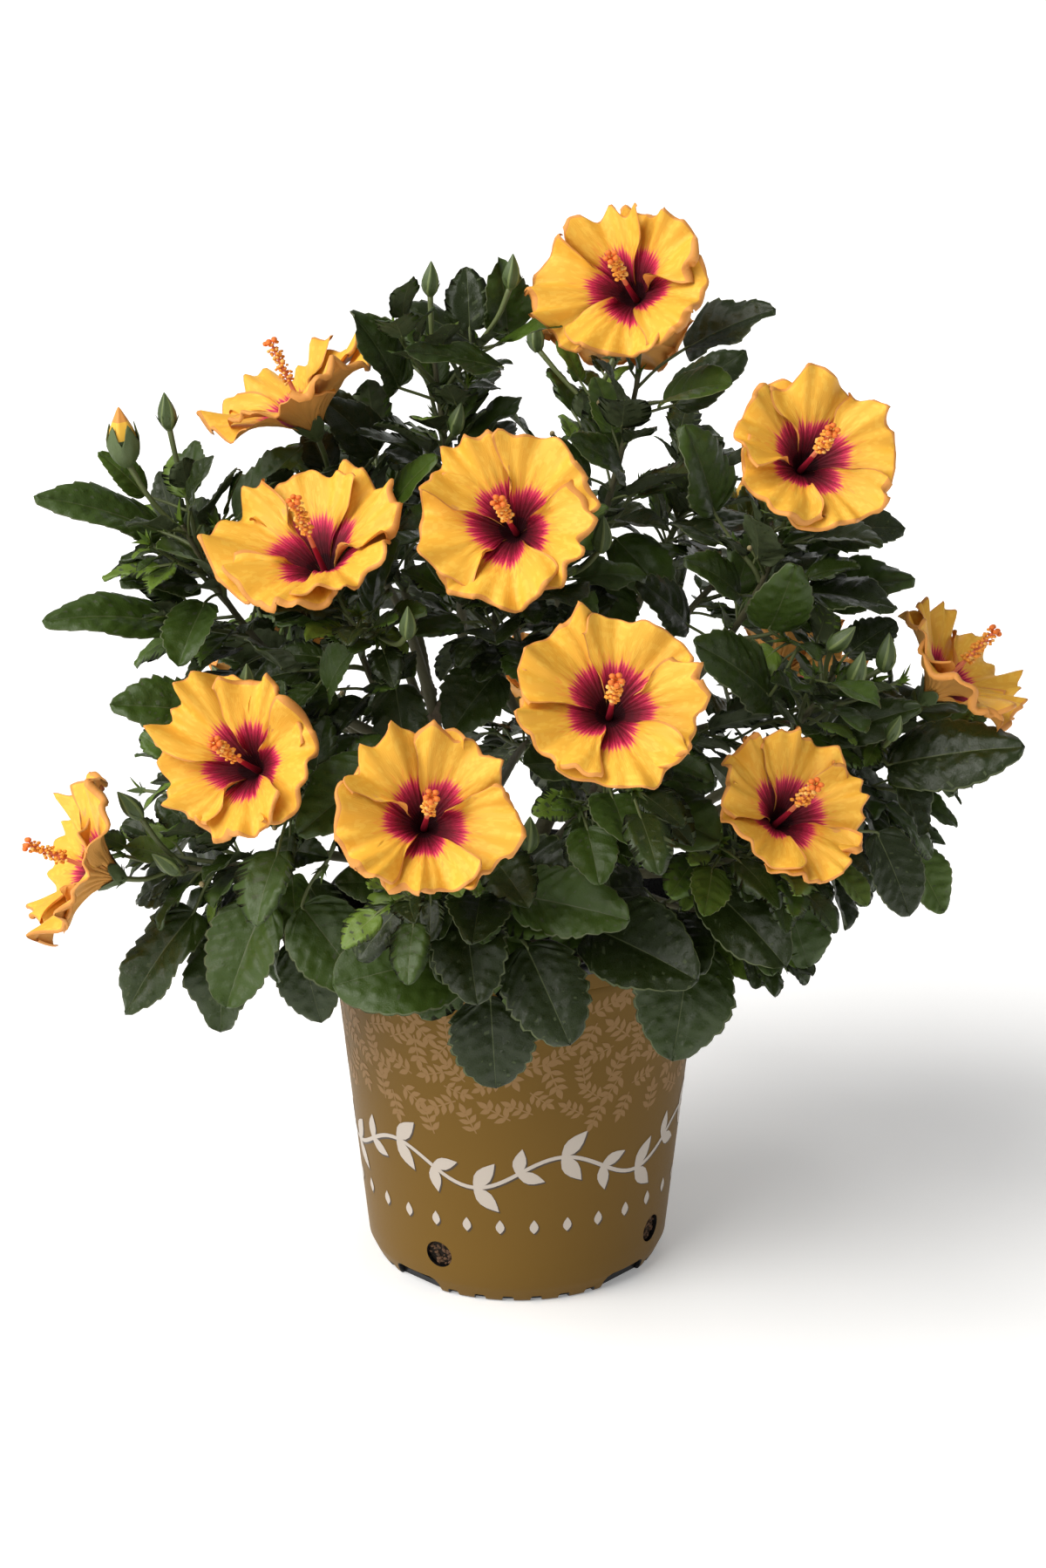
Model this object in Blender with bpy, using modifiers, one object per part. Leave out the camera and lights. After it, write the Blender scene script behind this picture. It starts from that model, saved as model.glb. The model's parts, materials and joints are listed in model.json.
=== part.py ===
"""Hibiscus shrub in its nursery pot.

World frame: metres, +Z up, origin at the centre of the pot's flat underside, front towards -Y.
The shrub is a short trunk, one tapering bough for each mass of foliage, and the masses themselves.
Every mass grows from one main shoot: side shoots, leaves, buds and open blooms are placed by a
seeded rule, and whatever would touch something already there, or leave the mass's own space, is
skipped. Directions are given as an azimuth (0 faces the front, positive turns to +X) and an
elevation above the horizon, both in degrees.
"""
import math
import random
from collections import namedtuple

import bmesh
import bpy
from mathutils import Vector
from mathutils.bvhtree import BVHTree

SEED = 23
GAP = 0.0003                 # clearance kept between neighbouring solids

# ---- pot and soil ----
POT_HEIGHT = 0.2765
LIP_RADIUS = 0.140
LIP_HEIGHT = 0.008
BAND_HEIGHT = 0.013          # plain band between the lip and the printed wall
BAND_RADIUS = 0.1380
WALL_TOP_RADIUS = 0.1362
WALL_FOOT_RADIUS = 0.111
HEEL_HEIGHT = 0.012
BASE_RADIUS = 0.104
WALL = 0.0026
FLOOR = 0.004
POT_STEPS = 36
DRAIN_COUNT = 4
DRAIN_RADIUS = 0.0105
DRAIN_HEIGHT = 0.035
DRAIN_TURN = -30.0
NOTCH_WIDTH = 0.042
NOTCH_HEIGHT = 0.013
NOTCH_DEPTH = 0.012
NOTCH_TURN = -43.0
SOIL_TOP = 0.245
SOIL_EDGE_DROP = 0.003

# ---- trunk and boughs ----
TRUNK_FOOT = Vector((0.003, 0.004, SOIL_TOP + GAP))
TRUNK_TIP = Vector((0.0, -0.002, 0.306))
TRUNK_RADII = (0.0215, 0.0172, 0.0155, 0.0146, 0.0134, 0.0108, 0.0085)
TRUNK_LEAD = 0.005           # straight length at each end of the trunk, so its foot is cut level
TRUNK_SIDES = 8
LIMB_SIDES = 6
FORK_SPREAD = 0.45           # how strongly a limb first leans away from the one that carries it
STUB_CLEARANCE = 0.002       # how far the end of a fork's stub stands clear of both limbs
BOUGH_TIP_RADIUS = 0.0031
SHOOT_TIP_RADIUS = 0.0016
CENTIMETRE = 0.01

Limb = namedtuple("Limb", "mass parent along radius start tip")
# Each bough ends at the start of its mass, and the main shoot runs on from there to the tip.
# Columns: mass, what carries the bough (a mass's bough or the trunk), how far along the carrier
# it leaves, its radius there, then the mass's start and tip in centimetres.
LIMBS = (
    Limb("top", "trunk", 0.97, 0.0062, (5.0, -3.6, 53), (8.3, -4.6, 67.5)),
    Limb("upper_left", "trunk", 0.84, 0.0062, (-8.0, -3.0, 50), (-13.0, -4.0, 60)),
    Limb("far_right", "trunk", 0.66, 0.0060, (18.0, -4.0, 37.5), (27.0, -5.5, 43.0)),
    Limb("front_right", "trunk", 0.74, 0.0056, (5.0, -13.5, 39), (6.0, -22.0, 46.5)),
    Limb("front_low", "trunk", 0.52, 0.0056, (-3.0, -13.5, 34), (-5.0, -23.5, 39.0)),
    Limb("far_left_low", "trunk", 0.60, 0.0056, (-14.0, -8.5, 34), (-24.0, -11.0, 34.2)),
    Limb("back_left", "trunk", 0.72, 0.0058, (-9.5, 11.0, 35.5), (-16.5, 16.5, 36)),
    Limb("back_right", "trunk", 0.66, 0.0058, (9.5, 11.0, 35), (18.0, 16.0, 37)),
    Limb("upper_mid", "upper_left", 0.56, 0.0042, (-4.0, -4.5, 54), (-5.6, -5.0, 69)),
    Limb("far_left", "upper_left", 0.42, 0.0042, (-16.0, -7.0, 47), (-22.4, -10.5, 58.5)),
    Limb("left_mid", "upper_left", 0.24, 0.0040, (-9.0, -11.5, 46), (-11.3, -14.5, 54)),
    Limb("centre", "top", 0.40, 0.0040, (0.5, -9.0, 48), (-0.3, -14.5, 56)),
    Limb("upper_right", "top", 0.26, 0.0042, (13.5, -7.0, 48), (17.8, -10.5, 57.5)),
    Limb("right_mid", "far_right", 0.62, 0.0040, (17.5, -10.0, 42), (21.5, -12.0, 48.5)),
    Limb("right_low", "front_right", 0.42, 0.0040, (11.5, -14.0, 35), (15.5, -18.5, 38.5)),
    Limb("pot_right", "far_right", 0.26, 0.0040, (9.5, -10.5, 31.5), (13.5, -14.5, 32.5)),
    Limb("left_low", "front_low", 0.36, 0.0040, (-10.5, -13.5, 37.5), (-15.2, -18.5, 42)),
    Limb("right_back", "far_right", 0.42, 0.0040, (15.0, 5.0, 32), (25.5, 4.5, 33)),
    Limb("back_top", "top", 0.58, 0.0040, (3.0, 5.0, 52), (5.5, 8.5, 63)),
    Limb("back_mid", "top", 0.22, 0.0040, (-1.5, 8.0, 43), (-1.5, 14.5, 48)),
    Limb("back_low", "back_left", 0.34, 0.0040, (0.0, 15.5, 33), (1.5, 25.0, 32.5)),
    Limb("left_back", "back_left", 0.46, 0.0040, (-16.0, 5.5, 33), (-25.0, 6.0, 34)),
    Limb("back_up_right", "back_right", 0.60, 0.0040, (11.0, 8.0, 44.5), (17.5, 12.5, 51.5)),
    Limb("back_up_left", "back_left", 0.66, 0.0040, (-8.5, 8.0, 43), (-12.5, 13.0, 46.5)),
    Limb("inner_right", "top", 0.48, 0.0040, (9.0, 2.0, 50), (12.5, 3.0, 58)),
    Limb("inner_left", "upper_left", 0.66, 0.0040, (-7.5, 3.0, 48), (-10.5, 5.0, 56)),
    Limb("inner_low", "upper_left", 0.12, 0.0040, (-12.0, 1.5, 40), (-18.5, 2.0, 46)),
)

# ---- open blooms: mass, centre of the rim in centimetres, diameter, azimuth, elevation ----
Bloom = namedtuple("Bloom", "mass centre diameter azimuth elevation")
BLOOMS = (
    Bloom("top", (6.9, -8.0, 74.8), 0.114, -19, 33),
    Bloom("upper_left", (-15.4, -6.0, 67.3), 0.122, -94, 64),
    Bloom("left_mid", (-13.6, -18.0, 60.1), 0.124, -30, 57),
    Bloom("centre", (-0.7, -20.0, 61.7), 0.116, -11, 30),
    Bloom("upper_right", (19.8, -15.0, 64.9), 0.113, 16, 34),
    Bloom("far_right", (31.0, -8.0, 48.2), 0.110, 80, 47),
    Bloom("right_low", (18.4, -24.0, 43.6), 0.107, 25, 39),
    Bloom("front_right", (6.1, -29.0, 52.5), 0.122, 3, 36),
    Bloom("left_low", (-18.4, -24.0, 46.8), 0.113, -23, 31),
    Bloom("front_low", (-5.5, -31.0, 45.6), 0.112, 7, 35),
    Bloom("far_left_low", (-31.0, -14.0, 35.8), 0.120, -79, 23),
    Bloom("back_top", (7.4, 12.0, 68.0), 0.110, 172, 34),
    Bloom("back_up_right", (22.0, 16.0, 55.5), 0.112, 146, 40),
    Bloom("back_up_left", (-15.5, 17.5, 50.5), 0.112, -150, 44),
    Bloom("back_mid", (-1.0, 20.0, 51.5), 0.110, 178, 46),
    Bloom("back_left", (-20.0, 21.0, 39.0), 0.110, -140, 34),
    Bloom("back_right", (22.0, 20.5, 40.5), 0.112, 134, 36),
    Bloom("back_low", (3.0, 29.5, 35.5), 0.108, 174, 34),
)
BLOOM_DEPTH = 0.045          # from the calyx to the rim's plane
FRONT_LIMIT = 0.0            # blooms with a centre in front of this y keep a clear view forward

# ---- buds: mass, foot of the bud in centimetres, length, azimuth, elevation ----
Bud = namedtuple("Bud", "mass foot length azimuth elevation opening")
BUDS = (
    Bud("far_left", (-25.9, -11.0, 62.7), 0.040, -90, 84, 1),
    Bud("far_left", (-23.2, -9.0, 64.6), 0.026, -90, 84, 0),
    Bud("upper_mid", (-5.8, -5.0, 72.8), 0.024, 90, 88, 0),
    Bud("upper_mid", (-0.4, -6.5, 73.6), 0.024, 90, 86, 0),
    Bud("upper_mid", (-4.2, -8.0, 64.0), 0.024, 60, 76, 0),
    Bud("left_mid", (-7.0, -21.0, 53.8), 0.023, 0, 84, 0),
    Bud("left_low", (-17.6, -19.5, 49.6), 0.022, 0, 80, 0),
    Bud("right_mid", (20.9, -13.5, 50.6), 0.026, 70, 46, 0),
    Bud("right_mid", (22.6, -14.0, 48.2), 0.027, 60, 76, 0),
    Bud("right_mid", (24.8, -12.0, 48.6), 0.028, 80, 84, 0),
    Bud("centre", (5.6, -13.5, 57.4), 0.027, 20, 84, 0),
    Bud("far_left_low", (-23.0, -14.6, 35.0), 0.024, -80, 40, 0),
    Bud("far_left_low", (-25.6, -13.0, 38.4), 0.026, -80, 52, 0),
    Bud("front_low", (0.8, -22.5, 39.6), 0.026, 20, 84, 0),
    Bud("far_right", (25.2, -14.0, 44.4), 0.022, 40, 66, 0),
    Bud("back_left", (-21.5, 13.5, 38.5), 0.026, -110, 52, 0),
    Bud("back_right", (16.0, 24.0, 38.0), 0.026, 170, 52, 0),
    Bud("back_up_right", (17.0, 18.5, 50.5), 0.036, 170, 68, 1),
    Bud("back_top", (1.5, 10.0, 65.5), 0.026, -150, 74, 0),
    Bud("back_mid", (-6.5, 18.5, 48.5), 0.026, -160, 56, 0),
)

# ---- leaves that give the crown its outline and cover the pot's lip ----
# Columns: mass, foot and tip of the blade in centimetres, width of the blade in centimetres.
ShowLeaf = namedtuple("ShowLeaf", "mass foot tip width")
SHOW_LEAVES = (
    ShowLeaf("far_left", (-23.9, -9, 57.5), (-32.0, -12, 61.0), 3.7),
    ShowLeaf("far_left", (-23.0, -8, 50.6), (-31.8, -12, 52.5), 3.9),
    ShowLeaf("far_left", (-22.5, -11, 59.9), (-21.6, -13, 65.5), 3.2),
    ShowLeaf("far_left", (-25.4, -8.6, 59.6), (-29.4, -9.6, 62.4), 2.4),
    ShowLeaf("far_left", (-20.8, -11, 55.4), (-24.0, -15, 58.6), 3.8),
    ShowLeaf("far_left", (-21.0, -11, 53.2), (-22.6, -15, 50.0), 3.6),
    ShowLeaf("far_left", (-21.6, -9, 53.8), (-26.6, -12, 55.0), 2.8),
    ShowLeaf("far_left", (-19.2, -6, 57.6), (-14.6, -5, 62.6), 3.2),
    ShowLeaf("upper_left", (-9.6, -2, 61.2), (-13.6, -1, 65.0), 3.6),
    ShowLeaf("upper_left", (-10.6, -1.0, 62.4), (-15.2, -0.4, 67.6), 3.2),
    ShowLeaf("upper_mid", (-8.0, -5.6, 66.6), (-11.4, -7.4, 72.4), 4.0),
    ShowLeaf("upper_mid", (-1.0, -6, 68.6), (-9.4, -9, 71.6), 3.2),
    ShowLeaf("upper_mid", (-2.0, -3, 69.0), (-8.0, -4, 73.2), 3.8),
    ShowLeaf("upper_mid", (-0.8, -3.4, 69.6), (-1.8, -5.4, 75.6), 3.8),
    ShowLeaf("upper_mid", (-8.4, -6, 58.8), (-5.4, -8, 62.6), 2.8),
    ShowLeaf("left_mid", (-15.6, -14, 49.4), (-17.2, -18, 52.6), 3.8),
    ShowLeaf("left_mid", (-12.6, -15.4, 48.4), (-10.8, -18.2, 52.2), 3.6),
    ShowLeaf("left_low", (-20.2, -15, 46.6), (-27.0, -17, 48.0), 4.2),
    ShowLeaf("top", (11.4, -4, 69.0), (17.4, -5, 72.0), 4.2),
    ShowLeaf("top", (9.9, -5, 65.6), (14.4, -8, 67.6), 4.0),
    ShowLeaf("top", (10.8, -2, 64.6), (15.8, 0, 68.0), 3.6),
    ShowLeaf("top", (7.2, -8, 61.4), (3.6, -11, 64.6), 3.6),
    ShowLeaf("upper_right", (13.4, -8, 58.6), (11.4, -9, 65.0), 4.2),
    ShowLeaf("upper_right", (20.4, -9, 57.4), (26.4, -8, 57.6), 3.8),
    ShowLeaf("right_mid", (20.4, -8, 52.6), (27.0, -9, 54.4), 4.2),
    ShowLeaf("right_mid", (17.0, -12, 51.6), (18.4, -15, 57.0), 4.2),
    ShowLeaf("upper_right", (15.0, -12, 54.0), (11.2, -15, 57.4), 3.2),
    ShowLeaf("right_mid", (17.0, -14, 47.6), (11.6, -18, 52.6), 5.0),
    ShowLeaf("far_right", (25.4, -11, 41.6), (34.4, -13, 43.8), 5.2),
    ShowLeaf("far_right", (21.4, -11, 43.6), (27.4, -13, 46.6), 3.4),
    ShowLeaf("right_low", (24.6, -13, 37.4), (27.0, -14, 31.6), 4.2),
    ShowLeaf("right_back", (27.8, -5, 33.2), (30.4, -6, 28.6), 3.6),
    ShowLeaf("right_low", (17.8, -15, 34.4), (20.0, -17, 29.0), 4.6),
    ShowLeaf("right_low", (12.6, -18.8, 36.0), (17.9, -23.0, 31.6), 5.0),
    ShowLeaf("pot_right", (15.6, -12.5, 31.6), (17.4, -14, 26.4), 3.8),
    ShowLeaf("pot_right", (11.8, -17, 31.0), (10.6, -20, 23.4), 6.6),
    ShowLeaf("pot_right", (5.2, -18.5, 32.6), (12.0, -23, 30.8), 6.4),
    ShowLeaf("front_low", (0.6, -21.0, 32.4), (3.6, -24, 26.4), 5.4),
    ShowLeaf("front_low", (-1.8, -18.5, 27.6), (-1.4, -20, 21.4), 5.6),
    ShowLeaf("front_low", (-0.2, -22.5, 36.6), (7.4, -26, 36.2), 4.6),
    ShowLeaf("front_low", (-3.6, -20.5, 31.4), (-12.2, -23, 30.4), 7.2),
    ShowLeaf("left_low", (-14.6, -16.0, 33.2), (-10.0, -19, 28.0), 5.4),
    ShowLeaf("left_low", (-8.4, -19.5, 44.6), (-14.4, -22, 40.6), 5.2),
    ShowLeaf("far_left_low", (-15.2, -10, 28.4), (-13.8, -11, 22.2), 4.6),
    ShowLeaf("far_left_low", (-17.2, -13.5, 32.6), (-20.0, -16, 25.6), 5.2),
    ShowLeaf("far_left_low", (-20.0, -10, 29.2), (-20.8, -12, 22.0), 5.0),
    ShowLeaf("far_left_low", (-22.4, -11, 30.8), (-27.4, -13, 23.8), 4.2),
    ShowLeaf("far_left_low", (-16.2, -14.5, 37.4), (-12.2, -17, 39.0), 3.0),
    ShowLeaf("top", (6.8, -5.2, 56.0), (10.6, -7.6, 51.8), 4.2),
    ShowLeaf("top", (5.8, -6.4, 53.8), (6.6, -9.8, 49.4), 4.0),
    ShowLeaf("upper_right", (11.8, -8.0, 50.6), (8.2, -10.0, 54.6), 3.6),
    ShowLeaf("left_mid", (-8.2, -12.5, 47.8), (-7.4, -14.5, 43.4), 3.6),
    ShowLeaf("centre", (-1.4, -10.5, 48.0), (-4.6, -13.0, 44.4), 4.4),
    ShowLeaf("upper_mid", (-3.0, -6.8, 59.6), (1.4, -8.4, 62.8), 3.8),
    ShowLeaf("top", (5.0, -5.8, 60.4), (0.8, -7.4, 62.6), 3.4),
)

# ---- the growth rule ----
CROWN_CENTRE = Vector((0.01, 0.0, 0.46))
CROWN_REACH = Vector((0.335, 0.34, 0.315))
LOWEST_LEAF = 0.205
EYE = Vector((0.004, -2.4, 1.233))   # the see-through gaps all line up with this point in front
# see-through gaps, then the hollows of the outline: where each crosses the plane y = 0,
# in centimetres (x, z), and its radius
SKY_GAPS = (
    (-7.6, 64.9, 1.2), (8.4, 65.8, 0.9), (4.3, 59.4, 1.4), (9.0, 60.6, 1.2), (13.3, 51.5, 1.1),
    (-11.7, 44.8, 1.0), (-14.4, 30.3, 1.5), (-18.5, 32.1, 0.9), (0.1, 35.8, 0.8), (-6.4, 46.6, 0.6),
    (-17.8, 60.6, 1.1), (-19.9, 49.9, 0.8), (-21.0, 42.7, 0.7),
    (-32.5, 42.1, 3.9), (-29.3, 36.8, 2.4), (-32.7, 55.5, 1.8), (-31.5, 65.0, 4.2), (-21.2, 67.2, 3.2),
    (-15.7, 72.9, 3.0), (-9.7, 73.4, 1.6), (-34.1, 21.2, 4.5), (-28.2, 25.3, 1.5), (-25.4, 12.7, 3.9),
    (-17.0, 15.6, 1.4), (22.1, 66.8, 3.4), (16.1, 63.1, 1.3), (17.7, 75.0, 3.0), (31.6, 56.0, 3.6),
    (30.8, 52.0, 1.8), (34.5, 30.7, 3.0), (35.6, 20.5, 3.8), (25.0, 21.2, 2.6), (21.6, 17.0, 3.0),
)
GAP_DEPTH = 0.40             # how far a see-through gap is kept open on each side of the plane
GOLDEN_TURN = math.radians(137.5)
TRIES = 9                    # tries at an organ, each a little smaller or turned, before it is skipped
GUARD = 0.0013               # clearance added round an organ when it is tested
AXIL = 0.007                 # a stalk isn't tested this close to the shoot that carries it
SPACE_MARGIN = 0.014         # how far a leaf may lean into the next mass's space
SHOOT_RISE = 0.35            # how strongly a main shoot turns up towards its tip
SIDE_SHOOT_LENGTH = (0.045, 0.075)
SIDE_SHOOT_RADII = (0.0020, 0.0013)
REACH_SHOOT_RADII = (0.0021, 0.0015)   # of a shoot that grows to carry an organ out of reach
NODE_SPACING = 0.030         # between leaves along a shoot
LEAF_LENGTH = (0.078, 0.046)  # at the foot and at the tip of a shoot
LEAF_SPREAD = (0.85, 1.12)   # how much leaves of one place differ in size
LEAF_WIDTH = (0.60, 0.76)    # share of the length
LEAF_ARCH = (0.10, 0.28)     # how far the blade bows down towards its tip
LEAF_FOLD = (0.10, 0.38)     # how far its two halves rise from the midrib
LEAF_DROOP = (0.15, 0.75)
PETIOLE_SHARE = (0.315, 0.504)
PETIOLE_RADIUS = 0.0011
PEDUNCLE_RADIUS = 0.0015
ROOT_SHARE = 0.45            # a stalk's radius at its sunk root, as a share of its own
LONGEST_PETIOLE = 0.045
LONGEST_PEDUNCLE = 0.060

SOLVERS = ("EXACT", "MANIFOLD")   # Boolean solvers, tried in turn
MERGE = 0.000003             # points of a fused solid closer than this are one

Shoot = namedtuple("Shoot", "mass path radii number")
Leaf = namedtuple("Leaf", "mass stalk foot along face length width arch fold")
Flower = namedtuple("Flower", "mass stalk base axis diameter turn")
ClosedBud = namedtuple("ClosedBud", "mass stalk base axis length opening")

UP = Vector((0.0, 0.0, 1.0))


def point(centimetres):
    """A place given in centimetres, as a vector in metres."""
    return Vector(centimetres) * CENTIMETRE


def heading(azimuth, elevation):
    turn = math.radians(azimuth)
    rise = math.radians(elevation)
    return Vector((math.sin(turn) * math.cos(rise), -math.cos(turn) * math.cos(rise), math.sin(rise)))


def bend(start, start_way, end, end_way, steps, lead=0.0):
    """Points of a smooth curve between two places, with a straight lead at each end."""
    first = start + start_way * lead
    last = end - end_way * lead
    reach = (last - first).length
    points = [start.copy()] if lead else []
    for step in range(steps + 1):
        t = step / steps
        blend = t * t * (3 - 2 * t)
        place = first * (1 - blend) + last * blend
        place += start_way * reach * (t * (1 - t) ** 2)
        place -= end_way * reach * (t * t * (1 - t))
        points.append(place)
    if lead:
        points.append(end.copy())
    return points


def lengths_along(path):
    total = [0.0]
    for here, there in zip(path, path[1:]):
        total.append(total[-1] + (there - here).length)
    return total


def place_on(path, share):
    """The point, direction and segment at a share of the path's length."""
    along = lengths_along(path)
    target = share * along[-1]
    for index in range(len(path) - 1):
        if target <= along[index + 1] or index == len(path) - 2:
            span = max(along[index + 1] - along[index], 1e-9)
            t = (target - along[index]) / span
            way = (path[index + 1] - path[index]).normalized()
            return path[index].lerp(path[index + 1], t), way
    return path[-1], (path[-1] - path[-2]).normalized()


def across(way):
    """A steady unit vector at right angles to a direction."""
    side = way.cross(UP)
    if side.length < 0.1:
        side = way.cross(Vector((0.0, 1.0, 0.0)))
    return side.normalized()


def tube(path, radii, sides):
    """Vertices and faces of a closed tapering tube with flat ends."""
    verts, faces = [], []
    side = None
    for index, place in enumerate(path):
        back = path[max(index - 1, 0)]
        ahead = path[min(index + 1, len(path) - 1)]
        way = (ahead - back).normalized()
        if side is None:
            side = across(way)
        else:
            side = (side - way * side.dot(way)).normalized()
        other = way.cross(side)
        for corner in range(sides):
            turn = 2 * math.pi * corner / sides
            verts.append(place + (side * math.cos(turn) + other * math.sin(turn)) * radii[index])
    for index in range(len(path) - 1):
        for corner in range(sides):
            here = index * sides + corner
            beside = index * sides + (corner + 1) % sides
            faces.append((here, beside, beside + sides, here + sides))
    faces.append(tuple(reversed(range(sides))))
    faces.append(tuple(range((len(path) - 1) * sides, len(path) * sides)))
    return verts, faces


def taper(path, first, last):
    along = lengths_along(path)
    return [first + (last - first) * here / along[-1] for here in along]


def sunk(radii):
    """Radii of a stalk whose root is narrow enough to stay inside the shoot that carries it."""
    return [radii[0] * ROOT_SHARE] + list(radii[1:])


def leaf_frame(leaf):
    side = leaf.along.cross(leaf.face).normalized()
    return side, leaf.face


def leaf_half_width(u):
    """Share of the blade's half width at a share u of its length: ovate, with a short tip."""
    return min(1.0, 1.06 * math.sin(math.pi * min(1.0, u ** 0.72)) ** 0.75) if 0 < u < 1 else 0.0


def leaf_point(leaf, u, v):
    """A point on the blade: u runs from foot to tip and v from -1 to 1 across it."""
    side, face = leaf_frame(leaf)
    half = 0.5 * leaf.width * leaf_half_width(u)
    bow = leaf.arch * leaf.length * (u - u * u)
    rise = leaf.fold * abs(v) * half
    return leaf.foot + leaf.along * leaf.length * u + side * v * half + face * (rise + bow)


def slab(leaf, stations, thickness, inset=1.0):
    """A closed thick blade whose outline has the given stations between foot and tip."""
    face = leaf.face * thickness * 0.5
    verts = [leaf.foot + face, leaf.foot - face]
    for u in stations:
        for v in (-inset, 0.0, inset):
            verts.append(leaf_point(leaf, u, v) + face)
        for v in (-inset, 0.0, inset):
            verts.append(leaf_point(leaf, u, v) - face)
    tip = leaf_point(leaf, 1.0, 0.0)
    verts += [tip + face, tip - face]
    faces = [(0, 2, 3), (0, 3, 4), (1, 6, 5), (1, 7, 6), (0, 1, 5, 2), (0, 4, 7, 1)]
    for index in range(len(stations) - 1):
        a = 2 + 6 * index
        b = a + 6
        faces += [(a, b, b + 1, a + 1), (a + 1, b + 1, b + 2, a + 2)]
        faces += [(a + 3, a + 4, b + 4, b + 3), (a + 4, a + 5, b + 5, b + 4)]
        faces += [(a, a + 3, b + 3, b), (a + 2, b + 2, b + 5, a + 5)]
    a = 2 + 6 * (len(stations) - 1)
    top = len(verts) - 2
    faces += [(a, top, a + 1), (a + 1, top, a + 2), (a + 3, a + 4, top + 1), (a + 4, a + 5, top + 1)]
    faces += [(a, a + 3, top + 1, top), (a + 2, top, top + 1, a + 5)]
    return verts, faces


def cup(base, axis, rings, sides, turn, thickness):
    """A closed flared shell round an axis. Each ring is (radius, rise, ripple)."""
    side = across(axis)
    other = axis.cross(side)
    verts, faces = [], []
    for lift in (0.0, thickness):
        for index, (radius, rise, ripple) in enumerate(rings):
            for corner in range(sides):
                angle = turn + 2 * math.pi * corner / sides
                odd = ripple if corner % 2 else -ripple
                out = side * math.cos(angle) + other * math.sin(angle)
                grow = radius + odd - lift * (1 if index == 0 else 0)
                verts.append(base + out * grow + axis * (rise + lift + 0.6 * odd))
    rows = len(rings)
    for index in range(rows - 1):
        for corner in range(sides):
            here = index * sides + corner
            beside = index * sides + (corner + 1) % sides
            faces.append((here, here + sides, beside + sides, beside)[::-1])
            inner = rows * sides
            faces.append((inner + here, inner + here + sides, inner + beside + sides, inner + beside))
    rim = (rows - 1) * sides
    for corner in range(sides):
        beside = (corner + 1) % sides
        inner = rows * sides
        faces.append((rim + corner, rim + beside, inner + rim + beside, inner + rim + corner))
    faces.append(tuple(reversed(range(sides))))
    faces.append(tuple(range(rows * sides, rows * sides + sides)))
    return verts, faces


def bloom_rings(diameter):
    half = diameter / 2
    return ((0.0055, 0.0, 0.0), (half * 0.46, BLOOM_DEPTH * 0.66, 0.0), (half, BLOOM_DEPTH, 0.0022))


def spindle(base, axis, length, sides=5):
    """A closed bud, widest below its middle."""
    path = [base + axis * length * share for share in (0.0, 0.28, 0.68, 1.0)]
    radii = [length * share for share in (0.09, 0.27, 0.21, 0.03)]
    return tube(path, radii, sides)


def pistil_path(base, axis):
    return [base + axis * 0.0013, base + axis * 0.046 + UP * 0.001, base + axis * 0.070 + UP * 0.003]


def corners(verts):
    low = Vector([min(vert[axis] for vert in verts) for axis in range(3)])
    high = Vector([max(vert[axis] for vert in verts) for axis in range(3)])
    return low, high


class Space:
    """What is already grown. A new organ must be clear of all of it."""

    def __init__(self):
        self.trees = []

    def add(self, shape, owner=None):
        verts, faces = shape
        low, high = corners(verts)
        self.trees.append((low, high, BVHTree.FromPolygons(verts, faces), owner))

    def clear(self, shape, skip=()):
        """True if the shape touches nothing but what belongs to the owners to skip."""
        verts, faces = shape
        low, high = corners(verts)
        own = None
        for other_low, other_high, tree, owner in self.trees:
            if owner is not None and owner in skip:
                continue
            if any(low[axis] > other_high[axis] or high[axis] < other_low[axis] for axis in range(3)):
                continue
            if own is None:
                own = BVHTree.FromPolygons(verts, faces)
            if own.overlap(tree):
                return False
        return True


def stalk_guard(path, radius):
    """The tested part of a stalk: all of it but the stretch in the shoot's axil."""
    total = lengths_along(path)[-1]
    if total < AXIL * 1.6:
        return None
    first = AXIL / total
    shares = [first + (1 - first) * step / 4 for step in range(5)]
    points = [place_on(path, share)[0] for share in shares]
    return tube(points, [radius + GUARD] * len(points), 4)


def leaf_guard(leaf):
    wide = leaf._replace(width=leaf.width + 2 * GUARD, length=leaf.length + GUARD)
    return slab(wide, (0.12, 0.4, 0.75), 2 * GUARD)


def bloom_guards(base, axis, diameter, turn):
    shell = cup(base, axis, bloom_rings(diameter * 1.04), 10, turn, 0.004)
    pistil = pistil_path(base, axis)
    return [shell, tube(pistil, [0.003, 0.003, 0.006], 5)]


def pot_guard():
    """A closed drum round the pot with a ring-shaped lid that only the trunk passes."""
    path = [Vector((0, 0, z)) for z in (-0.01, 0.15, POT_HEIGHT, POT_HEIGHT + 0.003)]
    wide = LIP_RADIUS + 0.003
    return tube(path, [BASE_RADIUS + 0.008, 0.130, wide, wide - 0.002], 24)


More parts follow.
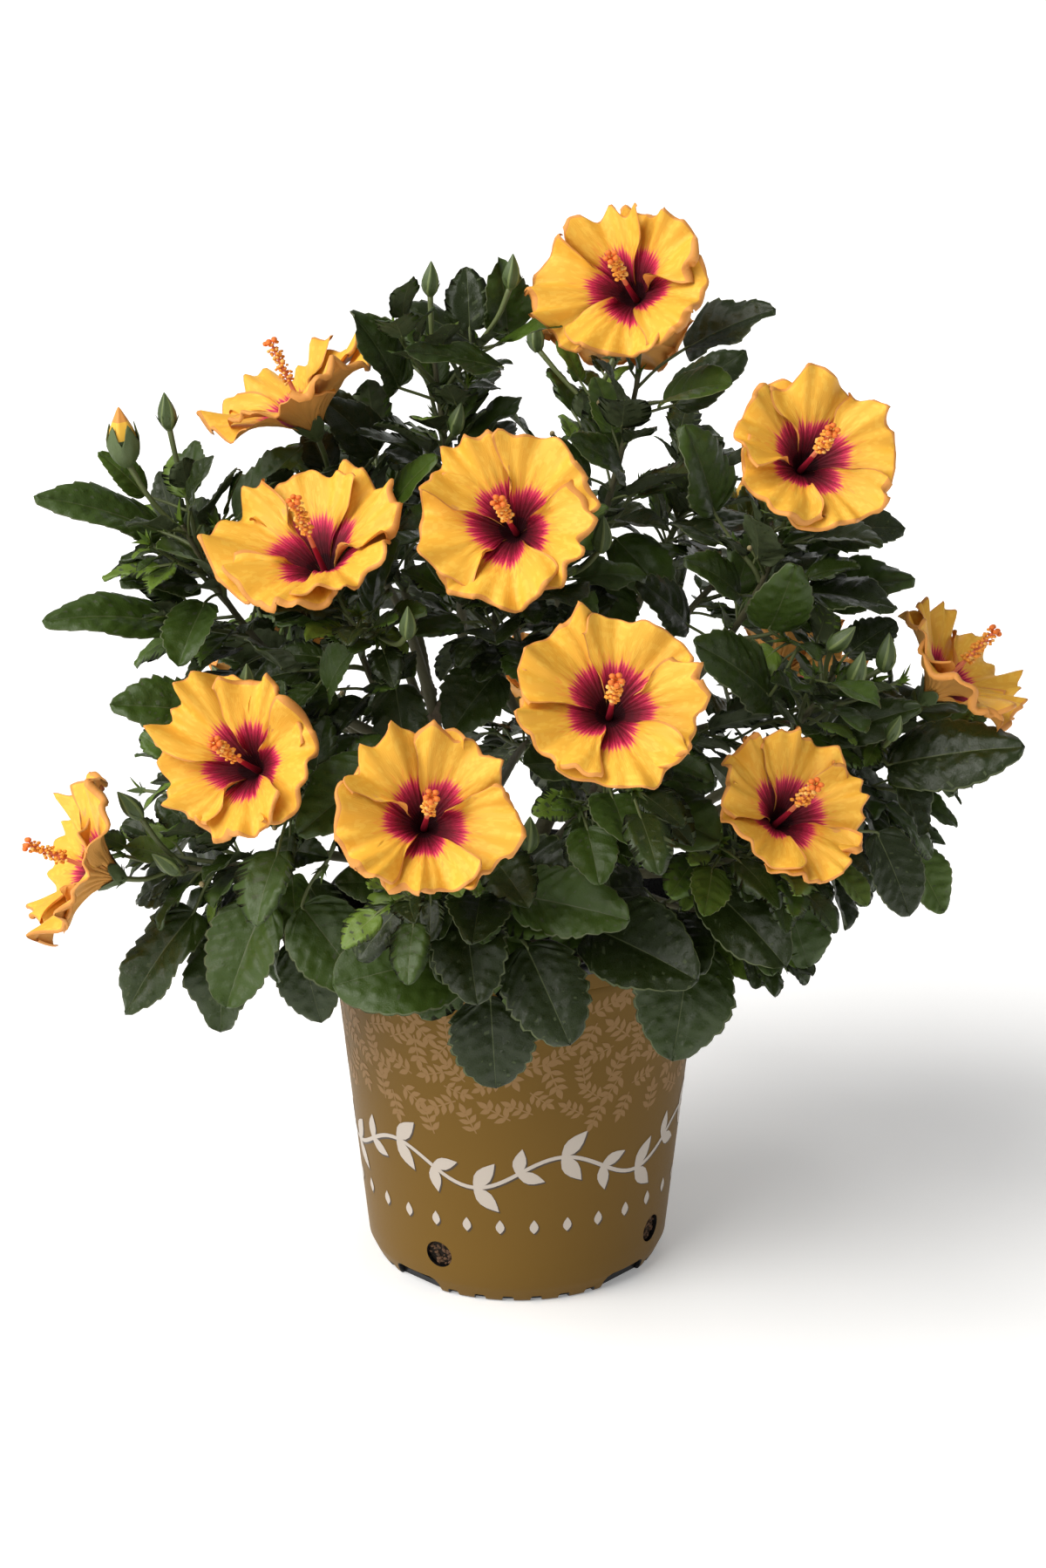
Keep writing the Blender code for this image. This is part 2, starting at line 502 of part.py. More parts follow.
class Plant:
    """Grows every organ of the shrub from the tables above."""

    def __init__(self):
        self.random = random.Random(SEED)
        self.space = Space()
        self.boughs = {}
        self.stubs = {}
        self.shoots = []
        self.leaves = []
        self.flowers = []
        self.buds = []
        self.skipped = []

    def grow(self):
        self.grow_boughs()
        self.grow_main_shoots()
        self.space.add(pot_guard(), "pot")
        for bloom in BLOOMS:
            self.grow_bloom(bloom)
        for bud in BUDS:
            self.grow_bud(bud)
        for row in SHOW_LEAVES:
            self.grow_show_leaf(row)
        self.keep_views_open()
        self.grow_side_shoots()
        self.grow_rule_leaves()
        return self

    # ---- limbs ----
    def grow_boughs(self):
        trunk_way = (TRUNK_TIP - TRUNK_FOOT).normalized()
        trunk = bend(TRUNK_FOOT, UP, TRUNK_TIP, trunk_way, len(TRUNK_RADII) - 3, lead=TRUNK_LEAD)
        self.boughs["trunk"] = (trunk, list(TRUNK_RADII))
        self.stubs["trunk"] = []
        for limb in LIMBS:
            self.grow_bough(limb)
        for name, (path, radii) in self.boughs.items():
            guard = [radius + GUARD for radius in radii]
            self.space.add(tube(path, guard, LIMB_SIDES), "bough_" + name)

    def grow_bough(self, limb):
        carrier = self.boughs[limb.parent][0]
        root, carrier_way = place_on(carrier, limb.along)
        start = point(limb.start)
        tip = point(limb.tip)
        lead_out = (tip - start).normalized()
        aim = (start - root).normalized()
        away = (aim - carrier_way * aim.dot(carrier_way)).normalized()
        way = (aim + away * FORK_SPREAD).normalized()
        end_way = (lead_out + aim * 0.6).normalized()
        carrier_radius = self.radius_at(limb)
        clearance = carrier_radius + limb.radius + STUB_CLEARANCE
        stub_end = root + way * (clearance / way.cross(carrier_way).length)
        self.stubs[limb.parent].append((root, stub_end, limb.radius))
        path = bend(stub_end + way * GAP, way, start, end_way, 3, lead=0.006)
        self.boughs[limb.mass] = (path, taper(path, limb.radius, BOUGH_TIP_RADIUS))
        self.stubs[limb.mass] = []
        self.boughs[limb.mass][0][-1] = start

    def radius_at(self, limb):
        """The carrier's radius where the limb leaves it."""
        path, radii = self.boughs[limb.parent]
        along = lengths_along(path)
        target = limb.along * along[-1]
        index = max(step for step, here in enumerate(along[:-1]) if here <= target)
        share = (target - along[index]) / (along[index + 1] - along[index])
        return radii[index] + (radii[index + 1] - radii[index]) * share

    def grow_main_shoots(self):
        for limb in LIMBS:
            path, _ = self.boughs[limb.mass]
            way = (path[-1] - path[-2]).normalized()
            start = point(limb.start) + way * GAP
            tip = point(limb.tip)
            end_way = ((tip - start).normalized() + UP * SHOOT_RISE).normalized()
            shoot = bend(start, way, tip, end_way, 4, lead=0.004)
            radii = taper(shoot, BOUGH_TIP_RADIUS, SHOOT_TIP_RADIUS)
            self.add_shoot(limb.mass, shoot, radii, skip_own=True)

    def add_shoot(self, mass, path, radii, skip_own=False):
        shoot = Shoot(mass, path, radii, len(self.shoots))
        self.shoots.append(shoot)
        first = 0.1 if skip_own else 0.2
        points = [place_on(path, first + (1 - first) * step / 4)[0] for step in range(5)]
        self.space.add(tube(points, [max(radii) * 0.8 + GUARD] * 5, 5), self.key(shoot))
        return shoot

    def key(self, shoot):
        return "shoot_%d" % shoot.number

    # ---- stalks ----
    def root_for(self, mass, target, longest):
        """A root for a stalk to the target: on the nearest shoot, or on a new one towards it."""
        best = None
        for shoot in self.shoots:
            if shoot.mass != mass:
                continue
            for step in range(4, 21):
                place, way = place_on(shoot.path, step / 20)
                gap = (target - place).length
                if best is None or gap < best[0]:
                    best = (gap, shoot, place, way, step / 20)
        gap, shoot, place, way, share = best
        if gap > longest:
            start, way = place_on(shoot.path, max(0.2, share - 0.25))
            aim = (target - start).normalized()
            end = start + aim * max(0.03, (target - start).length - longest * 0.75)
            path = bend(start, (aim + way * 0.8).normalized(), end, aim, 3)
            guard = tube(path[1:], [REACH_SHOOT_RADII[0] + GUARD] * 3, 4)
            if self.space.clear(guard, {self.key(shoot)}):
                shoot = self.add_shoot(mass, path, taper(path, *REACH_SHOOT_RADII))
                return shoot, place_on(path, 0.93)
            return shoot, place_on(shoot.path, share)
        back = max(0.05, share - min(0.35, 0.012 / lengths_along(shoot.path)[-1]))
        return shoot, place_on(shoot.path, back)

    def grow_bloom(self, bloom):
        axis = heading(bloom.azimuth, bloom.elevation)
        base = point(bloom.centre) - axis * BLOOM_DEPTH
        shoot, (root, way) = self.root_for(bloom.mass, base, LONGEST_PEDUNCLE)
        aim = (base - root).normalized()
        stalk = bend(root, (way + aim).normalized(), base + axis * 0.001, axis, 3)
        turn = self.random.uniform(0, math.pi)
        guards = bloom_guards(base, axis, bloom.diameter, turn)
        stem = stalk_guard(stalk, PEDUNCLE_RADIUS)
        for guard in guards:
            if not self.space.clear(guard, {self.key(shoot)}):
                self.skipped.append(("bloom touches", bloom.mass))
        if stem and not self.space.clear(stem, {self.key(shoot)}):
            self.skipped.append(("peduncle touches", bloom.mass))
        for guard in guards + ([stem] if stem else []):
            self.space.add(guard)
        self.flowers.append(Flower(bloom.mass, stalk, base, axis, bloom.diameter, turn))

    def grow_bud(self, bud):
        axis = heading(bud.azimuth, bud.elevation)
        base = point(bud.foot)
        shoot, (root, way) = self.root_for(bud.mass, base, LONGEST_PEDUNCLE)
        aim = (base - root).normalized()
        stalk = bend(root, (way + aim).normalized(), base + axis * 0.003, axis, 2)
        body = spindle(base - axis * GUARD, axis, bud.length * 1.1)
        stem = stalk_guard(stalk, PEDUNCLE_RADIUS)
        own = {self.key(shoot)}
        if not self.space.clear(body, own) or (stem and not self.space.clear(stem, own)):
            self.skipped.append(("bud", bud.mass, bud.foot))
            return
        self.space.add(body)
        if stem:
            self.space.add(stem)
        self.buds.append(ClosedBud(bud.mass, stalk, base, axis, bud.length, bud.opening))

    # ---- leaves ----
    def grow_show_leaf(self, row):
        foot = point(row.foot)
        tip = point(row.tip)
        shoot, (root, way) = self.root_for(row.mass, foot, LONGEST_PETIOLE)
        outward = (foot - CROWN_CENTRE).normalized()
        look = ((EYE - foot).normalized() * 0.7 + UP * 0.8 + outward * 0.5).normalized()
        for attempt in range(TRIES):
            shift = Vector([self.random.uniform(-1, 1) for _ in range(3)]) * 0.004 * attempt
            along = tip + shift - foot
            shrink = 1.0 - 0.05 * attempt
            if self.try_leaf(row.mass, shoot, root, way, foot + shift * 0.5, along.normalized(), look,
                             along.length * shrink, row.width * CENTIMETRE * shrink):
                return
        self.skipped.append(("show leaf", row.mass, row.foot))

    def try_leaf(self, mass, shoot, root, way, foot, along, look, length, width):
        face = (look - along * look.dot(along)).normalized()
        arch = self.random.uniform(*LEAF_ARCH)
        fold = self.random.uniform(*LEAF_FOLD)
        aim = (foot - root).normalized()
        stalk = bend(root, (aim + way * 0.5).normalized(), foot, (aim + along).normalized(), 2)
        leaf = Leaf(mass, stalk, foot, along, face, length, width, arch, fold)
        own = {self.key(shoot)}
        stem = stalk_guard(stalk, PETIOLE_RADIUS)
        if stem and not self.space.clear(stem, own):
            return False
        blade = leaf_guard(leaf)
        if not self.space.clear(blade, ()):
            return False
        if stem:
            self.space.add(stem)
        self.space.add(blade)
        self.leaves.append(leaf)
        return True

    def keep_views_open(self):
        """Blocks the see-through gaps and the air before each front bloom."""
        for x, z, radius in SKY_GAPS:
            middle = Vector((x, 0.0, z)) * CENTIMETRE
            way = (middle - EYE).normalized()
            path = [middle - way * GAP_DEPTH, middle + way * GAP_DEPTH]
            self.space.add(tube(path, [radius * CENTIMETRE] * 2, 8), "view")
        for flower in self.flowers:
            centre = flower.base + flower.axis * BLOOM_DEPTH
            half = flower.diameter / 2
            path = [centre + flower.axis * 0.006, centre + flower.axis * 0.05]
            self.space.add(tube(path, [half * 0.9, half * 0.5], 8), "view")
            if centre.y < FRONT_LIMIT:
                way = (EYE - centre).normalized()
                path = [centre + way * 0.01, centre + way * 0.26]
                self.space.add(tube(path, [half * 0.86] * 2, 10), "view")

    def in_crown(self, place):
        offset = place - CROWN_CENTRE
        share = sum((offset[axis] / CROWN_REACH[axis]) ** 2 for axis in range(3))
        return share < 1.0 and place.z > LOWEST_LEAF

    def in_own_space(self, mass, place):
        own = self.nearest(mass, place)
        for limb in LIMBS:
            if limb.mass != mass and self.nearest(limb.mass, place) < own - SPACE_MARGIN:
                return False
        return True

    def nearest(self, mass, place):
        """Distance from a place to a mass's main shoot."""
        index = [limb.mass for limb in LIMBS].index(mass)
        path = self.shoots[index].path
        return min((place - spot).length for spot in path)

    def grow_side_shoots(self):
        """One side shoot on each mass's main shoot."""
        for shoot in self.shoots[:len(LIMBS)]:
            share = self.random.uniform(0.18, 0.51)
            for _ in range(TRIES):
                if self.try_side_shoot(shoot, share, self.random.uniform(-0.9, 0.9)):
                    break

    def try_side_shoot(self, shoot, share, turn):
        root, way = place_on(shoot.path, share)
        side = across(way)
        out = side * math.cos(turn) + way.cross(side) * math.sin(turn)
        outward = (root - CROWN_CENTRE).normalized()
        first = (way * 0.7 + out * 0.8 + outward * 0.4).normalized()
        last = (first + UP * 0.5 + outward * 0.3).normalized()
        length = self.random.uniform(*SIDE_SHOOT_LENGTH)
        end = root + (first + last).normalized() * length
        if not self.in_crown(end) or not self.in_own_space(shoot.mass, end):
            return False
        path = bend(root, first, end, last, 2)
        free = [place_on(path, part)[0] for part in (0.2, 0.6, 1.0)]
        if not self.space.clear(tube(free, [SIDE_SHOOT_RADII[0] + GUARD] * 3, 4), {self.key(shoot)}):
            return False
        self.add_shoot(shoot.mass, path, taper(path, *SIDE_SHOOT_RADII))
        return True

    def grow_rule_leaves(self):
        for shoot in self.shoots:
            length = lengths_along(shoot.path)[-1]
            count = max(2, round(length / NODE_SPACING))
            start_turn = self.random.uniform(0, 2 * math.pi)
            for number in range(count):
                share = 0.12 + 0.88 * (number + 0.7) / count
                for attempt in range(TRIES):
                    if self.try_rule_leaf(shoot, min(share, 1.0), start_turn, number, attempt):
                        break

    def try_rule_leaf(self, shoot, share, start_turn, number, attempt):
        root, way = place_on(shoot.path, share)
        turn = start_turn + GOLDEN_TURN * number + self.random.uniform(-0.5, 0.5) * attempt
        side = across(way)
        out = side * math.cos(turn) + way.cross(side) * math.sin(turn)
        outward = (root - CROWN_CENTRE).normalized()
        size = LEAF_LENGTH[0] + (LEAF_LENGTH[1] - LEAF_LENGTH[0]) * share
        size *= self.random.uniform(*LEAF_SPREAD) * (1.0 - 0.06 * attempt)
        steep = 0.35 + 0.45 * share
        stalk_way = (way * steep + out + outward * 0.35).normalized()
        foot = root + stalk_way * size * self.random.uniform(*PETIOLE_SHARE)
        droop = self.random.uniform(*LEAF_DROOP) * (1.1 - share * 0.7)
        along = (stalk_way + outward * 0.25 - UP * droop).normalized()
        look = (UP * 1.0 + outward * 0.7 + way * 0.2).normalized()
        if abs(look.dot(along)) > 0.93:
            return False
        middle = foot + along * size * 0.5
        tip = foot + along * size
        if not self.in_crown(tip) or not self.in_own_space(shoot.mass, middle):
            return False
        width = size * self.random.uniform(*LEAF_WIDTH)
        return self.try_leaf(shoot.mass, shoot, root, way, foot, along, look, size, width)


# ---- materials ----
def material(name, colour, roughness, metallic=0.0):
    made = bpy.data.materials.new(name)
    made.use_nodes = True
    shader = made.node_tree.nodes["Principled BSDF"]
    shader.inputs["Base Color"].default_value = (*colour, 1.0)
    shader.inputs["Roughness"].default_value = roughness
    shader.inputs["Metallic"].default_value = metallic
    return made


# ---- building ----
def clear_scene():
    for thing in list(bpy.data.objects):
        bpy.data.objects.remove(thing, do_unlink=True)


def new_collection(name):
    made = bpy.data.collections.new(name)
    bpy.context.scene.collection.children.link(made)
    return made


def shape_object(name, shape, collection):
    verts, faces = shape
    mesh = bpy.data.meshes.new(name)
    mesh.from_pydata([tuple(vert) for vert in verts], [], [tuple(face) for face in faces])
    mesh.update()
    made = bpy.data.objects.new(name, mesh)
    collection.objects.link(made)
    return made


def turned(name, profile, steps, collection):
    """A solid of revolution from a profile that runs down its outer side."""
    mesh = bpy.data.meshes.new(name)
    edges = [(index, index + 1) for index in range(len(profile) - 1)]
    mesh.from_pydata([(radius, 0.0, height) for radius, height in profile], edges, [])
    made = bpy.data.objects.new(name, mesh)
    collection.objects.link(made)
    screw = made.modifiers.new("Turn", "SCREW")
    screw.axis = "Z"
    screw.steps = steps
    screw.render_steps = steps
    screw.use_merge_vertices = True
    screw.merge_threshold = 0.00005
    screw.use_smooth_shade = True
    return made


def wall_radius(height):
    """Outer radius of the tapering wall."""
    low = HEEL_HEIGHT
    high = POT_HEIGHT - LIP_HEIGHT - BAND_HEIGHT
    return WALL_FOOT_RADIUS + (WALL_TOP_RADIUS - WALL_FOOT_RADIUS) * (height - low) / (high - low)


def make_cutter(kind, cutters, place, turn, size):
    if kind == "drain":
        bpy.ops.mesh.primitive_cylinder_add(vertices=14, radius=size[0], depth=size[1])
    else:
        bpy.ops.mesh.primitive_cube_add(size=1.0)
    cutter = bpy.context.active_object
    for old in list(cutter.users_collection):
        old.objects.unlink(cutter)
    cutters.objects.link(cutter)
    if kind == "drain":
        cutter.rotation_euler = (math.pi / 2, 0.0, turn)
    else:
        cutter.scale = size
        cutter.rotation_euler = (0.0, 0.0, turn)
    cutter.location = place
    cutter.hide_render = True
    cutter.display_type = "WIRE"
    return cutter


def make_pot(parts, cutters, finish):
    band_top = POT_HEIGHT - LIP_HEIGHT
    band_foot = band_top - BAND_HEIGHT
    inner_foot = wall_radius(FLOOR + 0.006) - WALL
    profile = (
        (0.0, FLOOR), (BASE_RADIUS - 0.001, FLOOR), (inner_foot, FLOOR + 0.006),
        (wall_radius(band_foot) - WALL, band_foot), (BAND_RADIUS - WALL, band_foot + 0.002),
        (LIP_RADIUS - 0.0042, POT_HEIGHT - 0.0015), (LIP_RADIUS - 0.0032, POT_HEIGHT),
        (LIP_RADIUS - 0.0012, POT_HEIGHT), (LIP_RADIUS, POT_HEIGHT - 0.0014),
        (LIP_RADIUS, band_top + 0.001), (LIP_RADIUS - 0.0010, band_top), (BAND_RADIUS, band_top - 0.0006),
        (BAND_RADIUS, band_foot + 0.0012), (WALL_TOP_RADIUS, band_foot),
        (WALL_FOOT_RADIUS, HEEL_HEIGHT), (BASE_RADIUS, 0.0), (0.0, 0.0),
    )
    pot = turned("pot", profile, POT_STEPS, parts)
    for number in range(DRAIN_COUNT):
        turn = math.radians(DRAIN_TURN + 360.0 * number / DRAIN_COUNT)
        out = Vector((math.sin(turn), -math.cos(turn), 0.0))
        place = out * wall_radius(DRAIN_HEIGHT) + UP * DRAIN_HEIGHT
        make_cutter("drain", cutters, place, turn, (DRAIN_RADIUS, 0.016))
        turn = math.radians(NOTCH_TURN + 360.0 * number / DRAIN_COUNT)
        out = Vector((math.sin(turn), -math.cos(turn), 0.0))
        reach = NOTCH_DEPTH + 0.02
        place = out * (WALL_FOOT_RADIUS - NOTCH_DEPTH + reach / 2)
        place += UP * (NOTCH_HEIGHT / 2 - 0.004)
        make_cutter("notch", cutters, place, turn, (NOTCH_WIDTH, reach, NOTCH_HEIGHT + 0.008))
    cut = pot.modifiers.new("Drainage", "BOOLEAN")
    cut.operation = "DIFFERENCE"
    cut.operand_type = "COLLECTION"
    cut.collection = cutters
    cut.solver = "EXACT"
    pot.data.materials.append(finish)
    return pot


def make_soil(parts, finish):
    top_edge = SOIL_TOP - SOIL_EDGE_DROP
    foot = FLOOR + GAP
    profile = (
        (0.0, SOIL_TOP), (0.045, SOIL_TOP), (wall_radius(top_edge) - WALL - 0.0006, top_edge),
        (wall_radius(FLOOR + 0.006) - WALL - 0.0006, FLOOR + 0.0065), (BASE_RADIUS - 0.0016, foot),
        (0.0, foot),
    )
    soil = turned("potting_soil", profile, POT_STEPS, parts)
    soil.data.materials.append(finish)
    return soil


def limb_mesh(name, path, radii, sides, collection):
    """A tapering limb: a bevelled curve turned into a closed mesh."""
    curve = bpy.data.curves.new(name, "CURVE")
    curve.dimensions = "3D"
    curve.bevel_depth = 1.0
    curve.bevel_resolution = sides // 2 - 2
    curve.render_resolution_u = 0
    curve.use_fill_caps = True
    spline = curve.splines.new("POLY")
    spline.points.add(len(path) - 1)
    for spot, place, radius in zip(spline.points, path, radii):
        spot.co = (*place, 1.0)
        spot.radius = radius
    holder = bpy.data.objects.new(name + "_curve", curve)
    collection.objects.link(holder)
    bpy.context.view_layer.update()
    graph = bpy.context.evaluated_depsgraph_get()
    mesh = bpy.data.meshes.new_from_object(holder.evaluated_get(graph))
    weld(mesh)
    made = bpy.data.objects.new(name, mesh)
    made.matrix_world = holder.matrix_world
    collection.objects.link(made)
    bpy.data.objects.remove(holder, do_unlink=True)
    return made


def weld(mesh):
    edit = bmesh.new()
    edit.from_mesh(mesh)
    bmesh.ops.remove_doubles(edit, verts=edit.verts, dist=0.00001)
    edit.to_mesh(mesh)
    edit.free()


def islands(edit):
    """Groups of faces that hang together."""
    left = set(edit.faces)
    groups = []
    while left:
        seed = left.pop()
        group = {seed}
        edge = [seed]
        while edge:
            face = edge.pop()
            for line in face.edges:
                for other in line.link_faces:
                    if other in left:
                        left.discard(other)
                        group.add(other)
                        edge.append(other)
        groups.append(group)
    return groups


def drop_doubled_faces(edit):
    """Removes pairs of faces on the same corners, which lie back to back with nothing between."""
    corners = {}
    for face in edit.faces:
        corners.setdefault(frozenset(face.verts), []).append(face)
    doubled = [face for faces in corners.values() if len(faces) > 1 for face in faces]
    bmesh.ops.delete(edit, geom=doubled, context="FACES")


def tidy_solid(mesh):
    """Keeps the one main body: drops loose scraps and the skins of sealed hollows."""
    edit = bmesh.new()
    edit.from_mesh(mesh)
    bmesh.ops.triangulate(edit, faces=edit.faces)
    drop_doubled_faces(edit)
    bmesh.ops.remove_doubles(edit, verts=edit.verts, dist=MERGE)
    bmesh.ops.dissolve_degenerate(edit, edges=edit.edges, dist=MERGE)
    groups = islands(edit)
    groups.sort(key=len, reverse=True)
    for group in groups[1:]:
        bmesh.ops.delete(edit, geom=list(group), context="FACES")
    open_edges = [line for line in edit.edges if len(line.link_faces) != 2]
    edit.to_mesh(mesh)
    edit.free()
    return len(open_edges) == 0


def fuse(name, body, pieces):
    """One Boolean union of a body with a collection of pieces, applied. True if it closed."""
    for solver in SOLVERS:
        union = body.modifiers.new("Union", "BOOLEAN")
        union.operation = "UNION"
        union.operand_type = "COLLECTION"
        union.collection = pieces
        union.solver = solver
        bpy.context.view_layer.update()
        graph = bpy.context.evaluated_depsgraph_get()
        fused = bpy.data.meshes.new_from_object(body.evaluated_get(graph))
        body.modifiers.remove(union)
        closed = tidy_solid(fused)
        if closed:
            break
    body.data = fused
    for piece in list(pieces.objects):
        bpy.data.objects.remove(piece, do_unlink=True)
    bpy.data.collections.remove(pieces)
    body.name = name
    return closed


def make_limb(name, path, radii, sides, stubs, parts, finish):
    body = limb_mesh(name, path, radii, sides, parts)
    if stubs:
        pieces = new_collection(name + "_stubs")
        for number, (root, end, radius) in enumerate(stubs):
            limb_mesh("%s_stub_%d" % (name, number), [root, end], [radius * 1.04, radius], LIMB_SIDES, pieces)
        fuse(name, body, pieces)
    body.data.materials.append(finish)
    return body


def leaf_solid(leaf):
    """Petiole and blade in one closed loft: two triangles, a mid section and the tip."""
    thickness = max(0.0016, 0.03 * leaf.length)
    side, face = leaf_frame(leaf)
    verts = []
    for place, way, radius in ((leaf.stalk[0], leaf.stalk[1] - leaf.stalk[0], PETIOLE_RADIUS * ROOT_SHARE),
                               (leaf.foot, leaf.along, PETIOLE_RADIUS)):
        way = way.normalized()
        level = (side - way * side.dot(way)).normalized()
        below = way.cross(level)
        if below.dot(face) > 0:
            below = -below
        verts += [place - level * radius, place + level * radius, place + below * radius * 1.3]
    middle = 0.40
    verts += [leaf_point(leaf, middle, -1.0), leaf_point(leaf, middle, 1.0)]
    verts += [leaf_point(leaf, middle, 0.0) + face * thickness * 0.5]
    verts += [leaf_point(leaf, middle, 0.0) - face * thickness * 0.5, leaf_point(leaf, 1.0, 0.0)]
    left, right, ridge, keel, tip = range(6, 11)
    faces = [(0, 1, 2), (0, 3, 4, 1), (1, 4, 5, 2), (2, 5, 3, 0)]
    faces += [(3, left, ridge), (3, ridge, 4), (4, ridge, right), (left, tip, ridge), (ridge, tip, right)]
    faces += [(5, right, keel), (5, keel, left), (left, keel, tip), (keel, right, tip)]
    faces += [(3, 5, left), (4, right, 5)]
    return verts, faces


def make_mass(mass, plant, parts, finish):
    """One solid: main shoot, side shoots, leaves, buds and blooms of a mass."""
    name = "foliage_" + mass
    shoots = [shoot for shoot in plant.shoots if shoot.mass == mass]
    body = shape_object(name, tube(shoots[0].path, shoots[0].radii, 4), parts)
    pieces = new_collection(name + "_pieces")
    for shoot in shoots[1:]:
        shape_object("shoot", tube(shoot.path, sunk(shoot.radii), 3), pieces)
    for leaf in plant.leaves:
        if leaf.mass == mass:
            shape_object("leaf", leaf_solid(leaf), pieces)
    for bud in plant.buds:
        if bud.mass == mass:
            radii = sunk([PEDUNCLE_RADIUS] * len(bud.stalk))
            shape_object("stalk", tube(bud.stalk, radii, 3), pieces)
            shape_object("bud", spindle(bud.base, bud.axis, bud.length), pieces)
    for flower in plant.flowers:
        if flower.mass == mass:
            stalk = tube(flower.stalk, sunk(taper(flower.stalk, PEDUNCLE_RADIUS, 0.0022)), 3)
            shape_object("stalk", stalk, pieces)
            rings = bloom_rings(flower.diameter)
            shape_object("bloom", cup(flower.base, flower.axis, rings, 10, flower.turn, 0.0022), pieces)
            pistil = pistil_path(flower.base, flower.axis)
            shape_object("pistil", tube(pistil, [0.0024, 0.0020, 0.0045], 4), pieces)
    for piece in pieces.objects:
        face_out(piece.data)
    face_out(body.data)
    closed = fuse(name, body, pieces)
    body.data.materials.append(finish)
    return closed


def face_out(mesh):
    edit = bmesh.new()
    edit.from_mesh(mesh)
    bmesh.ops.recalc_face_normals(edit, faces=edit.faces)
    edit.to_mesh(mesh)
    edit.free()


def main():
    clear_scene()
    parts = new_collection("hibiscus_shrub")
    cutters = new_collection("cutters")
    plastic = material("pot_plastic", (0.36, 0.20, 0.055), 0.42)
    earth = material("potting_soil", (0.030, 0.022, 0.016), 0.95)
    bark = material("bark", (0.16, 0.13, 0.055), 0.75)
    leaves = material("foliage", (0.030, 0.075, 0.014), 0.45)
    make_pot(parts, cutters, plastic)
    make_soil(parts, earth)
    plant = Plant().grow()
    for name, (path, radii) in plant.boughs.items():
        sides = TRUNK_SIDES if name == "trunk" else LIMB_SIDES
        label = name if name == "trunk" else "bough_" + name
        make_limb(label, path, radii, sides, plant.stubs[name], parts, bark)
    for limb in LIMBS:
        make_mass(limb.mass, plant, parts, leaves)
    return plant


if __name__ == "__main__":
    main()
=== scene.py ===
"""The looks of a potted hibiscus shrub in bloom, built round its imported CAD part.

World frame: metres, +Z up, origin at the centre of the pot's underside, front towards -Y.
The growth rule below is the part's own, with the same seed and tables, carried on to finer twigs
and smaller leaves. Every bough, leaf, bud and bloom is then made in detail where the rule puts it.
"""
import json
import math
import random
from collections import namedtuple
from functools import cache, partial

import bmesh
import bpy
import numpy as np
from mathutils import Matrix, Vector
from mathutils.bvhtree import BVHTree

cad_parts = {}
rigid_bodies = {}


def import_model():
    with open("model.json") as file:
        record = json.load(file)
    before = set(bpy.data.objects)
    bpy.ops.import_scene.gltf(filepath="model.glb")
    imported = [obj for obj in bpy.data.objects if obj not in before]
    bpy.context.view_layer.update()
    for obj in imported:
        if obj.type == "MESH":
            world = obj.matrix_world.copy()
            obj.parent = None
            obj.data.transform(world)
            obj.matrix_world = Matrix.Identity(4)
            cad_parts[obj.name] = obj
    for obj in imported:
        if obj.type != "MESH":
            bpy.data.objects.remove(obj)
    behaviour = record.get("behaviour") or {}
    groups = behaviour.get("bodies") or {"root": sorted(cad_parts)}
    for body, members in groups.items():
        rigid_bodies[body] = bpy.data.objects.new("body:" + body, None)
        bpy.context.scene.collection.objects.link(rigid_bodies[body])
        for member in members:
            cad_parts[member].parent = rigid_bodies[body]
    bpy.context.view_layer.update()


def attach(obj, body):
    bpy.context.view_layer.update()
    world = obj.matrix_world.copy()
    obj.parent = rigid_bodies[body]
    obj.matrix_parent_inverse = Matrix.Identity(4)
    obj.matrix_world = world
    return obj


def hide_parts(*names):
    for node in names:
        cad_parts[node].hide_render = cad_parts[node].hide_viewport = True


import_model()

SEED = 23
GAP = 0.0003                 # clearance kept between neighbouring solids

# ---- pot and soil ----
POT_HEIGHT = 0.2765
LIP_RADIUS = 0.140
LIP_HEIGHT = 0.008
BAND_HEIGHT = 0.013          # plain band between the lip and the printed wall
BAND_RADIUS = 0.1380
WALL_TOP_RADIUS = 0.1362
WALL_FOOT_RADIUS = 0.111
HEEL_HEIGHT = 0.012
BASE_RADIUS = 0.104
WALL = 0.0026
FLOOR = 0.004
DRAIN_COUNT = 4
DRAIN_RADIUS = 0.0105
DRAIN_HEIGHT = 0.035
DRAIN_TURN = -30.0
NOTCH_WIDTH = 0.042
NOTCH_HEIGHT = 0.013
NOTCH_DEPTH = 0.012
NOTCH_TURN = -43.0
SOIL_TOP = 0.245
SOIL_EDGE_DROP = 0.003

# ---- trunk and boughs ----
TRUNK_FOOT = Vector((0.003, 0.004, SOIL_TOP + GAP))
TRUNK_TIP = Vector((0.0, -0.002, 0.306))
TRUNK_RADII = (0.0215, 0.0172, 0.0155, 0.0146, 0.0134, 0.0108, 0.0085)
TRUNK_LEAD = 0.005           # straight length at each end of the trunk, so its foot is cut level
LIMB_SIDES = 6
FORK_SPREAD = 0.45           # how strongly a limb first leans away from the one that carries it
STUB_CLEARANCE = 0.002       # how far the end of a fork's stub stands clear of both limbs
BOUGH_TIP_RADIUS = 0.0031
SHOOT_TIP_RADIUS = 0.0016
CENTIMETRE = 0.01

Limb = namedtuple("Limb", "mass parent along radius start tip")
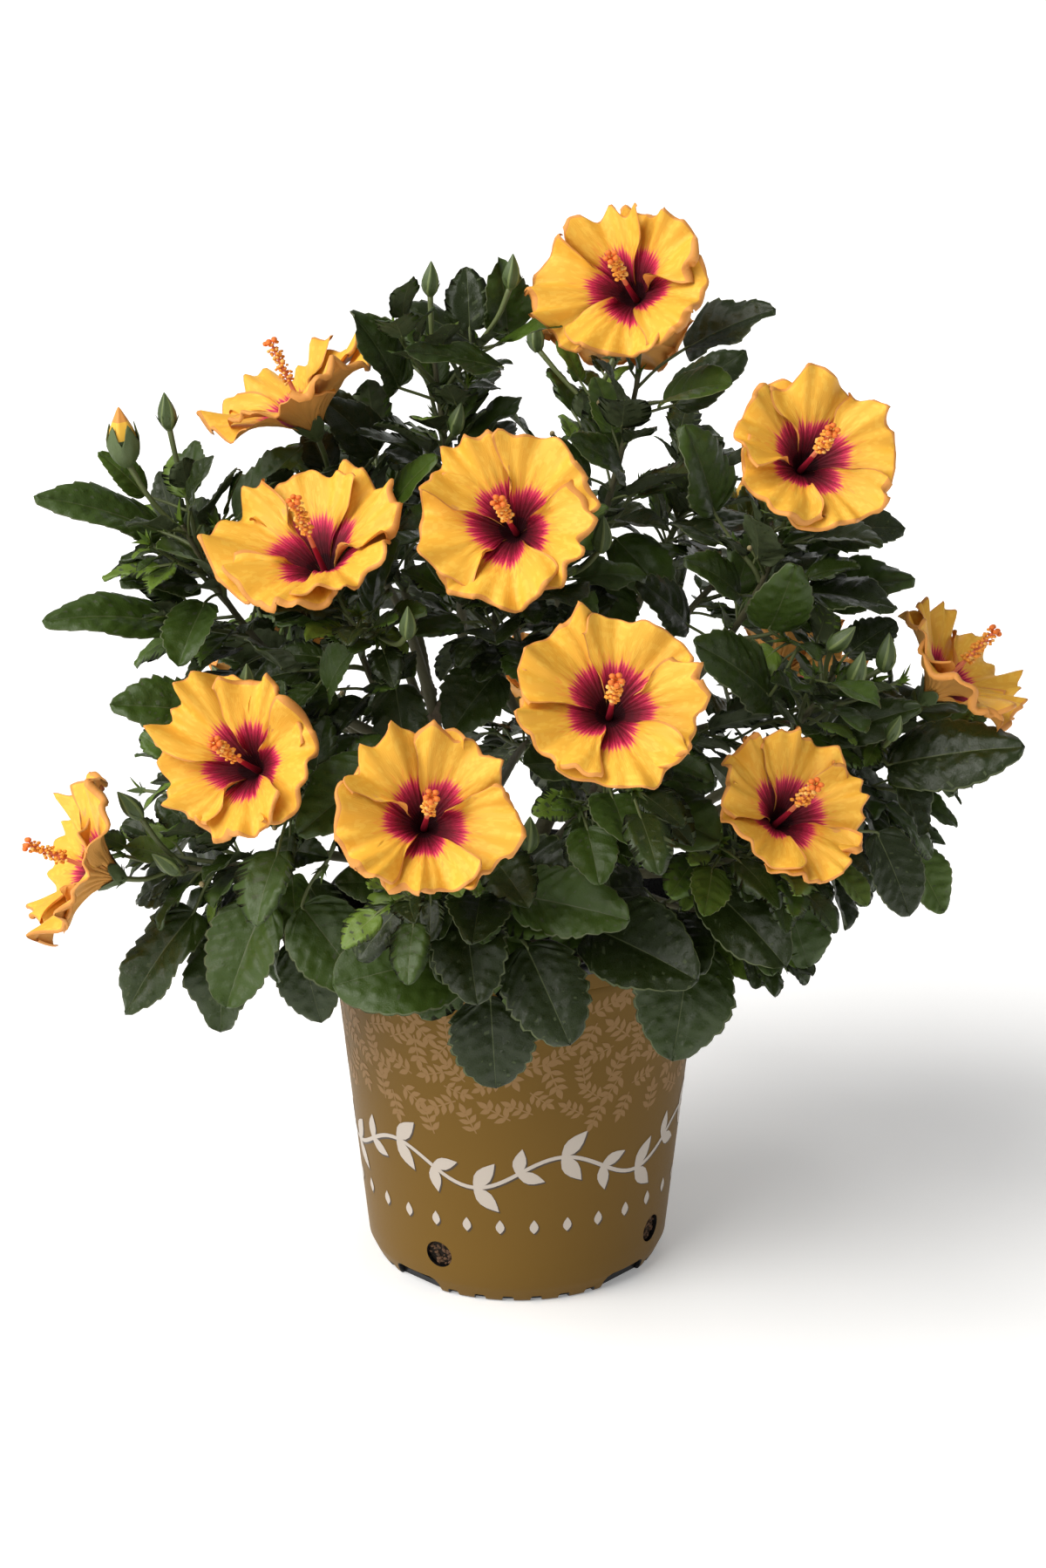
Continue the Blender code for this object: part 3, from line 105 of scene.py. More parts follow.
# Each bough ends at the start of its mass, and the main shoot runs on from there to the tip.
# Columns: mass, what carries the bough (a mass's bough or the trunk), how far along the carrier
# it leaves, its radius there, then the mass's start and tip in centimetres.
LIMBS = [Limb(*row) for row in (
    ("top", "trunk", 0.97, 0.0062, (5.0, -3.6, 53), (8.3, -4.6, 67.5)),
    ("upper_left", "trunk", 0.84, 0.0062, (-8.0, -3.0, 50), (-13.0, -4.0, 60)),
    ("far_right", "trunk", 0.66, 0.0060, (18.0, -4.0, 37.5), (27.0, -5.5, 43.0)),
    ("front_right", "trunk", 0.74, 0.0056, (5.0, -13.5, 39), (6.0, -22.0, 46.5)),
    ("front_low", "trunk", 0.52, 0.0056, (-3.0, -13.5, 34), (-5.0, -23.5, 39.0)),
    ("far_left_low", "trunk", 0.60, 0.0056, (-14.0, -8.5, 34), (-24.0, -11.0, 34.2)),
    ("back_left", "trunk", 0.72, 0.0058, (-9.5, 11.0, 35.5), (-16.5, 16.5, 36)),
    ("back_right", "trunk", 0.66, 0.0058, (9.5, 11.0, 35), (18.0, 16.0, 37)),
    ("upper_mid", "upper_left", 0.56, 0.0042, (-4.0, -4.5, 54), (-5.6, -5.0, 69)),
    ("far_left", "upper_left", 0.42, 0.0042, (-16.0, -7.0, 47), (-22.4, -10.5, 58.5)),
    ("left_mid", "upper_left", 0.24, 0.0040, (-9.0, -11.5, 46), (-11.3, -14.5, 54)),
    ("centre", "top", 0.40, 0.0040, (0.5, -9.0, 48), (-0.3, -14.5, 56)),
    ("upper_right", "top", 0.26, 0.0042, (13.5, -7.0, 48), (17.8, -10.5, 57.5)),
    ("right_mid", "far_right", 0.62, 0.0040, (17.5, -10.0, 42), (21.5, -12.0, 48.5)),
    ("right_low", "front_right", 0.42, 0.0040, (11.5, -14.0, 35), (15.5, -18.5, 38.5)),
    ("pot_right", "far_right", 0.26, 0.0040, (9.5, -10.5, 31.5), (13.5, -14.5, 32.5)),
    ("left_low", "front_low", 0.36, 0.0040, (-10.5, -13.5, 37.5), (-15.2, -18.5, 42)),
    ("right_back", "far_right", 0.42, 0.0040, (15.0, 5.0, 32), (25.5, 4.5, 33)),
    ("back_top", "top", 0.58, 0.0040, (3.0, 5.0, 52), (5.5, 8.5, 63)),
    ("back_mid", "top", 0.22, 0.0040, (-1.5, 8.0, 43), (-1.5, 14.5, 48)),
    ("back_low", "back_left", 0.34, 0.0040, (0.0, 15.5, 33), (1.5, 25.0, 32.5)),
    ("left_back", "back_left", 0.46, 0.0040, (-16.0, 5.5, 33), (-25.0, 6.0, 34)),
    ("back_up_right", "back_right", 0.60, 0.0040, (11.0, 8.0, 44.5), (17.5, 12.5, 51.5)),
    ("back_up_left", "back_left", 0.66, 0.0040, (-8.5, 8.0, 43), (-12.5, 13.0, 46.5)),
    ("inner_right", "top", 0.48, 0.0040, (9.0, 2.0, 50), (12.5, 3.0, 58)),
    ("inner_left", "upper_left", 0.66, 0.0040, (-7.5, 3.0, 48), (-10.5, 5.0, 56)),
    ("inner_low", "upper_left", 0.12, 0.0040, (-12.0, 1.5, 40), (-18.5, 2.0, 46)),
)]

# ---- open blooms: mass, centre of the rim in centimetres, diameter, azimuth, elevation ----
Bloom = namedtuple("Bloom", "mass centre diameter azimuth elevation")
BLOOMS = [Bloom(*row) for row in (
    ("top", (6.9, -8.0, 74.8), 0.114, -19, 33),
    ("upper_left", (-15.4, -6.0, 67.3), 0.122, -94, 64),
    ("left_mid", (-13.6, -18.0, 60.1), 0.124, -30, 57),
    ("centre", (-0.7, -20.0, 61.7), 0.116, -11, 30),
    ("upper_right", (19.8, -15.0, 64.9), 0.113, 16, 34),
    ("far_right", (31.0, -8.0, 48.2), 0.110, 80, 47),
    ("right_low", (18.4, -24.0, 43.6), 0.107, 25, 39),
    ("front_right", (6.1, -29.0, 52.5), 0.122, 3, 36),
    ("left_low", (-18.4, -24.0, 46.8), 0.113, -23, 31),
    ("front_low", (-5.5, -31.0, 45.6), 0.112, 7, 35),
    ("far_left_low", (-31.0, -14.0, 35.8), 0.120, -79, 23),
    ("back_top", (7.4, 12.0, 68.0), 0.110, 172, 34),
    ("back_up_right", (22.0, 16.0, 55.5), 0.112, 146, 40),
    ("back_up_left", (-15.5, 17.5, 50.5), 0.112, -150, 44),
    ("back_mid", (-1.0, 20.0, 51.5), 0.110, 178, 46),
    ("back_left", (-20.0, 21.0, 39.0), 0.110, -140, 34),
    ("back_right", (22.0, 20.5, 40.5), 0.112, 134, 36),
    ("back_low", (3.0, 29.5, 35.5), 0.108, 174, 34),
)]
BLOOM_DEPTH = 0.045          # from the calyx to the rim's plane
FRONT_LIMIT = 0.0            # blooms with a centre in front of this y keep a clear view forward

# ---- buds: mass, foot of the bud in centimetres, length, azimuth, elevation ----
Bud = namedtuple("Bud", "mass foot length azimuth elevation opening")
BUDS = [Bud(*row) for row in (
    ("far_left", (-25.9, -11.0, 62.7), 0.040, -90, 84, 1),
    ("far_left", (-23.2, -9.0, 64.6), 0.026, -90, 84, 0),
    ("upper_mid", (-5.8, -5.0, 72.8), 0.024, 90, 88, 0),
    ("upper_mid", (-0.4, -6.5, 73.6), 0.024, 90, 86, 0),
    ("upper_mid", (-4.2, -8.0, 64.0), 0.024, 60, 76, 0),
    ("left_mid", (-7.0, -21.0, 53.8), 0.023, 0, 84, 0),
    ("left_low", (-17.6, -19.5, 49.6), 0.022, 0, 80, 0),
    ("right_mid", (20.9, -13.5, 50.6), 0.026, 70, 46, 0),
    ("right_mid", (22.6, -14.0, 48.2), 0.027, 60, 76, 0),
    ("right_mid", (24.8, -12.0, 48.6), 0.028, 80, 84, 0),
    ("centre", (5.6, -13.5, 57.4), 0.027, 20, 84, 0),
    ("far_left_low", (-23.0, -14.6, 35.0), 0.024, -80, 40, 0),
    ("far_left_low", (-25.6, -13.0, 38.4), 0.026, -80, 52, 0),
    ("front_low", (0.8, -22.5, 39.6), 0.026, 20, 84, 0),
    ("far_right", (25.2, -14.0, 44.4), 0.022, 40, 66, 0),
    ("back_left", (-21.5, 13.5, 38.5), 0.026, -110, 52, 0),
    ("back_right", (16.0, 24.0, 38.0), 0.026, 170, 52, 0),
    ("back_up_right", (17.0, 18.5, 50.5), 0.036, 170, 68, 1),
    ("back_top", (1.5, 10.0, 65.5), 0.026, -150, 74, 0),
    ("back_mid", (-6.5, 18.5, 48.5), 0.026, -160, 56, 0),
)]

# ---- leaves that give the crown its outline and cover the pot's lip ----
# Columns: mass, foot and tip of the blade in centimetres, width of the blade in centimetres.
ShowLeaf = namedtuple("ShowLeaf", "mass foot tip width")
SHOW_LEAVES = [ShowLeaf(*row) for row in (
    ("far_left", (-23.9, -9, 57.5), (-32.0, -12, 61.0), 3.7),
    ("far_left", (-23.0, -8, 50.6), (-31.8, -12, 52.5), 3.9),
    ("far_left", (-22.5, -11, 59.9), (-21.6, -13, 65.5), 3.2),
    ("far_left", (-25.4, -8.6, 59.6), (-29.4, -9.6, 62.4), 2.4),
    ("far_left", (-20.8, -11, 55.4), (-24.0, -15, 58.6), 3.8),
    ("far_left", (-21.0, -11, 53.2), (-22.6, -15, 50.0), 3.6),
    ("far_left", (-21.6, -9, 53.8), (-26.6, -12, 55.0), 2.8),
    ("far_left", (-19.2, -6, 57.6), (-14.6, -5, 62.6), 3.2),
    ("upper_left", (-9.6, -2, 61.2), (-13.6, -1, 65.0), 3.6),
    ("upper_left", (-10.6, -1.0, 62.4), (-15.2, -0.4, 67.6), 3.2),
    ("upper_mid", (-8.0, -5.6, 66.6), (-11.4, -7.4, 72.4), 4.0),
    ("upper_mid", (-1.0, -6, 68.6), (-9.4, -9, 71.6), 3.2),
    ("upper_mid", (-2.0, -3, 69.0), (-8.0, -4, 73.2), 3.8),
    ("upper_mid", (-0.8, -3.4, 69.6), (-1.8, -5.4, 75.6), 3.8),
    ("upper_mid", (-8.4, -6, 58.8), (-5.4, -8, 62.6), 2.8),
    ("left_mid", (-15.6, -14, 49.4), (-17.2, -18, 52.6), 3.8),
    ("left_mid", (-12.6, -15.4, 48.4), (-10.8, -18.2, 52.2), 3.6),
    ("left_low", (-20.2, -15, 46.6), (-27.0, -17, 48.0), 4.2),
    ("top", (11.4, -4, 69.0), (17.4, -5, 72.0), 4.2),
    ("top", (9.9, -5, 65.6), (14.4, -8, 67.6), 4.0),
    ("top", (10.8, -2, 64.6), (15.8, 0, 68.0), 3.6),
    ("top", (7.2, -8, 61.4), (3.6, -11, 64.6), 3.6),
    ("upper_right", (13.4, -8, 58.6), (11.4, -9, 65.0), 4.2),
    ("upper_right", (20.4, -9, 57.4), (26.4, -8, 57.6), 3.8),
    ("right_mid", (20.4, -8, 52.6), (27.0, -9, 54.4), 4.2),
    ("right_mid", (17.0, -12, 51.6), (18.4, -15, 57.0), 4.2),
    ("upper_right", (15.0, -12, 54.0), (11.2, -15, 57.4), 3.2),
    ("right_mid", (17.0, -14, 47.6), (11.6, -18, 52.6), 5.0),
    ("far_right", (25.4, -11, 41.6), (34.4, -13, 43.8), 5.2),
    ("far_right", (21.4, -11, 43.6), (27.4, -13, 46.6), 3.4),
    ("right_low", (24.6, -13, 37.4), (27.0, -14, 31.6), 4.2),
    ("right_back", (27.8, -5, 33.2), (30.4, -6, 28.6), 3.6),
    ("right_low", (17.8, -15, 34.4), (20.0, -17, 29.0), 4.6),
    ("right_low", (12.6, -18.8, 36.0), (17.9, -23.0, 31.6), 5.0),
    ("pot_right", (15.6, -12.5, 31.6), (17.4, -14, 26.4), 3.8),
    ("pot_right", (11.8, -17, 31.0), (10.6, -20, 23.4), 6.6),
    ("pot_right", (5.2, -18.5, 32.6), (12.0, -23, 30.8), 6.4),
    ("front_low", (0.6, -21.0, 32.4), (3.6, -24, 26.4), 5.4),
    ("front_low", (-1.8, -18.5, 27.6), (-1.4, -20, 21.4), 5.6),
    ("front_low", (-0.2, -22.5, 36.6), (7.4, -26, 36.2), 4.6),
    ("front_low", (-3.6, -20.5, 31.4), (-12.2, -23, 30.4), 7.2),
    ("left_low", (-14.6, -16.0, 33.2), (-10.0, -19, 28.0), 5.4),
    ("left_low", (-8.4, -19.5, 44.6), (-14.4, -22, 40.6), 5.2),
    ("far_left_low", (-15.2, -10, 28.4), (-13.8, -11, 22.2), 4.6),
    ("far_left_low", (-17.2, -13.5, 32.6), (-20.0, -16, 25.6), 5.2),
    ("far_left_low", (-20.0, -10, 29.2), (-20.8, -12, 22.0), 5.0),
    ("far_left_low", (-22.4, -11, 30.8), (-27.4, -13, 23.8), 4.2),
    ("far_left_low", (-16.2, -14.5, 37.4), (-12.2, -17, 39.0), 3.0),
    ("top", (6.8, -5.2, 56.0), (10.6, -7.6, 51.8), 4.2),
    ("top", (5.8, -6.4, 53.8), (6.6, -9.8, 49.4), 4.0),
    ("upper_right", (11.8, -8.0, 50.6), (8.2, -10.0, 54.6), 3.6),
    ("left_mid", (-8.2, -12.5, 47.8), (-7.4, -14.5, 43.4), 3.6),
    ("centre", (-1.4, -10.5, 48.0), (-4.6, -13.0, 44.4), 4.4),
    ("upper_mid", (-3.0, -6.8, 59.6), (1.4, -8.4, 62.8), 3.8),
    ("top", (5.0, -5.8, 60.4), (0.8, -7.4, 62.6), 3.4),
)]

# ---- the growth rule ----
CROWN_CENTRE = Vector((0.01, 0.0, 0.46))
CROWN_REACH = Vector((0.335, 0.34, 0.315))
LOWEST_LEAF = 0.205
EYE = Vector((0.004, -2.4, 1.233))   # the see-through gaps all line up with this point in front
# see-through gaps, then the hollows of the outline: where each crosses the plane y = 0,
# in centimetres (x, z), and its radius
SKY_GAPS = (
    (-7.6, 64.9, 1.2), (8.4, 65.8, 0.9), (4.3, 59.4, 1.4), (9.0, 60.6, 1.2), (13.3, 51.5, 1.1),
    (-11.7, 44.8, 1.0), (-14.4, 30.3, 1.5), (-18.5, 32.1, 0.9), (0.1, 35.8, 0.8), (-6.4, 46.6, 0.6),
    (-17.8, 60.6, 1.1), (-19.9, 49.9, 0.8), (-21.0, 42.7, 0.7),
    (-32.5, 42.1, 3.9), (-29.3, 36.8, 2.4), (-32.7, 55.5, 1.8), (-31.5, 65.0, 4.2), (-21.2, 67.2, 3.2),
    (-15.7, 72.9, 3.0), (-9.7, 73.4, 1.6), (-34.1, 21.2, 4.5), (-28.2, 25.3, 1.5), (-25.4, 12.7, 3.9),
    (-17.0, 15.6, 1.4), (22.1, 66.8, 3.4), (16.1, 63.1, 1.3), (17.7, 75.0, 3.0), (31.6, 56.0, 3.6),
    (30.8, 52.0, 1.8), (34.5, 30.7, 3.0), (35.6, 20.5, 3.8), (25.0, 21.2, 2.6), (21.6, 17.0, 3.0),
)
GAP_DEPTH = 0.40             # how far a see-through gap is kept open on each side of the plane
BLOOM_AIR = (0.006, 0.05)    # free air along each bloom's axis, from its rim's plane
BLOOM_VIEW = (0.01, 0.26)    # and along the view of each front bloom
GOLDEN_TURN = math.radians(137.5)
TRIES = 9                    # tries at an organ, each a little smaller or turned, before it is skipped
GUARD = 0.0013               # clearance added round an organ when it is tested
AXIL = 0.007                 # a stalk isn't tested this close to the shoot that carries it
SPACE_MARGIN = 0.014         # how far a leaf may lean into the next mass's space
SHOOT_RISE = 0.35            # how strongly a main shoot turns up towards its tip
SIDE_SHOOT_LENGTH = (0.045, 0.075)
SIDE_SHOOT_RADII = (0.0020, 0.0013)
SIDE_SHOOT_PLACE = (0.18, 0.51)      # share of the main shoot
SIDE_SHOOT_TURN = 0.9
REACH_SHOOT_RADII = (0.0021, 0.0015)   # of a shoot that grows to carry an organ out of reach
NODE_SPACING = 0.030         # between leaves along a shoot
LEAF_LENGTH = (0.078, 0.046)  # at the foot and at the tip of a shoot
LEAF_SPREAD = (0.85, 1.12)   # how much leaves of one place differ in size
LEAF_WIDTH = (0.60, 0.76)    # share of the length
LEAF_ARCH = (0.10, 0.28)     # how far the blade bows down towards its tip
LEAF_FOLD = (0.10, 0.38)     # how far its two halves rise from the midrib
LEAF_DROOP = (0.15, 0.75)
LEAF_SHRINK = 0.06           # how much smaller a rule leaf is at each further try
STEEPEST_LEAF = 0.93         # a blade nearer than this to its own facing way is left out
PETIOLE_SHARE = (0.315, 0.504)
PETIOLE_RADIUS = 0.0011
PEDUNCLE_RADIUS = 0.0015
LONGEST_PETIOLE = 0.045
LONGEST_PEDUNCLE = 0.060

# ---- leads, stubs and old stalks ----
BOUGH_LEAD = 0.006           # straight length at each end of a bough
SHOOT_LEAD = 0.004
SHOW_LEAF_SHIFT = 0.004      # how far a leaf of the table moves at each further try
SHOW_LEAF_SHRINK = 0.05
OLD_STALK_PLACE = (0.35, 0.8)
OLD_STALK_LENGTH = (0.020, 0.034)
OLD_STALK_GUARD = 0.0018
OLD_STALK_RADII = (0.0013, 0.0010, 0.0011)
OLD_STALK_KNOB = 0.0021

# ---- finer growth ----
FINER_LOWEST = 0.262         # no finer leaf hangs lower than this
FINER_SHOOTS = 3             # further side shoots on each main shoot
FINER_SHOOT_TURN = 3.1
FINER_LEAVES = ((0.020, 0.86), (0.013, 0.70))   # spacing along a shoot, and size, of each later round
PIECE_TRIANGLES = 180000     # a joined piece is split before it has more
FULL_TURN = 6.28             # the range of a random phase, and the length of a blade's edge wave

# ---- blades ----
NEAR_TEETH = 7               # teeth along a main leaf's margin
INNER_TEETH = 5              # and along a finer leaf's
BLADE_FIRST_ROW = 0.012
BLADE_BASE = 0.15            # share of the length below the first tooth
BLADE_LAST_ROW = 0.974
BASE_ROWS = 4
TOOTH_ROWS = (0.32, 0.74, 1.0)       # places of a tooth's rows, as shares of its length
SHARP_BITE = (0.42, 1.0, 0.0)        # how far each row stands out: saw teeth, then round scallops
ROUND_BITE = (0.88, 1.0, 0.0)
TOOTH_LIFT = (1.0, 0.0, 0.85)        # how far each row is raised between the veins
TOOTH_DEPTH = (0.05, 0.13)           # share of the half width
TOOTH_UNEVEN = (0.6, 1.25)
TOOTH_LEAN = 0.020
VEIN_LAG = 0.33              # how far ahead of its root a side vein meets the margin
BASE_LOBE = (0.01, 0.08)
ROUND_LEAVES_BELOW = 0.50    # leaves that hang lower tend to be round, more so lower down
ROUND_LEAVES_FADE = 0.18
RIB_COLUMN = 0.05
RIB_REACH = RIB_COLUMN * 1.5
RIB_WIDTH = 0.010
RIB_DEPTH = 0.008
FINE_COLUMNS = (-1.0, -0.958, -0.76, -0.52, -0.27, -RIB_COLUMN, RIB_COLUMN, 0.27, 0.52, 0.76, 0.958, 1.0)
COARSE_COLUMNS = (-1.0, -0.55, -RIB_COLUMN, RIB_COLUMN, 0.55, 1.0)
QUILT = 0.017
LUMP = 0.009                 # uneven rise of the quilted fields
EDGE_WAVE = (0.015, 0.060)
WAVE_TURNS = (1.0, 2.2)
WAVE_SHIFT = (0.4, 2.2)      # how far the wave of one margin is out of step with the other's
EDGE_CURL = (-0.01, 0.060)
TIP_HOOK = (-0.01, 0.07)
LEAF_THICKNESS = 0.0055
LEAF_FINISHES = ("leaf_dark", "leaf_deep", "leaf_mid", "leaf_bright", "leaf_fresh", "leaf_rim",
                 "leaf_rim_fresh", "leaf_under", "leaf_under_rib")
FRESH_ABOVE = 0.88           # a leaf's youth above which it has each of the two light greens
BRIGHT_ABOVE = 0.70
DEEP_SHARE = 0.55            # how many of the dark leaves are a little less dark

# ---- stems and bark ----
STALK_SIDES = 7
PETIOLE_SIDES = 5
PEDUNCLE_END = 0.0021
SHOOT_RELIEF = 0.05
WOODY_SHOOT = 0.0026         # a shoot with a thicker foot has green bark
TRUNK_STEPS = 6
BOUGH_STEPS = 9
TRUNK_CORNERS = 22
BOUGH_CORNERS = 14
BARK_GRAIN = 0.022
SCAR_RISE = 0.08             # of the leaf scars, as a share of the radius
ROOT_FLARE = 0.16
GREEN_FROM = 0.35            # a bough's bark is green beyond this share of it
SEPAL_THICKNESS = 0.00045
SEPAL_BEND = 0.16            # how far a sepal bends back, as a share of its length
TUFT_COUNT = (5, 8)
TUFT_SPREAD = (0.15, 0.75)
TUFT_LENGTH = (0.007, 0.019)
TUFT_WIDTH = (0.16, 0.30)    # share of the length

# ---- petals ----
# from the calyx to the rim: share of the bloom's half width, share of its depth
PETAL_PROFILE = ((0.03, 0.0), (0.09, 0.15), (0.16, 0.32), (0.28, 0.50), (0.46, 0.69), (0.68, 0.85),
                 (0.86, 0.95), (1.0, 1.0))
PETAL_COUNT = 5
LEFT_HANDED_FROM = 1.9       # turn of a bloom from which its petals overlap the other way
MEAN_HALF_BLOOM = 0.056      # the half width that a petal's length is measured on
FUNNEL_HALF_BLOOM = 0.057    # the half width that a calyx is fitted round
PETAL_COLUMNS = 45
PETAL_ROWS = (0.0, 0.08, 0.15, 0.20, 0.25, 0.30, 0.34, 0.375, 0.405, 0.43, 0.455, 0.48, 0.505, 0.53,
              0.56, 0.60, 0.65, 0.70, 0.75, 0.80, 0.85, 0.89, 0.925, 0.955)
# finish of the faces that start below each share of the petal's length
PETAL_ZONES = ((0.20, "petal_black"), (0.30, "petal_maroon"), (0.38, "petal_wine"), (0.44, "petal_crimson"),
               (0.485, "petal_magenta"), (0.51, "petal_pink"), (0.53, "petal_apricot"))
ROLL_ROWS = (0.28, 0.58, 0.84, 1.0)
ROLL_TURN = math.radians(225.0)
ROLL_RADIUS = (0.0009, 0.0023)
PETAL_SPREAD = ((0.0, 0.3, 0.7, 1.0), (39.0, 43.0, 53.0, 50.0))   # half angle at shares of its length
PETAL_GROWTH = 1.09          # a petal's reach, over half the bloom's diameter
PETAL_LENGTHS = (0.93, 1.05)         # how unequal the petals are
PETAL_TILT = 0.0046          # how far one edge lies over the next petal and the other under
OVERLAP_LIFT = 0.0012
PETAL_THICKNESS = 0.0006
RUFFLE = (0.0060, 0.0115)
RUFFLE_WAVES = (1.5, 2.4)
EDGE_RUFFLE = (0.0022, 0.0044)
HOOKS = (0.0, 0.003, 0.0055, 0.0085)     # how far the over edge folds in near the middle
HOOK_PLACE = (0.40, 0.56)
HOOK_SWING = 26.0
SCALLOP = (0.05, 0.18)       # how far the rolled stretches of the margin stand back
POINT_ROUNDNESS = 0.02       # how blunt the points between those stretches are
PLEAT = 0.0005
CRINKLE = (0.0008, 0.0022)   # fine waves along the margin
CRINKLE_WAVES = (6.0, 9.0)
EYE_FEATHER = 0.030          # how far the streaks of the dark eye run out
FEATHER_LENGTH = (0.3, 1.4)
BLOOM_FINISHES = ("petal_black", "petal_maroon", "petal_wine", "petal_crimson", "petal_magenta",
                  "petal_pink", "petal_apricot", "petal_amber", "petal_gold", "petal_light", "petal_rim",
                  "petal_back", "column_red", "column_pink", "anther", "anther_pale", "stigma")
BLOOMS_A_PIECE = 9

# ---- pistils, calyxes and buds ----
COLUMN_SPOTS = ((0.0, 0.0), (0.022, 0.0), (0.046, 0.001), (0.068, 0.0028))   # out along the axis, then up
COLUMN_RADII = (0.0024, 0.0018, 0.0014, 0.0010)
COLUMN_SIDES = 9
COLUMN_RED_SHARE = 0.42
ANTHERS = 60
ANTHER_SIZE = (0.0012, 0.0019)
FILAMENT_LENGTH = (0.0022, 0.0052)
FILAMENT_RADII = (0.0003, 0.00024)
STIGMA_COUNT = 5
STIGMA_RADIUS = 0.0022
STIGMA_ARM_RADIUS = 0.0005
SEPAL_COUNT = 5
EPICALYX_COUNT = 7
CALYX_HEIGHT = 0.017
CALYX_FOOT_RADIUS = 0.0026
CALYX_FLARE = 0.0016
CALYX_LAYERS = (0.0010, 0.0004)      # the outer and the inner side's clearance round the petals
CALYX_ROWS = 9
CALYX_COLUMNS = 30
# from a bud's foot to its tip: share of its length, radius as a share of its length
BUD_PROFILE = ((0.0, 0.09), (0.06, 0.16), (0.16, 0.235), (0.30, 0.27), (0.46, 0.262), (0.62, 0.215),
               (0.76, 0.15), (0.88, 0.085), (0.96, 0.04), (1.0, 0.012))
BUD_WIDTH = 0.86
BUD_COLUMNS = 20
BUD_PETALS_FROM = 4          # row from which an opening bud shows its petals
BUD_RIM_FROM = 6

# ---- the pot's mesh, its cuts and its print ----
POT_SIDES = 168
LIP_ROLL = (0.0034, 0.0036)  # half width and half height of the rolled lip
CREASE_ANGLE = 38.0
DRAIN_REACH = 0.008
DRAIN_SIDES = 28
NOTCH_REACH = 0.035
SCALLOP_STEPS = (17.0, 28.2, 39.4, 50.6, 61.8, 73.0)
SCALLOP_WIDTH = 0.0084
SCALLOP_HEIGHT = 0.0050
SCALLOP_DEPTH = 0.004
PRINT_RADIUS = 0.124
GIRTH = 2 * math.pi * PRINT_RADIUS
PRINT_LIFT = 0.00012
LIFT_STEP = 0.000012         # sprigs that may cross lie at slightly different heights
PRINT_LEAF = ((0.0, 0.02), (0.12, 0.45), (0.30, 0.90), (0.48, 1.0), (0.68, 0.78), (0.86, 0.38), (1.0, 0.02))
SPRIG_TRIES = 9000
SPRIG_TOP = 0.246
SPRIG_FOOT = 0.152
SPRIG_SPACING = 0.0158
SPRIG_SIZE = (0.021, 0.027)
SPRIG_PAIRS = 3
SPRIG_SPREAD = 0.95
VINE_HEIGHT = 0.110
VINE_SWING = 0.0125
VINE_WAVES = 6
VINE_STEPS = 28              # steps of the line in each wave
VINE_LEAF_STEPS = 7          # steps from one pair of leaves to the next
VINE_STEM = 0.0030
VINE_LEAF = (0.0215, 0.0265)
VINE_SHADE_SHIFT = (0.0010, -0.0012)
DOTS_A_WAVE = 5
DOT_HEIGHT = 0.066
DOT_SIZE = (0.0115, 0.0068)

# ---- the soil's mesh ----
SOIL_ROWS = 42
SOIL_COLUMNS = 128
SOIL_SINK = 0.0012           # of the surface's mean below the solid's
SOIL_WAVES = (20, 160)
SOIL_SWELL = 0.00032
SOIL_GRAIN = 0.00055
SOIL_BITS = 700
CHIP_SHARE = 0.78
CHIP_SIZE = (0.0022, 0.0058)
GRAIN_SIZE = (0.0007, 0.0016)
DRAIN_CRUMBS = 70
CRUMB_SIZE = (0.0010, 0.0026)

# ---- stage ----
FLOOR_RINGS = (0.002, 0.6, 1.5, 3.0, 7.0, 16.0)
FLOOR_DROP = -0.0002
FLOOR_SIDES = 96
WORLD_LIGHT = 0.28
SUN_PLACE = (-1.95, -1.25, 2.05)
SUN_POWER = 3.9
SUN_SIZE = 55.0
SUN_COLOUR = (1.0, 0.985, 0.955)
LAMP_SIZE = 1.6
LAMP_TARGET = (0.0, 0.0, 0.42)
FILL_PLACE = (1.7, -1.9, 1.0)
FILL_POWER = 0.4
FILL_COLOUR = (0.97, 0.985, 1.0)
BACK_PLACE = (0.4, 2.4, 1.5)
BACK_POWER = 8.0
SENSOR_WIDTH = 36.0
LENS = 81.5
CAMERA_PLACE = (0.0043, -2.4, 1.233)
CAMERA_DIP = 19.95


# ---- finishes ----
def leaf_look(colour, roughness=0.33, specular=0.37):
    return dict(colour=colour, roughness=roughness, grain=900.0, depth=0.0003, spread=0.10,
                specular=specular, swell=(135.0, 0.0017))


def petal_look(colour, roughness=0.55):
    return dict(colour=colour, roughness=roughness, grain=6.0, depth=0.00035, specular=0.35,
                stretch=(26.0, 1.6, 1.0), coordinates="UV")


def plain_look(colour, roughness, grain, depth, **more):
    return dict(colour=colour, roughness=roughness, grain=grain, depth=depth, **more)


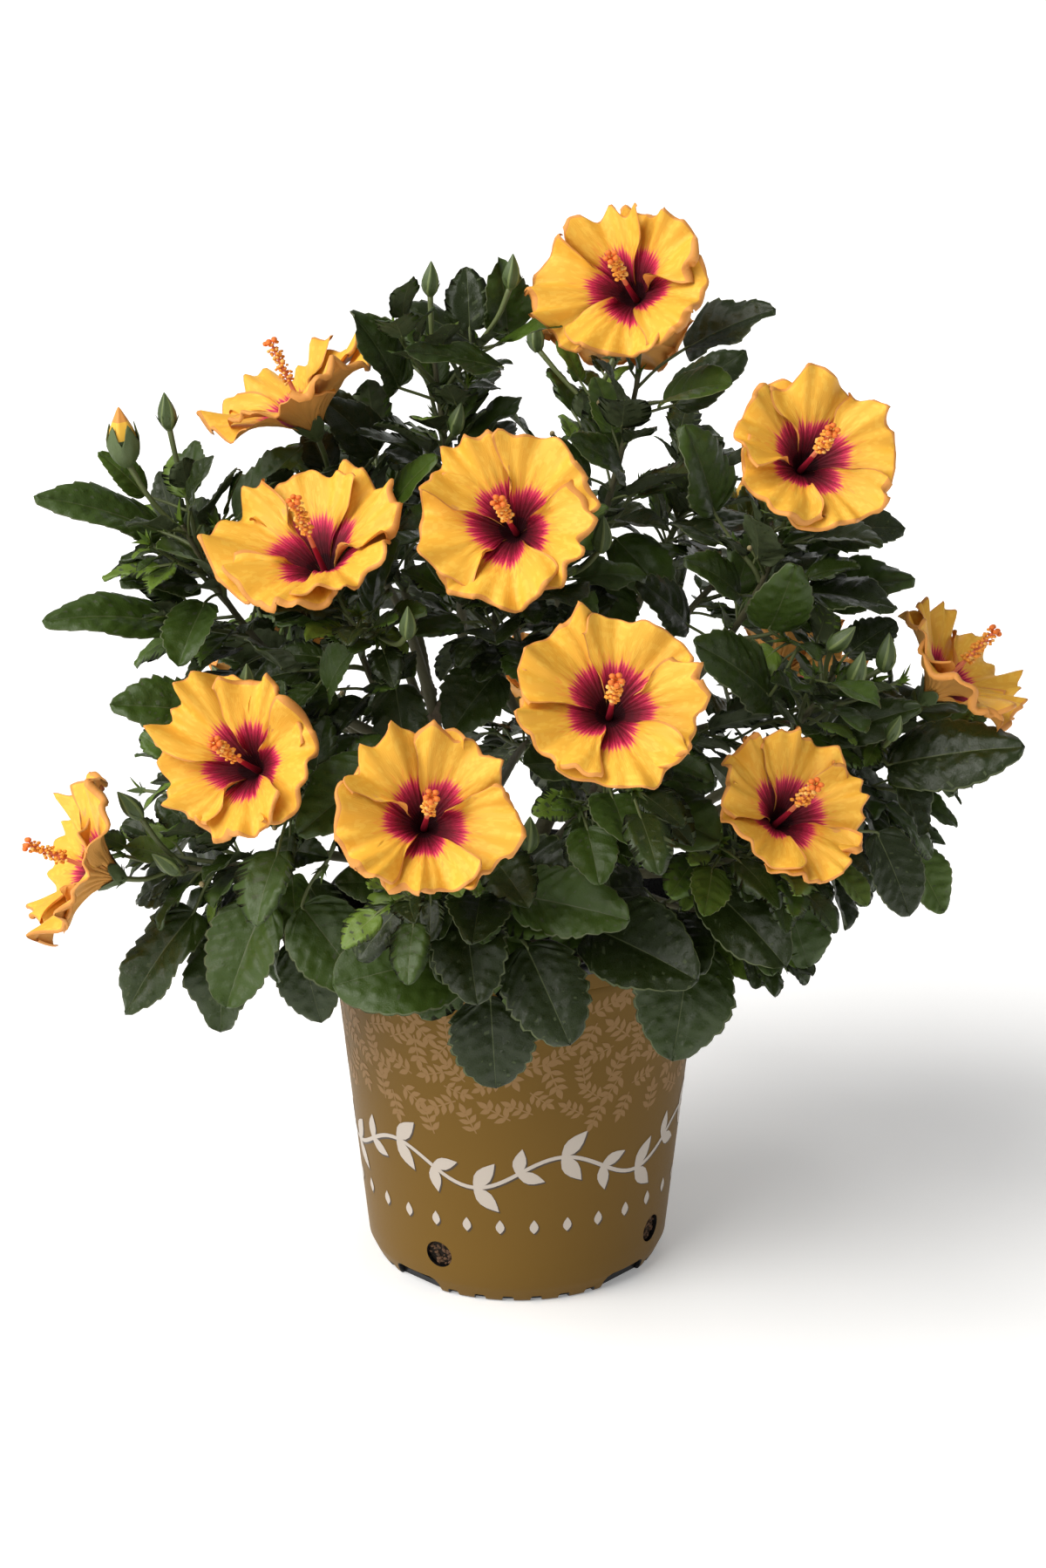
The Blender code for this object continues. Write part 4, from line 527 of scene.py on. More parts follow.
FINISHES = {
    "leaf_dark": leaf_look((0.0165, 0.027, 0.0042)),
    "leaf_deep": leaf_look((0.025, 0.043, 0.0057)),
    "leaf_mid": leaf_look((0.038, 0.069, 0.0076), 0.42),
    "leaf_bright": leaf_look((0.063, 0.112, 0.0108), 0.44),
    "leaf_fresh": leaf_look((0.110, 0.176, 0.0195), 0.46),
    "leaf_rim": leaf_look((0.085, 0.105, 0.040), 0.45),
    "leaf_rim_fresh": leaf_look((0.17, 0.20, 0.07), 0.45),
    "leaf_under": leaf_look((0.060, 0.078, 0.032), 0.60, 0.3),
    "leaf_under_rib": leaf_look((0.12, 0.14, 0.06), 0.60, 0.3),
    "shoot_green": plain_look((0.085, 0.105, 0.030), 0.5, 500.0, 0.0004),
    "green_bark": plain_look((0.095, 0.090, 0.042), 0.62, 420.0, 0.0006),
    "petiole": plain_look((0.110, 0.135, 0.042), 0.48, 700.0, 0.0002),
    "knob": plain_look((0.34, 0.27, 0.13), 0.6, 900.0, 0.0003),
    "bract": plain_look((0.080, 0.120, 0.032), 0.5, 700.0, 0.0002),
    "calyx": plain_look((0.085, 0.120, 0.040), 0.55, 600.0, 0.0003),
    "bud_green": plain_look((0.060, 0.092, 0.024), 0.5, 600.0, 0.0003),
    "bud_pale": plain_look((0.135, 0.175, 0.052), 0.5, 600.0, 0.0003),
    "bark": plain_look((0.130, 0.105, 0.066), 0.80, 260.0, 0.0016, stretch=(1.0, 1.0, 0.35)),
    "petal_black": petal_look((0.030, 0.0015, 0.004)),
    "petal_maroon": petal_look((0.095, 0.0025, 0.010)),
    "petal_wine": petal_look((0.170, 0.0040, 0.018)),
    "petal_crimson": petal_look((0.330, 0.008, 0.040)),
    "petal_magenta": petal_look((0.58, 0.022, 0.085)),
    "petal_pink": petal_look((0.76, 0.110, 0.110), 0.56),
    "petal_apricot": petal_look((0.86, 0.30, 0.070)),
    "petal_amber": petal_look((0.84, 0.38, 0.042)),
    "petal_gold": petal_look((0.84, 0.440, 0.043)),
    "petal_light": petal_look((0.87, 0.492, 0.057)),
    "petal_rim": petal_look((0.70, 0.295, 0.062)),
    "petal_back": petal_look((0.80, 0.38, 0.085), 0.62),
    "column_red": petal_look((0.42, 0.015, 0.040), 0.50),
    "column_pink": petal_look((0.78, 0.23, 0.12), 0.50),
    "anther": petal_look((0.86, 0.34, 0.045), 0.75),
    "anther_pale": petal_look((0.88, 0.50, 0.13), 0.75),
    "stigma": petal_look((0.82, 0.19, 0.030), 0.65),
    "soil": plain_look((0.022, 0.015, 0.010), 0.92, 320.0, 0.0035, specular=0.2),
    "chip": plain_look((0.055, 0.032, 0.018), 0.85, 500.0, 0.0012, specular=0.25),
    "crumb": plain_look((0.115, 0.062, 0.034), 0.85, 500.0, 0.0012, specular=0.25),
    "grain": plain_look((0.42, 0.40, 0.35), 0.9, 900.0, 0.0006, specular=0.2),
    "pot_black": plain_look((0.008, 0.008, 0.009), 0.30, 380.0, 0.00016, specular=0.5),
    "pot_print": plain_look((0.152, 0.083, 0.0145), 0.46, 700.0, 0.00004, spread=0.04, specular=0.10),
    "print_tan": plain_look((0.250, 0.145, 0.058), 0.48, 700.0, 0.00004, spread=0.04, specular=0.10),
    "print_cream": plain_look((0.48, 0.42, 0.36), 0.45, 700.0, 0.00004, specular=0.3),
    "print_brown": plain_look((0.040, 0.024, 0.012), 0.45, 300.0, 0.00012),
    "floor": plain_look((0.97, 0.97, 0.97), 0.85, 4.0, 0.0004, specular=0.1, glow=0.20),
}


Shoot = namedtuple("Shoot", "mass path radii number")
Leaf = namedtuple("Leaf", "mass stalk foot along face length width arch fold")
Flower = namedtuple("Flower", "mass stalk base axis diameter turn")
ClosedBud = namedtuple("ClosedBud", "mass stalk base axis length opening")

UP = Vector((0.0, 0.0, 1.0))


def point(centimetres):
    """A place given in centimetres, as a vector in metres."""
    return Vector(centimetres) * CENTIMETRE


def heading(azimuth, elevation):
    """A direction: azimuth from the front, elevation above level, in degrees."""
    turn = math.radians(azimuth)
    rise = math.radians(elevation)
    return Vector((math.sin(turn) * math.cos(rise), -math.cos(turn) * math.cos(rise), math.sin(rise)))


def bend(start, start_way, end, end_way, steps, lead=0.0):
    """Points of a smooth curve between two places, with a straight lead at each end."""
    first = start + start_way * lead
    last = end - end_way * lead
    reach = (last - first).length
    points = [start.copy()] if lead else []
    for step in range(steps + 1):
        t = step / steps
        blend = t * t * (3 - 2 * t)
        place = first * (1 - blend) + last * blend
        place += start_way * reach * (t * (1 - t) ** 2)
        place -= end_way * reach * (t * t * (1 - t))
        points.append(place)
    if lead:
        points.append(end.copy())
    return points


def lengths_along(path):
    """The length of the path up to each of its points."""
    total = [0.0]
    for here, there in zip(path, path[1:]):
        total.append(total[-1] + (there - here).length)
    return total


def place_on(path, share):
    """The point and direction at a share of the path's length."""
    along = lengths_along(path)
    target = share * along[-1]
    for index in range(len(path) - 1):
        if target <= along[index + 1] or index == len(path) - 2:
            span = max(along[index + 1] - along[index], 1e-9)
            t = (target - along[index]) / span
            way = (path[index + 1] - path[index]).normalized()
            return path[index].lerp(path[index + 1], t), way
    return path[-1], (path[-1] - path[-2]).normalized()


def across(way):
    """A steady unit vector at right angles to a direction."""
    side = way.cross(UP)
    if side.length < 0.1:
        side = way.cross(Vector((0.0, 1.0, 0.0)))
    return side.normalized()


def ring_faces(rings, sides, start=0, flip=False):
    """Faces between neighbouring rings of points, where each ring closes on itself."""
    faces = []
    for ring in range(rings - 1):
        for corner in range(sides):
            here = start + ring * sides + corner
            beside = start + ring * sides + (corner + 1) % sides
            if flip:
                faces.append((here, here + sides, beside + sides, beside))
            else:
                faces.append((here, beside, beside + sides, here + sides))
    return faces


def end_faces(rings, sides):
    """The two flat faces that close a stack of rings."""
    last = (rings - 1) * sides
    return [tuple(reversed(range(sides))), tuple(range(last, last + sides))]


def swing(side, other, turn):
    """A direction turned from side towards other."""
    return side * math.cos(turn) + other * math.sin(turn)


def tube(path, radii, sides):
    """Vertices and faces of a closed tapering tube with flat ends."""
    verts = []
    side = None
    for index, place in enumerate(path):
        back = path[max(index - 1, 0)]
        ahead = path[min(index + 1, len(path) - 1)]
        way = (ahead - back).normalized()
        if side is None:
            side = across(way)
        else:
            side = (side - way * side.dot(way)).normalized()
        other = way.cross(side)
        for corner in range(sides):
            verts.append(place + swing(side, other, 2 * math.pi * corner / sides) * radii[index])
    return verts, ring_faces(len(path), sides) + end_faces(len(path), sides)


def taper(path, first, last):
    """Radii that change evenly along a path."""
    along = lengths_along(path)
    return [first + (last - first) * here / along[-1] for here in along]


def leaf_half_width(u):
    """Share of the blade's half width at a share u of its length: ovate, with a short tip."""
    return min(1.0, 1.06 * math.sin(math.pi * min(1.0, u ** 0.72)) ** 0.75) if 0 < u < 1 else 0.0


def leaf_point(leaf, u, v):
    """A point on the blade: u runs from foot to tip and v from -1 to 1 across it."""
    side = leaf.along.cross(leaf.face).normalized()
    half = 0.5 * leaf.width * leaf_half_width(u)
    bow = leaf.arch * leaf.length * (u - u * u)
    rise = leaf.fold * abs(v) * half
    return leaf.foot + leaf.along * leaf.length * u + side * v * half + leaf.face * (rise + bow)


def slab(leaf, stations, thickness):
    """A closed thick blade whose outline has the given stations between foot and tip."""
    face = leaf.face * thickness * 0.5
    verts = [leaf.foot + face, leaf.foot - face]
    for u in stations:
        edge = [leaf_point(leaf, u, v) for v in (-1.0, 0.0, 1.0)]
        verts += [place + face for place in edge] + [place - face for place in edge]
    tip = leaf_point(leaf, 1.0, 0.0)
    verts += [tip + face, tip - face]
    faces = [(0, 2, 3), (0, 3, 4), (1, 6, 5), (1, 7, 6), (0, 1, 5, 2), (0, 4, 7, 1)]
    for index in range(len(stations) - 1):
        a = 2 + 6 * index
        b = a + 6
        faces += [(a, b, b + 1, a + 1), (a + 1, b + 1, b + 2, a + 2)]
        faces += [(a + 3, a + 4, b + 4, b + 3), (a + 4, a + 5, b + 5, b + 4)]
        faces += [(a, a + 3, b + 3, b), (a + 2, b + 2, b + 5, a + 5)]
    a = 2 + 6 * (len(stations) - 1)
    top = len(verts) - 2
    faces += [(a, top, a + 1), (a + 1, top, a + 2), (a + 3, a + 4, top + 1), (a + 4, a + 5, top + 1)]
    faces += [(a, a + 3, top + 1, top), (a + 2, top, top + 1, a + 5)]
    return verts, faces


def cup(base, axis, rings, sides, turn, thickness):
    """A closed flared shell round an axis. Each ring is (radius, rise, ripple)."""
    side = across(axis)
    other = axis.cross(side)
    verts = []
    for lift in (0.0, thickness):
        for index, (radius, rise, ripple) in enumerate(rings):
            for corner in range(sides):
                odd = ripple if corner % 2 else -ripple
                out = swing(side, other, turn + 2 * math.pi * corner / sides)
                grow = radius + odd - lift * (1 if index == 0 else 0)
                verts.append(base + out * grow + axis * (rise + lift + 0.6 * odd))
    each = len(rings) * sides
    rim = each - sides
    faces = [face[::-1] for face in ring_faces(len(rings), sides, flip=True)]
    faces += ring_faces(len(rings), sides, each, flip=True)
    for corner in range(sides):
        beside = (corner + 1) % sides
        faces.append((rim + corner, rim + beside, each + rim + beside, each + rim + corner))
    faces += [tuple(reversed(range(sides))), tuple(range(each, each + sides))]
    return verts, faces


def bloom_rings(diameter):
    """Rings of a plain bloom: radius, rise and ripple."""
    half = diameter / 2
    return ((0.0055, 0.0, 0.0), (half * 0.46, BLOOM_DEPTH * 0.66, 0.0), (half, BLOOM_DEPTH, 0.0022))


def spindle(base, axis, length):
    """A closed bud, widest below its middle."""
    path = [base + axis * length * share for share in (0.0, 0.28, 0.68, 1.0)]
    radii = [length * share for share in (0.09, 0.27, 0.21, 0.03)]
    return tube(path, radii, 5)


def pistil_path(base, axis):
    """The middle line of a plain bloom's column."""
    return [base + axis * 0.0013, base + axis * 0.046 + UP * 0.001, base + axis * 0.070 + UP * 0.003]


def corners(verts):
    """The lowest and highest corner of the box round some points."""
    low = Vector([min(vert[axis] for vert in verts) for axis in range(3)])
    high = Vector([max(vert[axis] for vert in verts) for axis in range(3)])
    return low, high


class Space:
    """What is already grown. A new organ must be clear of all of it."""

    def __init__(self):
        self.trees = []

    def add(self, shape, owner=None):
        verts, faces = shape
        low, high = corners(verts)
        self.trees.append((low, high, BVHTree.FromPolygons(verts, faces), owner))

    def clear(self, shape, skip=()):
        """True if the shape touches nothing but what belongs to the owners to skip."""
        verts, faces = shape
        low, high = corners(verts)
        own = None
        for other_low, other_high, tree, owner in self.trees:
            if owner is not None and owner in skip:
                continue
            if any(low[axis] > other_high[axis] or high[axis] < other_low[axis] for axis in range(3)):
                continue
            if own is None:
                own = BVHTree.FromPolygons(verts, faces)
            if own.overlap(tree):
                return False
        return True


def stalk_guard(path, radius):
    """The tested part of a stalk: all of it but the stretch in the shoot's axil."""
    total = lengths_along(path)[-1]
    if total < AXIL * 1.6:
        return None
    first = AXIL / total
    shares = [first + (1 - first) * step / 4 for step in range(5)]
    points = [place_on(path, share)[0] for share in shares]
    return tube(points, [radius + GUARD] * len(points), 4)


def leaf_guard(leaf):
    """The tested shape of a blade, a little larger all round."""
    wide = leaf._replace(width=leaf.width + 2 * GUARD, length=leaf.length + GUARD)
    return slab(wide, (0.12, 0.4, 0.75), 2 * GUARD)


def bloom_guards(base, axis, diameter, turn):
    """The tested shapes of a bloom: its shell and its column."""
    shell = cup(base, axis, bloom_rings(diameter * 1.04), 10, turn, 0.004)
    pistil = pistil_path(base, axis)
    return [shell, tube(pistil, [0.003, 0.003, 0.006], 5)]


def pot_guard():
    """A closed drum round the pot, which only the trunk and the boughs pass."""
    path = [Vector((0, 0, z)) for z in (-0.01, 0.15, POT_HEIGHT, POT_HEIGHT + 0.003)]
    wide = LIP_RADIUS + 0.003
    return tube(path, [BASE_RADIUS + 0.008, 0.130, wide, wide - 0.002], 24)


class Plant:
    """Grows every organ of the shrub from the tables above."""

    def __init__(self):
        self.random = random.Random(SEED)
        self.space = Space()
        self.boughs = {}
        self.stubs = {}
        self.shoots = []
        self.leaves = []
        self.flowers = []
        self.buds = []
        self.old_stalks = []
        self.main_leaves = 0
        self.lowest = LOWEST_LEAF

    def grow(self):
        """The organs that the solids have too."""
        self.grow_boughs()
        self.grow_main_shoots()
        self.space.add(pot_guard(), "pot")
        for bloom in BLOOMS:
            self.grow_bloom(bloom)
        for bud in BUDS:
            self.grow_bud(bud)
        for row in SHOW_LEAVES:
            self.grow_show_leaf(row)
        self.keep_views_open()
        self.grow_side_shoots()
        self.grow_rule_leaves()

    # ---- limbs ----
    def grow_boughs(self):
        """The trunk, and a bough to the start of each mass."""
        trunk_way = (TRUNK_TIP - TRUNK_FOOT).normalized()
        trunk = bend(TRUNK_FOOT, UP, TRUNK_TIP, trunk_way, len(TRUNK_RADII) - 3, lead=TRUNK_LEAD)
        self.boughs["trunk"] = (trunk, list(TRUNK_RADII))
        for limb in LIMBS:
            self.grow_bough(limb)
        for name, (path, radii) in self.boughs.items():
            guard = [radius + GUARD for radius in radii]
            self.space.add(tube(path, guard, LIMB_SIDES), "bough_" + name)

    def grow_bough(self, limb):
        """One bough, from the stub that it shares with its carrier to the start of its mass."""
        carrier = self.boughs[limb.parent][0]
        root, carrier_way = place_on(carrier, limb.along)
        start = point(limb.start)
        tip = point(limb.tip)
        lead_out = (tip - start).normalized()
        aim = (start - root).normalized()
        away = (aim - carrier_way * aim.dot(carrier_way)).normalized()
        way = (aim + away * FORK_SPREAD).normalized()
        end_way = (lead_out + aim * 0.6).normalized()
        clearance = self.radius_at(limb) + limb.radius + STUB_CLEARANCE
        stub_end = root + way * (clearance / way.cross(carrier_way).length)
        self.stubs[limb.mass] = (root, stub_end, limb.radius)
        path = bend(stub_end + way * GAP, way, start, end_way, 3, lead=BOUGH_LEAD)
        radii = taper(path, limb.radius, BOUGH_TIP_RADIUS)
        path[-1] = start
        self.boughs[limb.mass] = (path, radii)

    def radius_at(self, limb):
        """The carrier's radius where the limb leaves it."""
        path, radii = self.boughs[limb.parent]
        along = lengths_along(path)
        target = limb.along * along[-1]
        index = max(step for step, here in enumerate(along[:-1]) if here <= target)
        share = (target - along[index]) / (along[index + 1] - along[index])
        return radii[index] + (radii[index + 1] - radii[index]) * share

    def grow_main_shoots(self):
        """The shoot that runs on from each bough to its mass's tip."""
        for limb in LIMBS:
            path, _ = self.boughs[limb.mass]
            way = (path[-1] - path[-2]).normalized()
            start = point(limb.start) + way * GAP
            tip = point(limb.tip)
            end_way = ((tip - start).normalized() + UP * SHOOT_RISE).normalized()
            shoot = bend(start, way, tip, end_way, 4, lead=SHOOT_LEAD)
            radii = taper(shoot, BOUGH_TIP_RADIUS, SHOOT_TIP_RADIUS)
            self.add_shoot(limb.mass, shoot, radii, skip_own=True)

    def add_shoot(self, mass, path, radii, skip_own=False):
        """A shoot, guarded from just beyond its foot to its tip."""
        shoot = Shoot(mass, path, radii, len(self.shoots))
        self.shoots.append(shoot)
        first = 0.1 if skip_own else 0.2
        points = [place_on(path, first + (1 - first) * step / 4)[0] for step in range(5)]
        self.space.add(tube(points, [max(radii) * 0.8 + GUARD] * 5, 5), self.key(shoot))
        return shoot

    def key(self, shoot):
        return "shoot_%d" % shoot.number

    # ---- stalks ----
    def root_for(self, mass, target, longest):
        """A root for a stalk to the target: on the nearest shoot, or on a new one towards it."""
        best = None
        for shoot in self.shoots:
            if shoot.mass != mass:
                continue
            for step in range(4, 21):
                place, way = place_on(shoot.path, step / 20)
                gap = (target - place).length
                if best is None or gap < best[0]:
                    best = (gap, shoot, place, way, step / 20)
        gap, shoot, place, way, share = best
        if gap > longest:
            start, way = place_on(shoot.path, max(0.2, share - 0.25))
            aim = (target - start).normalized()
            end = start + aim * max(0.03, (target - start).length - longest * 0.75)
            path = bend(start, (aim + way * 0.8).normalized(), end, aim, 3)
            guard = tube(path[1:], [REACH_SHOOT_RADII[0] + GUARD] * 3, 4)
            if self.space.clear(guard, {self.key(shoot)}):
                shoot = self.add_shoot(mass, path, taper(path, *REACH_SHOOT_RADII))
                return shoot, place_on(path, 0.93)
            return shoot, place_on(shoot.path, share)
        back = max(0.05, share - min(0.35, 0.012 / lengths_along(shoot.path)[-1]))
        return shoot, place_on(shoot.path, back)

    def grow_bloom(self, bloom):
        """An open bloom of the table, with its stalk."""
        axis = heading(bloom.azimuth, bloom.elevation)
        base = point(bloom.centre) - axis * BLOOM_DEPTH
        _, (root, way) = self.root_for(bloom.mass, base, LONGEST_PEDUNCLE)
        aim = (base - root).normalized()
        stalk = bend(root, (way + aim).normalized(), base + axis * 0.001, axis, 3)
        turn = self.random.uniform(0, math.pi)
        guards = bloom_guards(base, axis, bloom.diameter, turn)
        stem = stalk_guard(stalk, PEDUNCLE_RADIUS)
        for guard in guards + ([stem] if stem else []):
            self.space.add(guard)
        self.flowers.append(Flower(bloom.mass, stalk, base, axis, bloom.diameter, turn))

    def grow_bud(self, bud):
        """A bud of the table, left out if it isn't clear."""
        axis = heading(bud.azimuth, bud.elevation)
        base = point(bud.foot)
        shoot, (root, way) = self.root_for(bud.mass, base, LONGEST_PEDUNCLE)
        aim = (base - root).normalized()
        stalk = bend(root, (way + aim).normalized(), base + axis * 0.003, axis, 2)
        body = spindle(base - axis * GUARD, axis, bud.length * 1.1)
        stem = stalk_guard(stalk, PEDUNCLE_RADIUS)
        own = {self.key(shoot)}
        if not self.space.clear(body, own) or (stem and not self.space.clear(stem, own)):
            return
        self.space.add(body)
        if stem:
            self.space.add(stem)
        self.buds.append(ClosedBud(bud.mass, stalk, base, axis, bud.length, bud.opening))

    # ---- leaves ----
    def grow_show_leaf(self, row):
        """A leaf of the table, shifted and shrunk a little at each try that isn't clear."""
        foot = point(row.foot)
        tip = point(row.tip)
        shoot, (root, way) = self.root_for(row.mass, foot, LONGEST_PETIOLE)
        outward = (foot - CROWN_CENTRE).normalized()
        look = ((EYE - foot).normalized() * 0.7 + UP * 0.8 + outward * 0.5).normalized()
        for attempt in range(TRIES):
            shift = Vector([self.random.uniform(-1, 1) for _ in range(3)]) * SHOW_LEAF_SHIFT * attempt
            along = tip + shift - foot
            shrink = 1.0 - SHOW_LEAF_SHRINK * attempt
            if self.try_leaf(row.mass, shoot, root, way, foot + shift * 0.5, along.normalized(), look,
                             along.length * shrink, row.width * CENTIMETRE * shrink):
                return

    def try_leaf(self, mass, shoot, root, way, foot, along, look, length, width):
        """Adds a leaf if its stalk and blade are clear of all that is grown."""
        face = (look - along * look.dot(along)).normalized()
        arch = self.random.uniform(*LEAF_ARCH)
        fold = self.random.uniform(*LEAF_FOLD)
        aim = (foot - root).normalized()
        stalk = bend(root, (aim + way * 0.5).normalized(), foot, (aim + along).normalized(), 2)
        leaf = Leaf(mass, stalk, foot, along, face, length, width, arch, fold)
        own = {self.key(shoot)}
        stem = stalk_guard(stalk, PETIOLE_RADIUS)
        if stem and not self.space.clear(stem, own):
            return False
        blade = leaf_guard(leaf)
        if not self.space.clear(blade, ()):
            return False
        if stem:
            self.space.add(stem)
        self.space.add(blade)
        self.leaves.append(leaf)
        return True

    def keep_views_open(self):
        """Blocks the see-through gaps and the air before each front bloom."""
        for x, z, radius in SKY_GAPS:
            middle = Vector((x, 0.0, z)) * CENTIMETRE
            way = (middle - EYE).normalized()
            path = [middle - way * GAP_DEPTH, middle + way * GAP_DEPTH]
            self.space.add(tube(path, [radius * CENTIMETRE] * 2, 8), "view")
        for flower in self.flowers:
            centre = flower.base + flower.axis * BLOOM_DEPTH
            half = flower.diameter / 2
            path = [centre + flower.axis * reach for reach in BLOOM_AIR]
            self.space.add(tube(path, [half * 0.9, half * 0.5], 8), "view")
            if centre.y < FRONT_LIMIT:
                way = (EYE - centre).normalized()
                path = [centre + way * reach for reach in BLOOM_VIEW]
                self.space.add(tube(path, [half * 0.86] * 2, 10), "view")

    def in_crown(self, place):
        """True inside the crown's rounded outline and above the lowest leaves."""
        offset = place - CROWN_CENTRE
        share = sum((offset[axis] / CROWN_REACH[axis]) ** 2 for axis in range(3))
        return share < 1.0 and place.z > self.lowest

    def in_own_space(self, mass, place):
        """True unless another mass's main shoot is clearly nearer."""
        own = self.nearest(mass, place)
        for limb in LIMBS:
            if limb.mass != mass and self.nearest(limb.mass, place) < own - SPACE_MARGIN:
                return False
        return True

    def nearest(self, mass, place):
        """Distance from a place to a mass's main shoot."""
        index = [limb.mass for limb in LIMBS].index(mass)
        path = self.shoots[index].path
        return min((place - spot).length for spot in path)

    def grow_side_shoots(self):
        """One side shoot on each mass's main shoot."""
        for shoot in self.shoots[:len(LIMBS)]:
            share = self.random.uniform(*SIDE_SHOOT_PLACE)
            for _ in range(TRIES):
                turn = self.random.uniform(-SIDE_SHOOT_TURN, SIDE_SHOOT_TURN)
                if self.try_side_shoot(shoot, share, turn):
                    break

    def try_side_shoot(self, shoot, share, turn):
        """Adds a side shoot if it stays in the crown and is clear."""
        root, way = place_on(shoot.path, share)
        side = across(way)
        out = swing(side, way.cross(side), turn)
        outward = (root - CROWN_CENTRE).normalized()
        first = (way * 0.7 + out * 0.8 + outward * 0.4).normalized()
        last = (first + UP * 0.5 + outward * 0.3).normalized()
        length = self.random.uniform(*SIDE_SHOOT_LENGTH)
        end = root + (first + last).normalized() * length
        if not self.in_crown(end) or not self.in_own_space(shoot.mass, end):
            return False
        path = bend(root, first, end, last, 2)
        free = [place_on(path, part)[0] for part in (0.2, 0.6, 1.0)]
        if not self.space.clear(tube(free, [SIDE_SHOOT_RADII[0] + GUARD] * 3, 4), {self.key(shoot)}):
            return False
        self.add_shoot(shoot.mass, path, taper(path, *SIDE_SHOOT_RADII))
        return True

    def grow_rule_leaves(self):
        """Leaves in a spiral along each shoot."""
        for shoot in self.shoots:
            length = lengths_along(shoot.path)[-1]
            count = max(2, round(length / NODE_SPACING))
            start_turn = self.random.uniform(0, 2 * math.pi)
            for number in range(count):
                share = 0.12 + 0.88 * (number + 0.7) / count
                for attempt in range(TRIES):
                    if self.try_rule_leaf(shoot, min(share, 1.0), start_turn, number, attempt):
                        break

    def try_rule_leaf(self, shoot, share, start_turn, number, attempt, scale=1.0):
        """Tries a leaf at a share of the shoot, turned and shrunk at each attempt."""
        root, way = place_on(shoot.path, share)
        turn = start_turn + GOLDEN_TURN * number + self.random.uniform(-0.5, 0.5) * attempt
        side = across(way)
        out = swing(side, way.cross(side), turn)
        outward = (root - CROWN_CENTRE).normalized()
        size = LEAF_LENGTH[0] + (LEAF_LENGTH[1] - LEAF_LENGTH[0]) * share
        size *= self.random.uniform(*LEAF_SPREAD) * (1.0 - LEAF_SHRINK * attempt) * scale
        steep = 0.35 + 0.45 * share
        stalk_way = (way * steep + out + outward * 0.35).normalized()
        foot = root + stalk_way * size * self.random.uniform(*PETIOLE_SHARE)
        droop = self.random.uniform(*LEAF_DROOP) * (1.1 - share * 0.7)
        along = (stalk_way + outward * 0.25 - UP * droop).normalized()
        look = (UP * 1.0 + outward * 0.7 + way * 0.2).normalized()
        if abs(look.dot(along)) > STEEPEST_LEAF:
            return False
        middle = foot + along * size * 0.5
        tip = foot + along * size
        if not self.in_crown(tip) or not self.in_own_space(shoot.mass, middle):
            return False
        width = size * self.random.uniform(*LEAF_WIDTH)
        return self.try_leaf(shoot.mass, shoot, root, way, foot, along, look, size, width)

    # ---- the rule carried on to finer twigs and leaves ----
    def grow_finer(self):
        """More side shoots and many smaller leaves, in the reach the solids already have."""
        self.main_leaves = len(self.leaves)
        self.lowest = FINER_LOWEST
        for shoot in self.shoots[:len(LIMBS)]:
            for number in range(FINER_SHOOTS):
                share = (number + self.random.uniform(0.2, 0.8)) / FINER_SHOOTS
                for _ in range(TRIES):
                    turn = self.random.uniform(-FINER_SHOOT_TURN, FINER_SHOOT_TURN)
                    if self.try_side_shoot(shoot, 0.10 + 0.8 * share, turn):
                        break
        self.grow_old_stalks()
        for spacing, scale in FINER_LEAVES:
            for shoot in self.shoots:
                self.grow_finer_leaves(shoot, spacing, scale)

    def grow_old_stalks(self):
        """Bare stalks that have dropped their blooms, each ending in a round joint."""
        for shoot in self.shoots[:len(LIMBS)]:
            root, way = place_on(shoot.path, self.random.uniform(*OLD_STALK_PLACE))
            for _ in range(TRIES):
                side = across(way)
                out = swing(side, way.cross(side), self.random.uniform(0, 2 * math.pi))
                aim = (out + way * 0.5 + UP * 0.2).normalized()
                end = root + aim * self.random.uniform(*OLD_STALK_LENGTH)
                free = [root.lerp(end, 0.3), root.lerp(end, 0.65), end]
                guard = tube(free, [OLD_STALK_GUARD] * 3, 4)
                if self.space.clear(guard, {self.key(shoot)}):
                    self.space.add(guard)
                    self.old_stalks.append([root, root.lerp(end, 0.5) + way * 0.001, end])
                    break

    def grow_finer_leaves(self, shoot, spacing, scale):
        """Smaller leaves between those of a shoot, less evenly spaced."""
        length = lengths_along(shoot.path)[-1]
        count = max(2, round(length / spacing))
        start_turn = self.random.uniform(0, 2 * math.pi)
        for number in range(count):
            share = 0.06 + 0.94 * (number + self.random.uniform(0.2, 0.8)) / count
            for attempt in range(TRIES):
                if self.try_rule_leaf(shoot, min(share, 1.0), start_turn, number, attempt, scale):
                    break


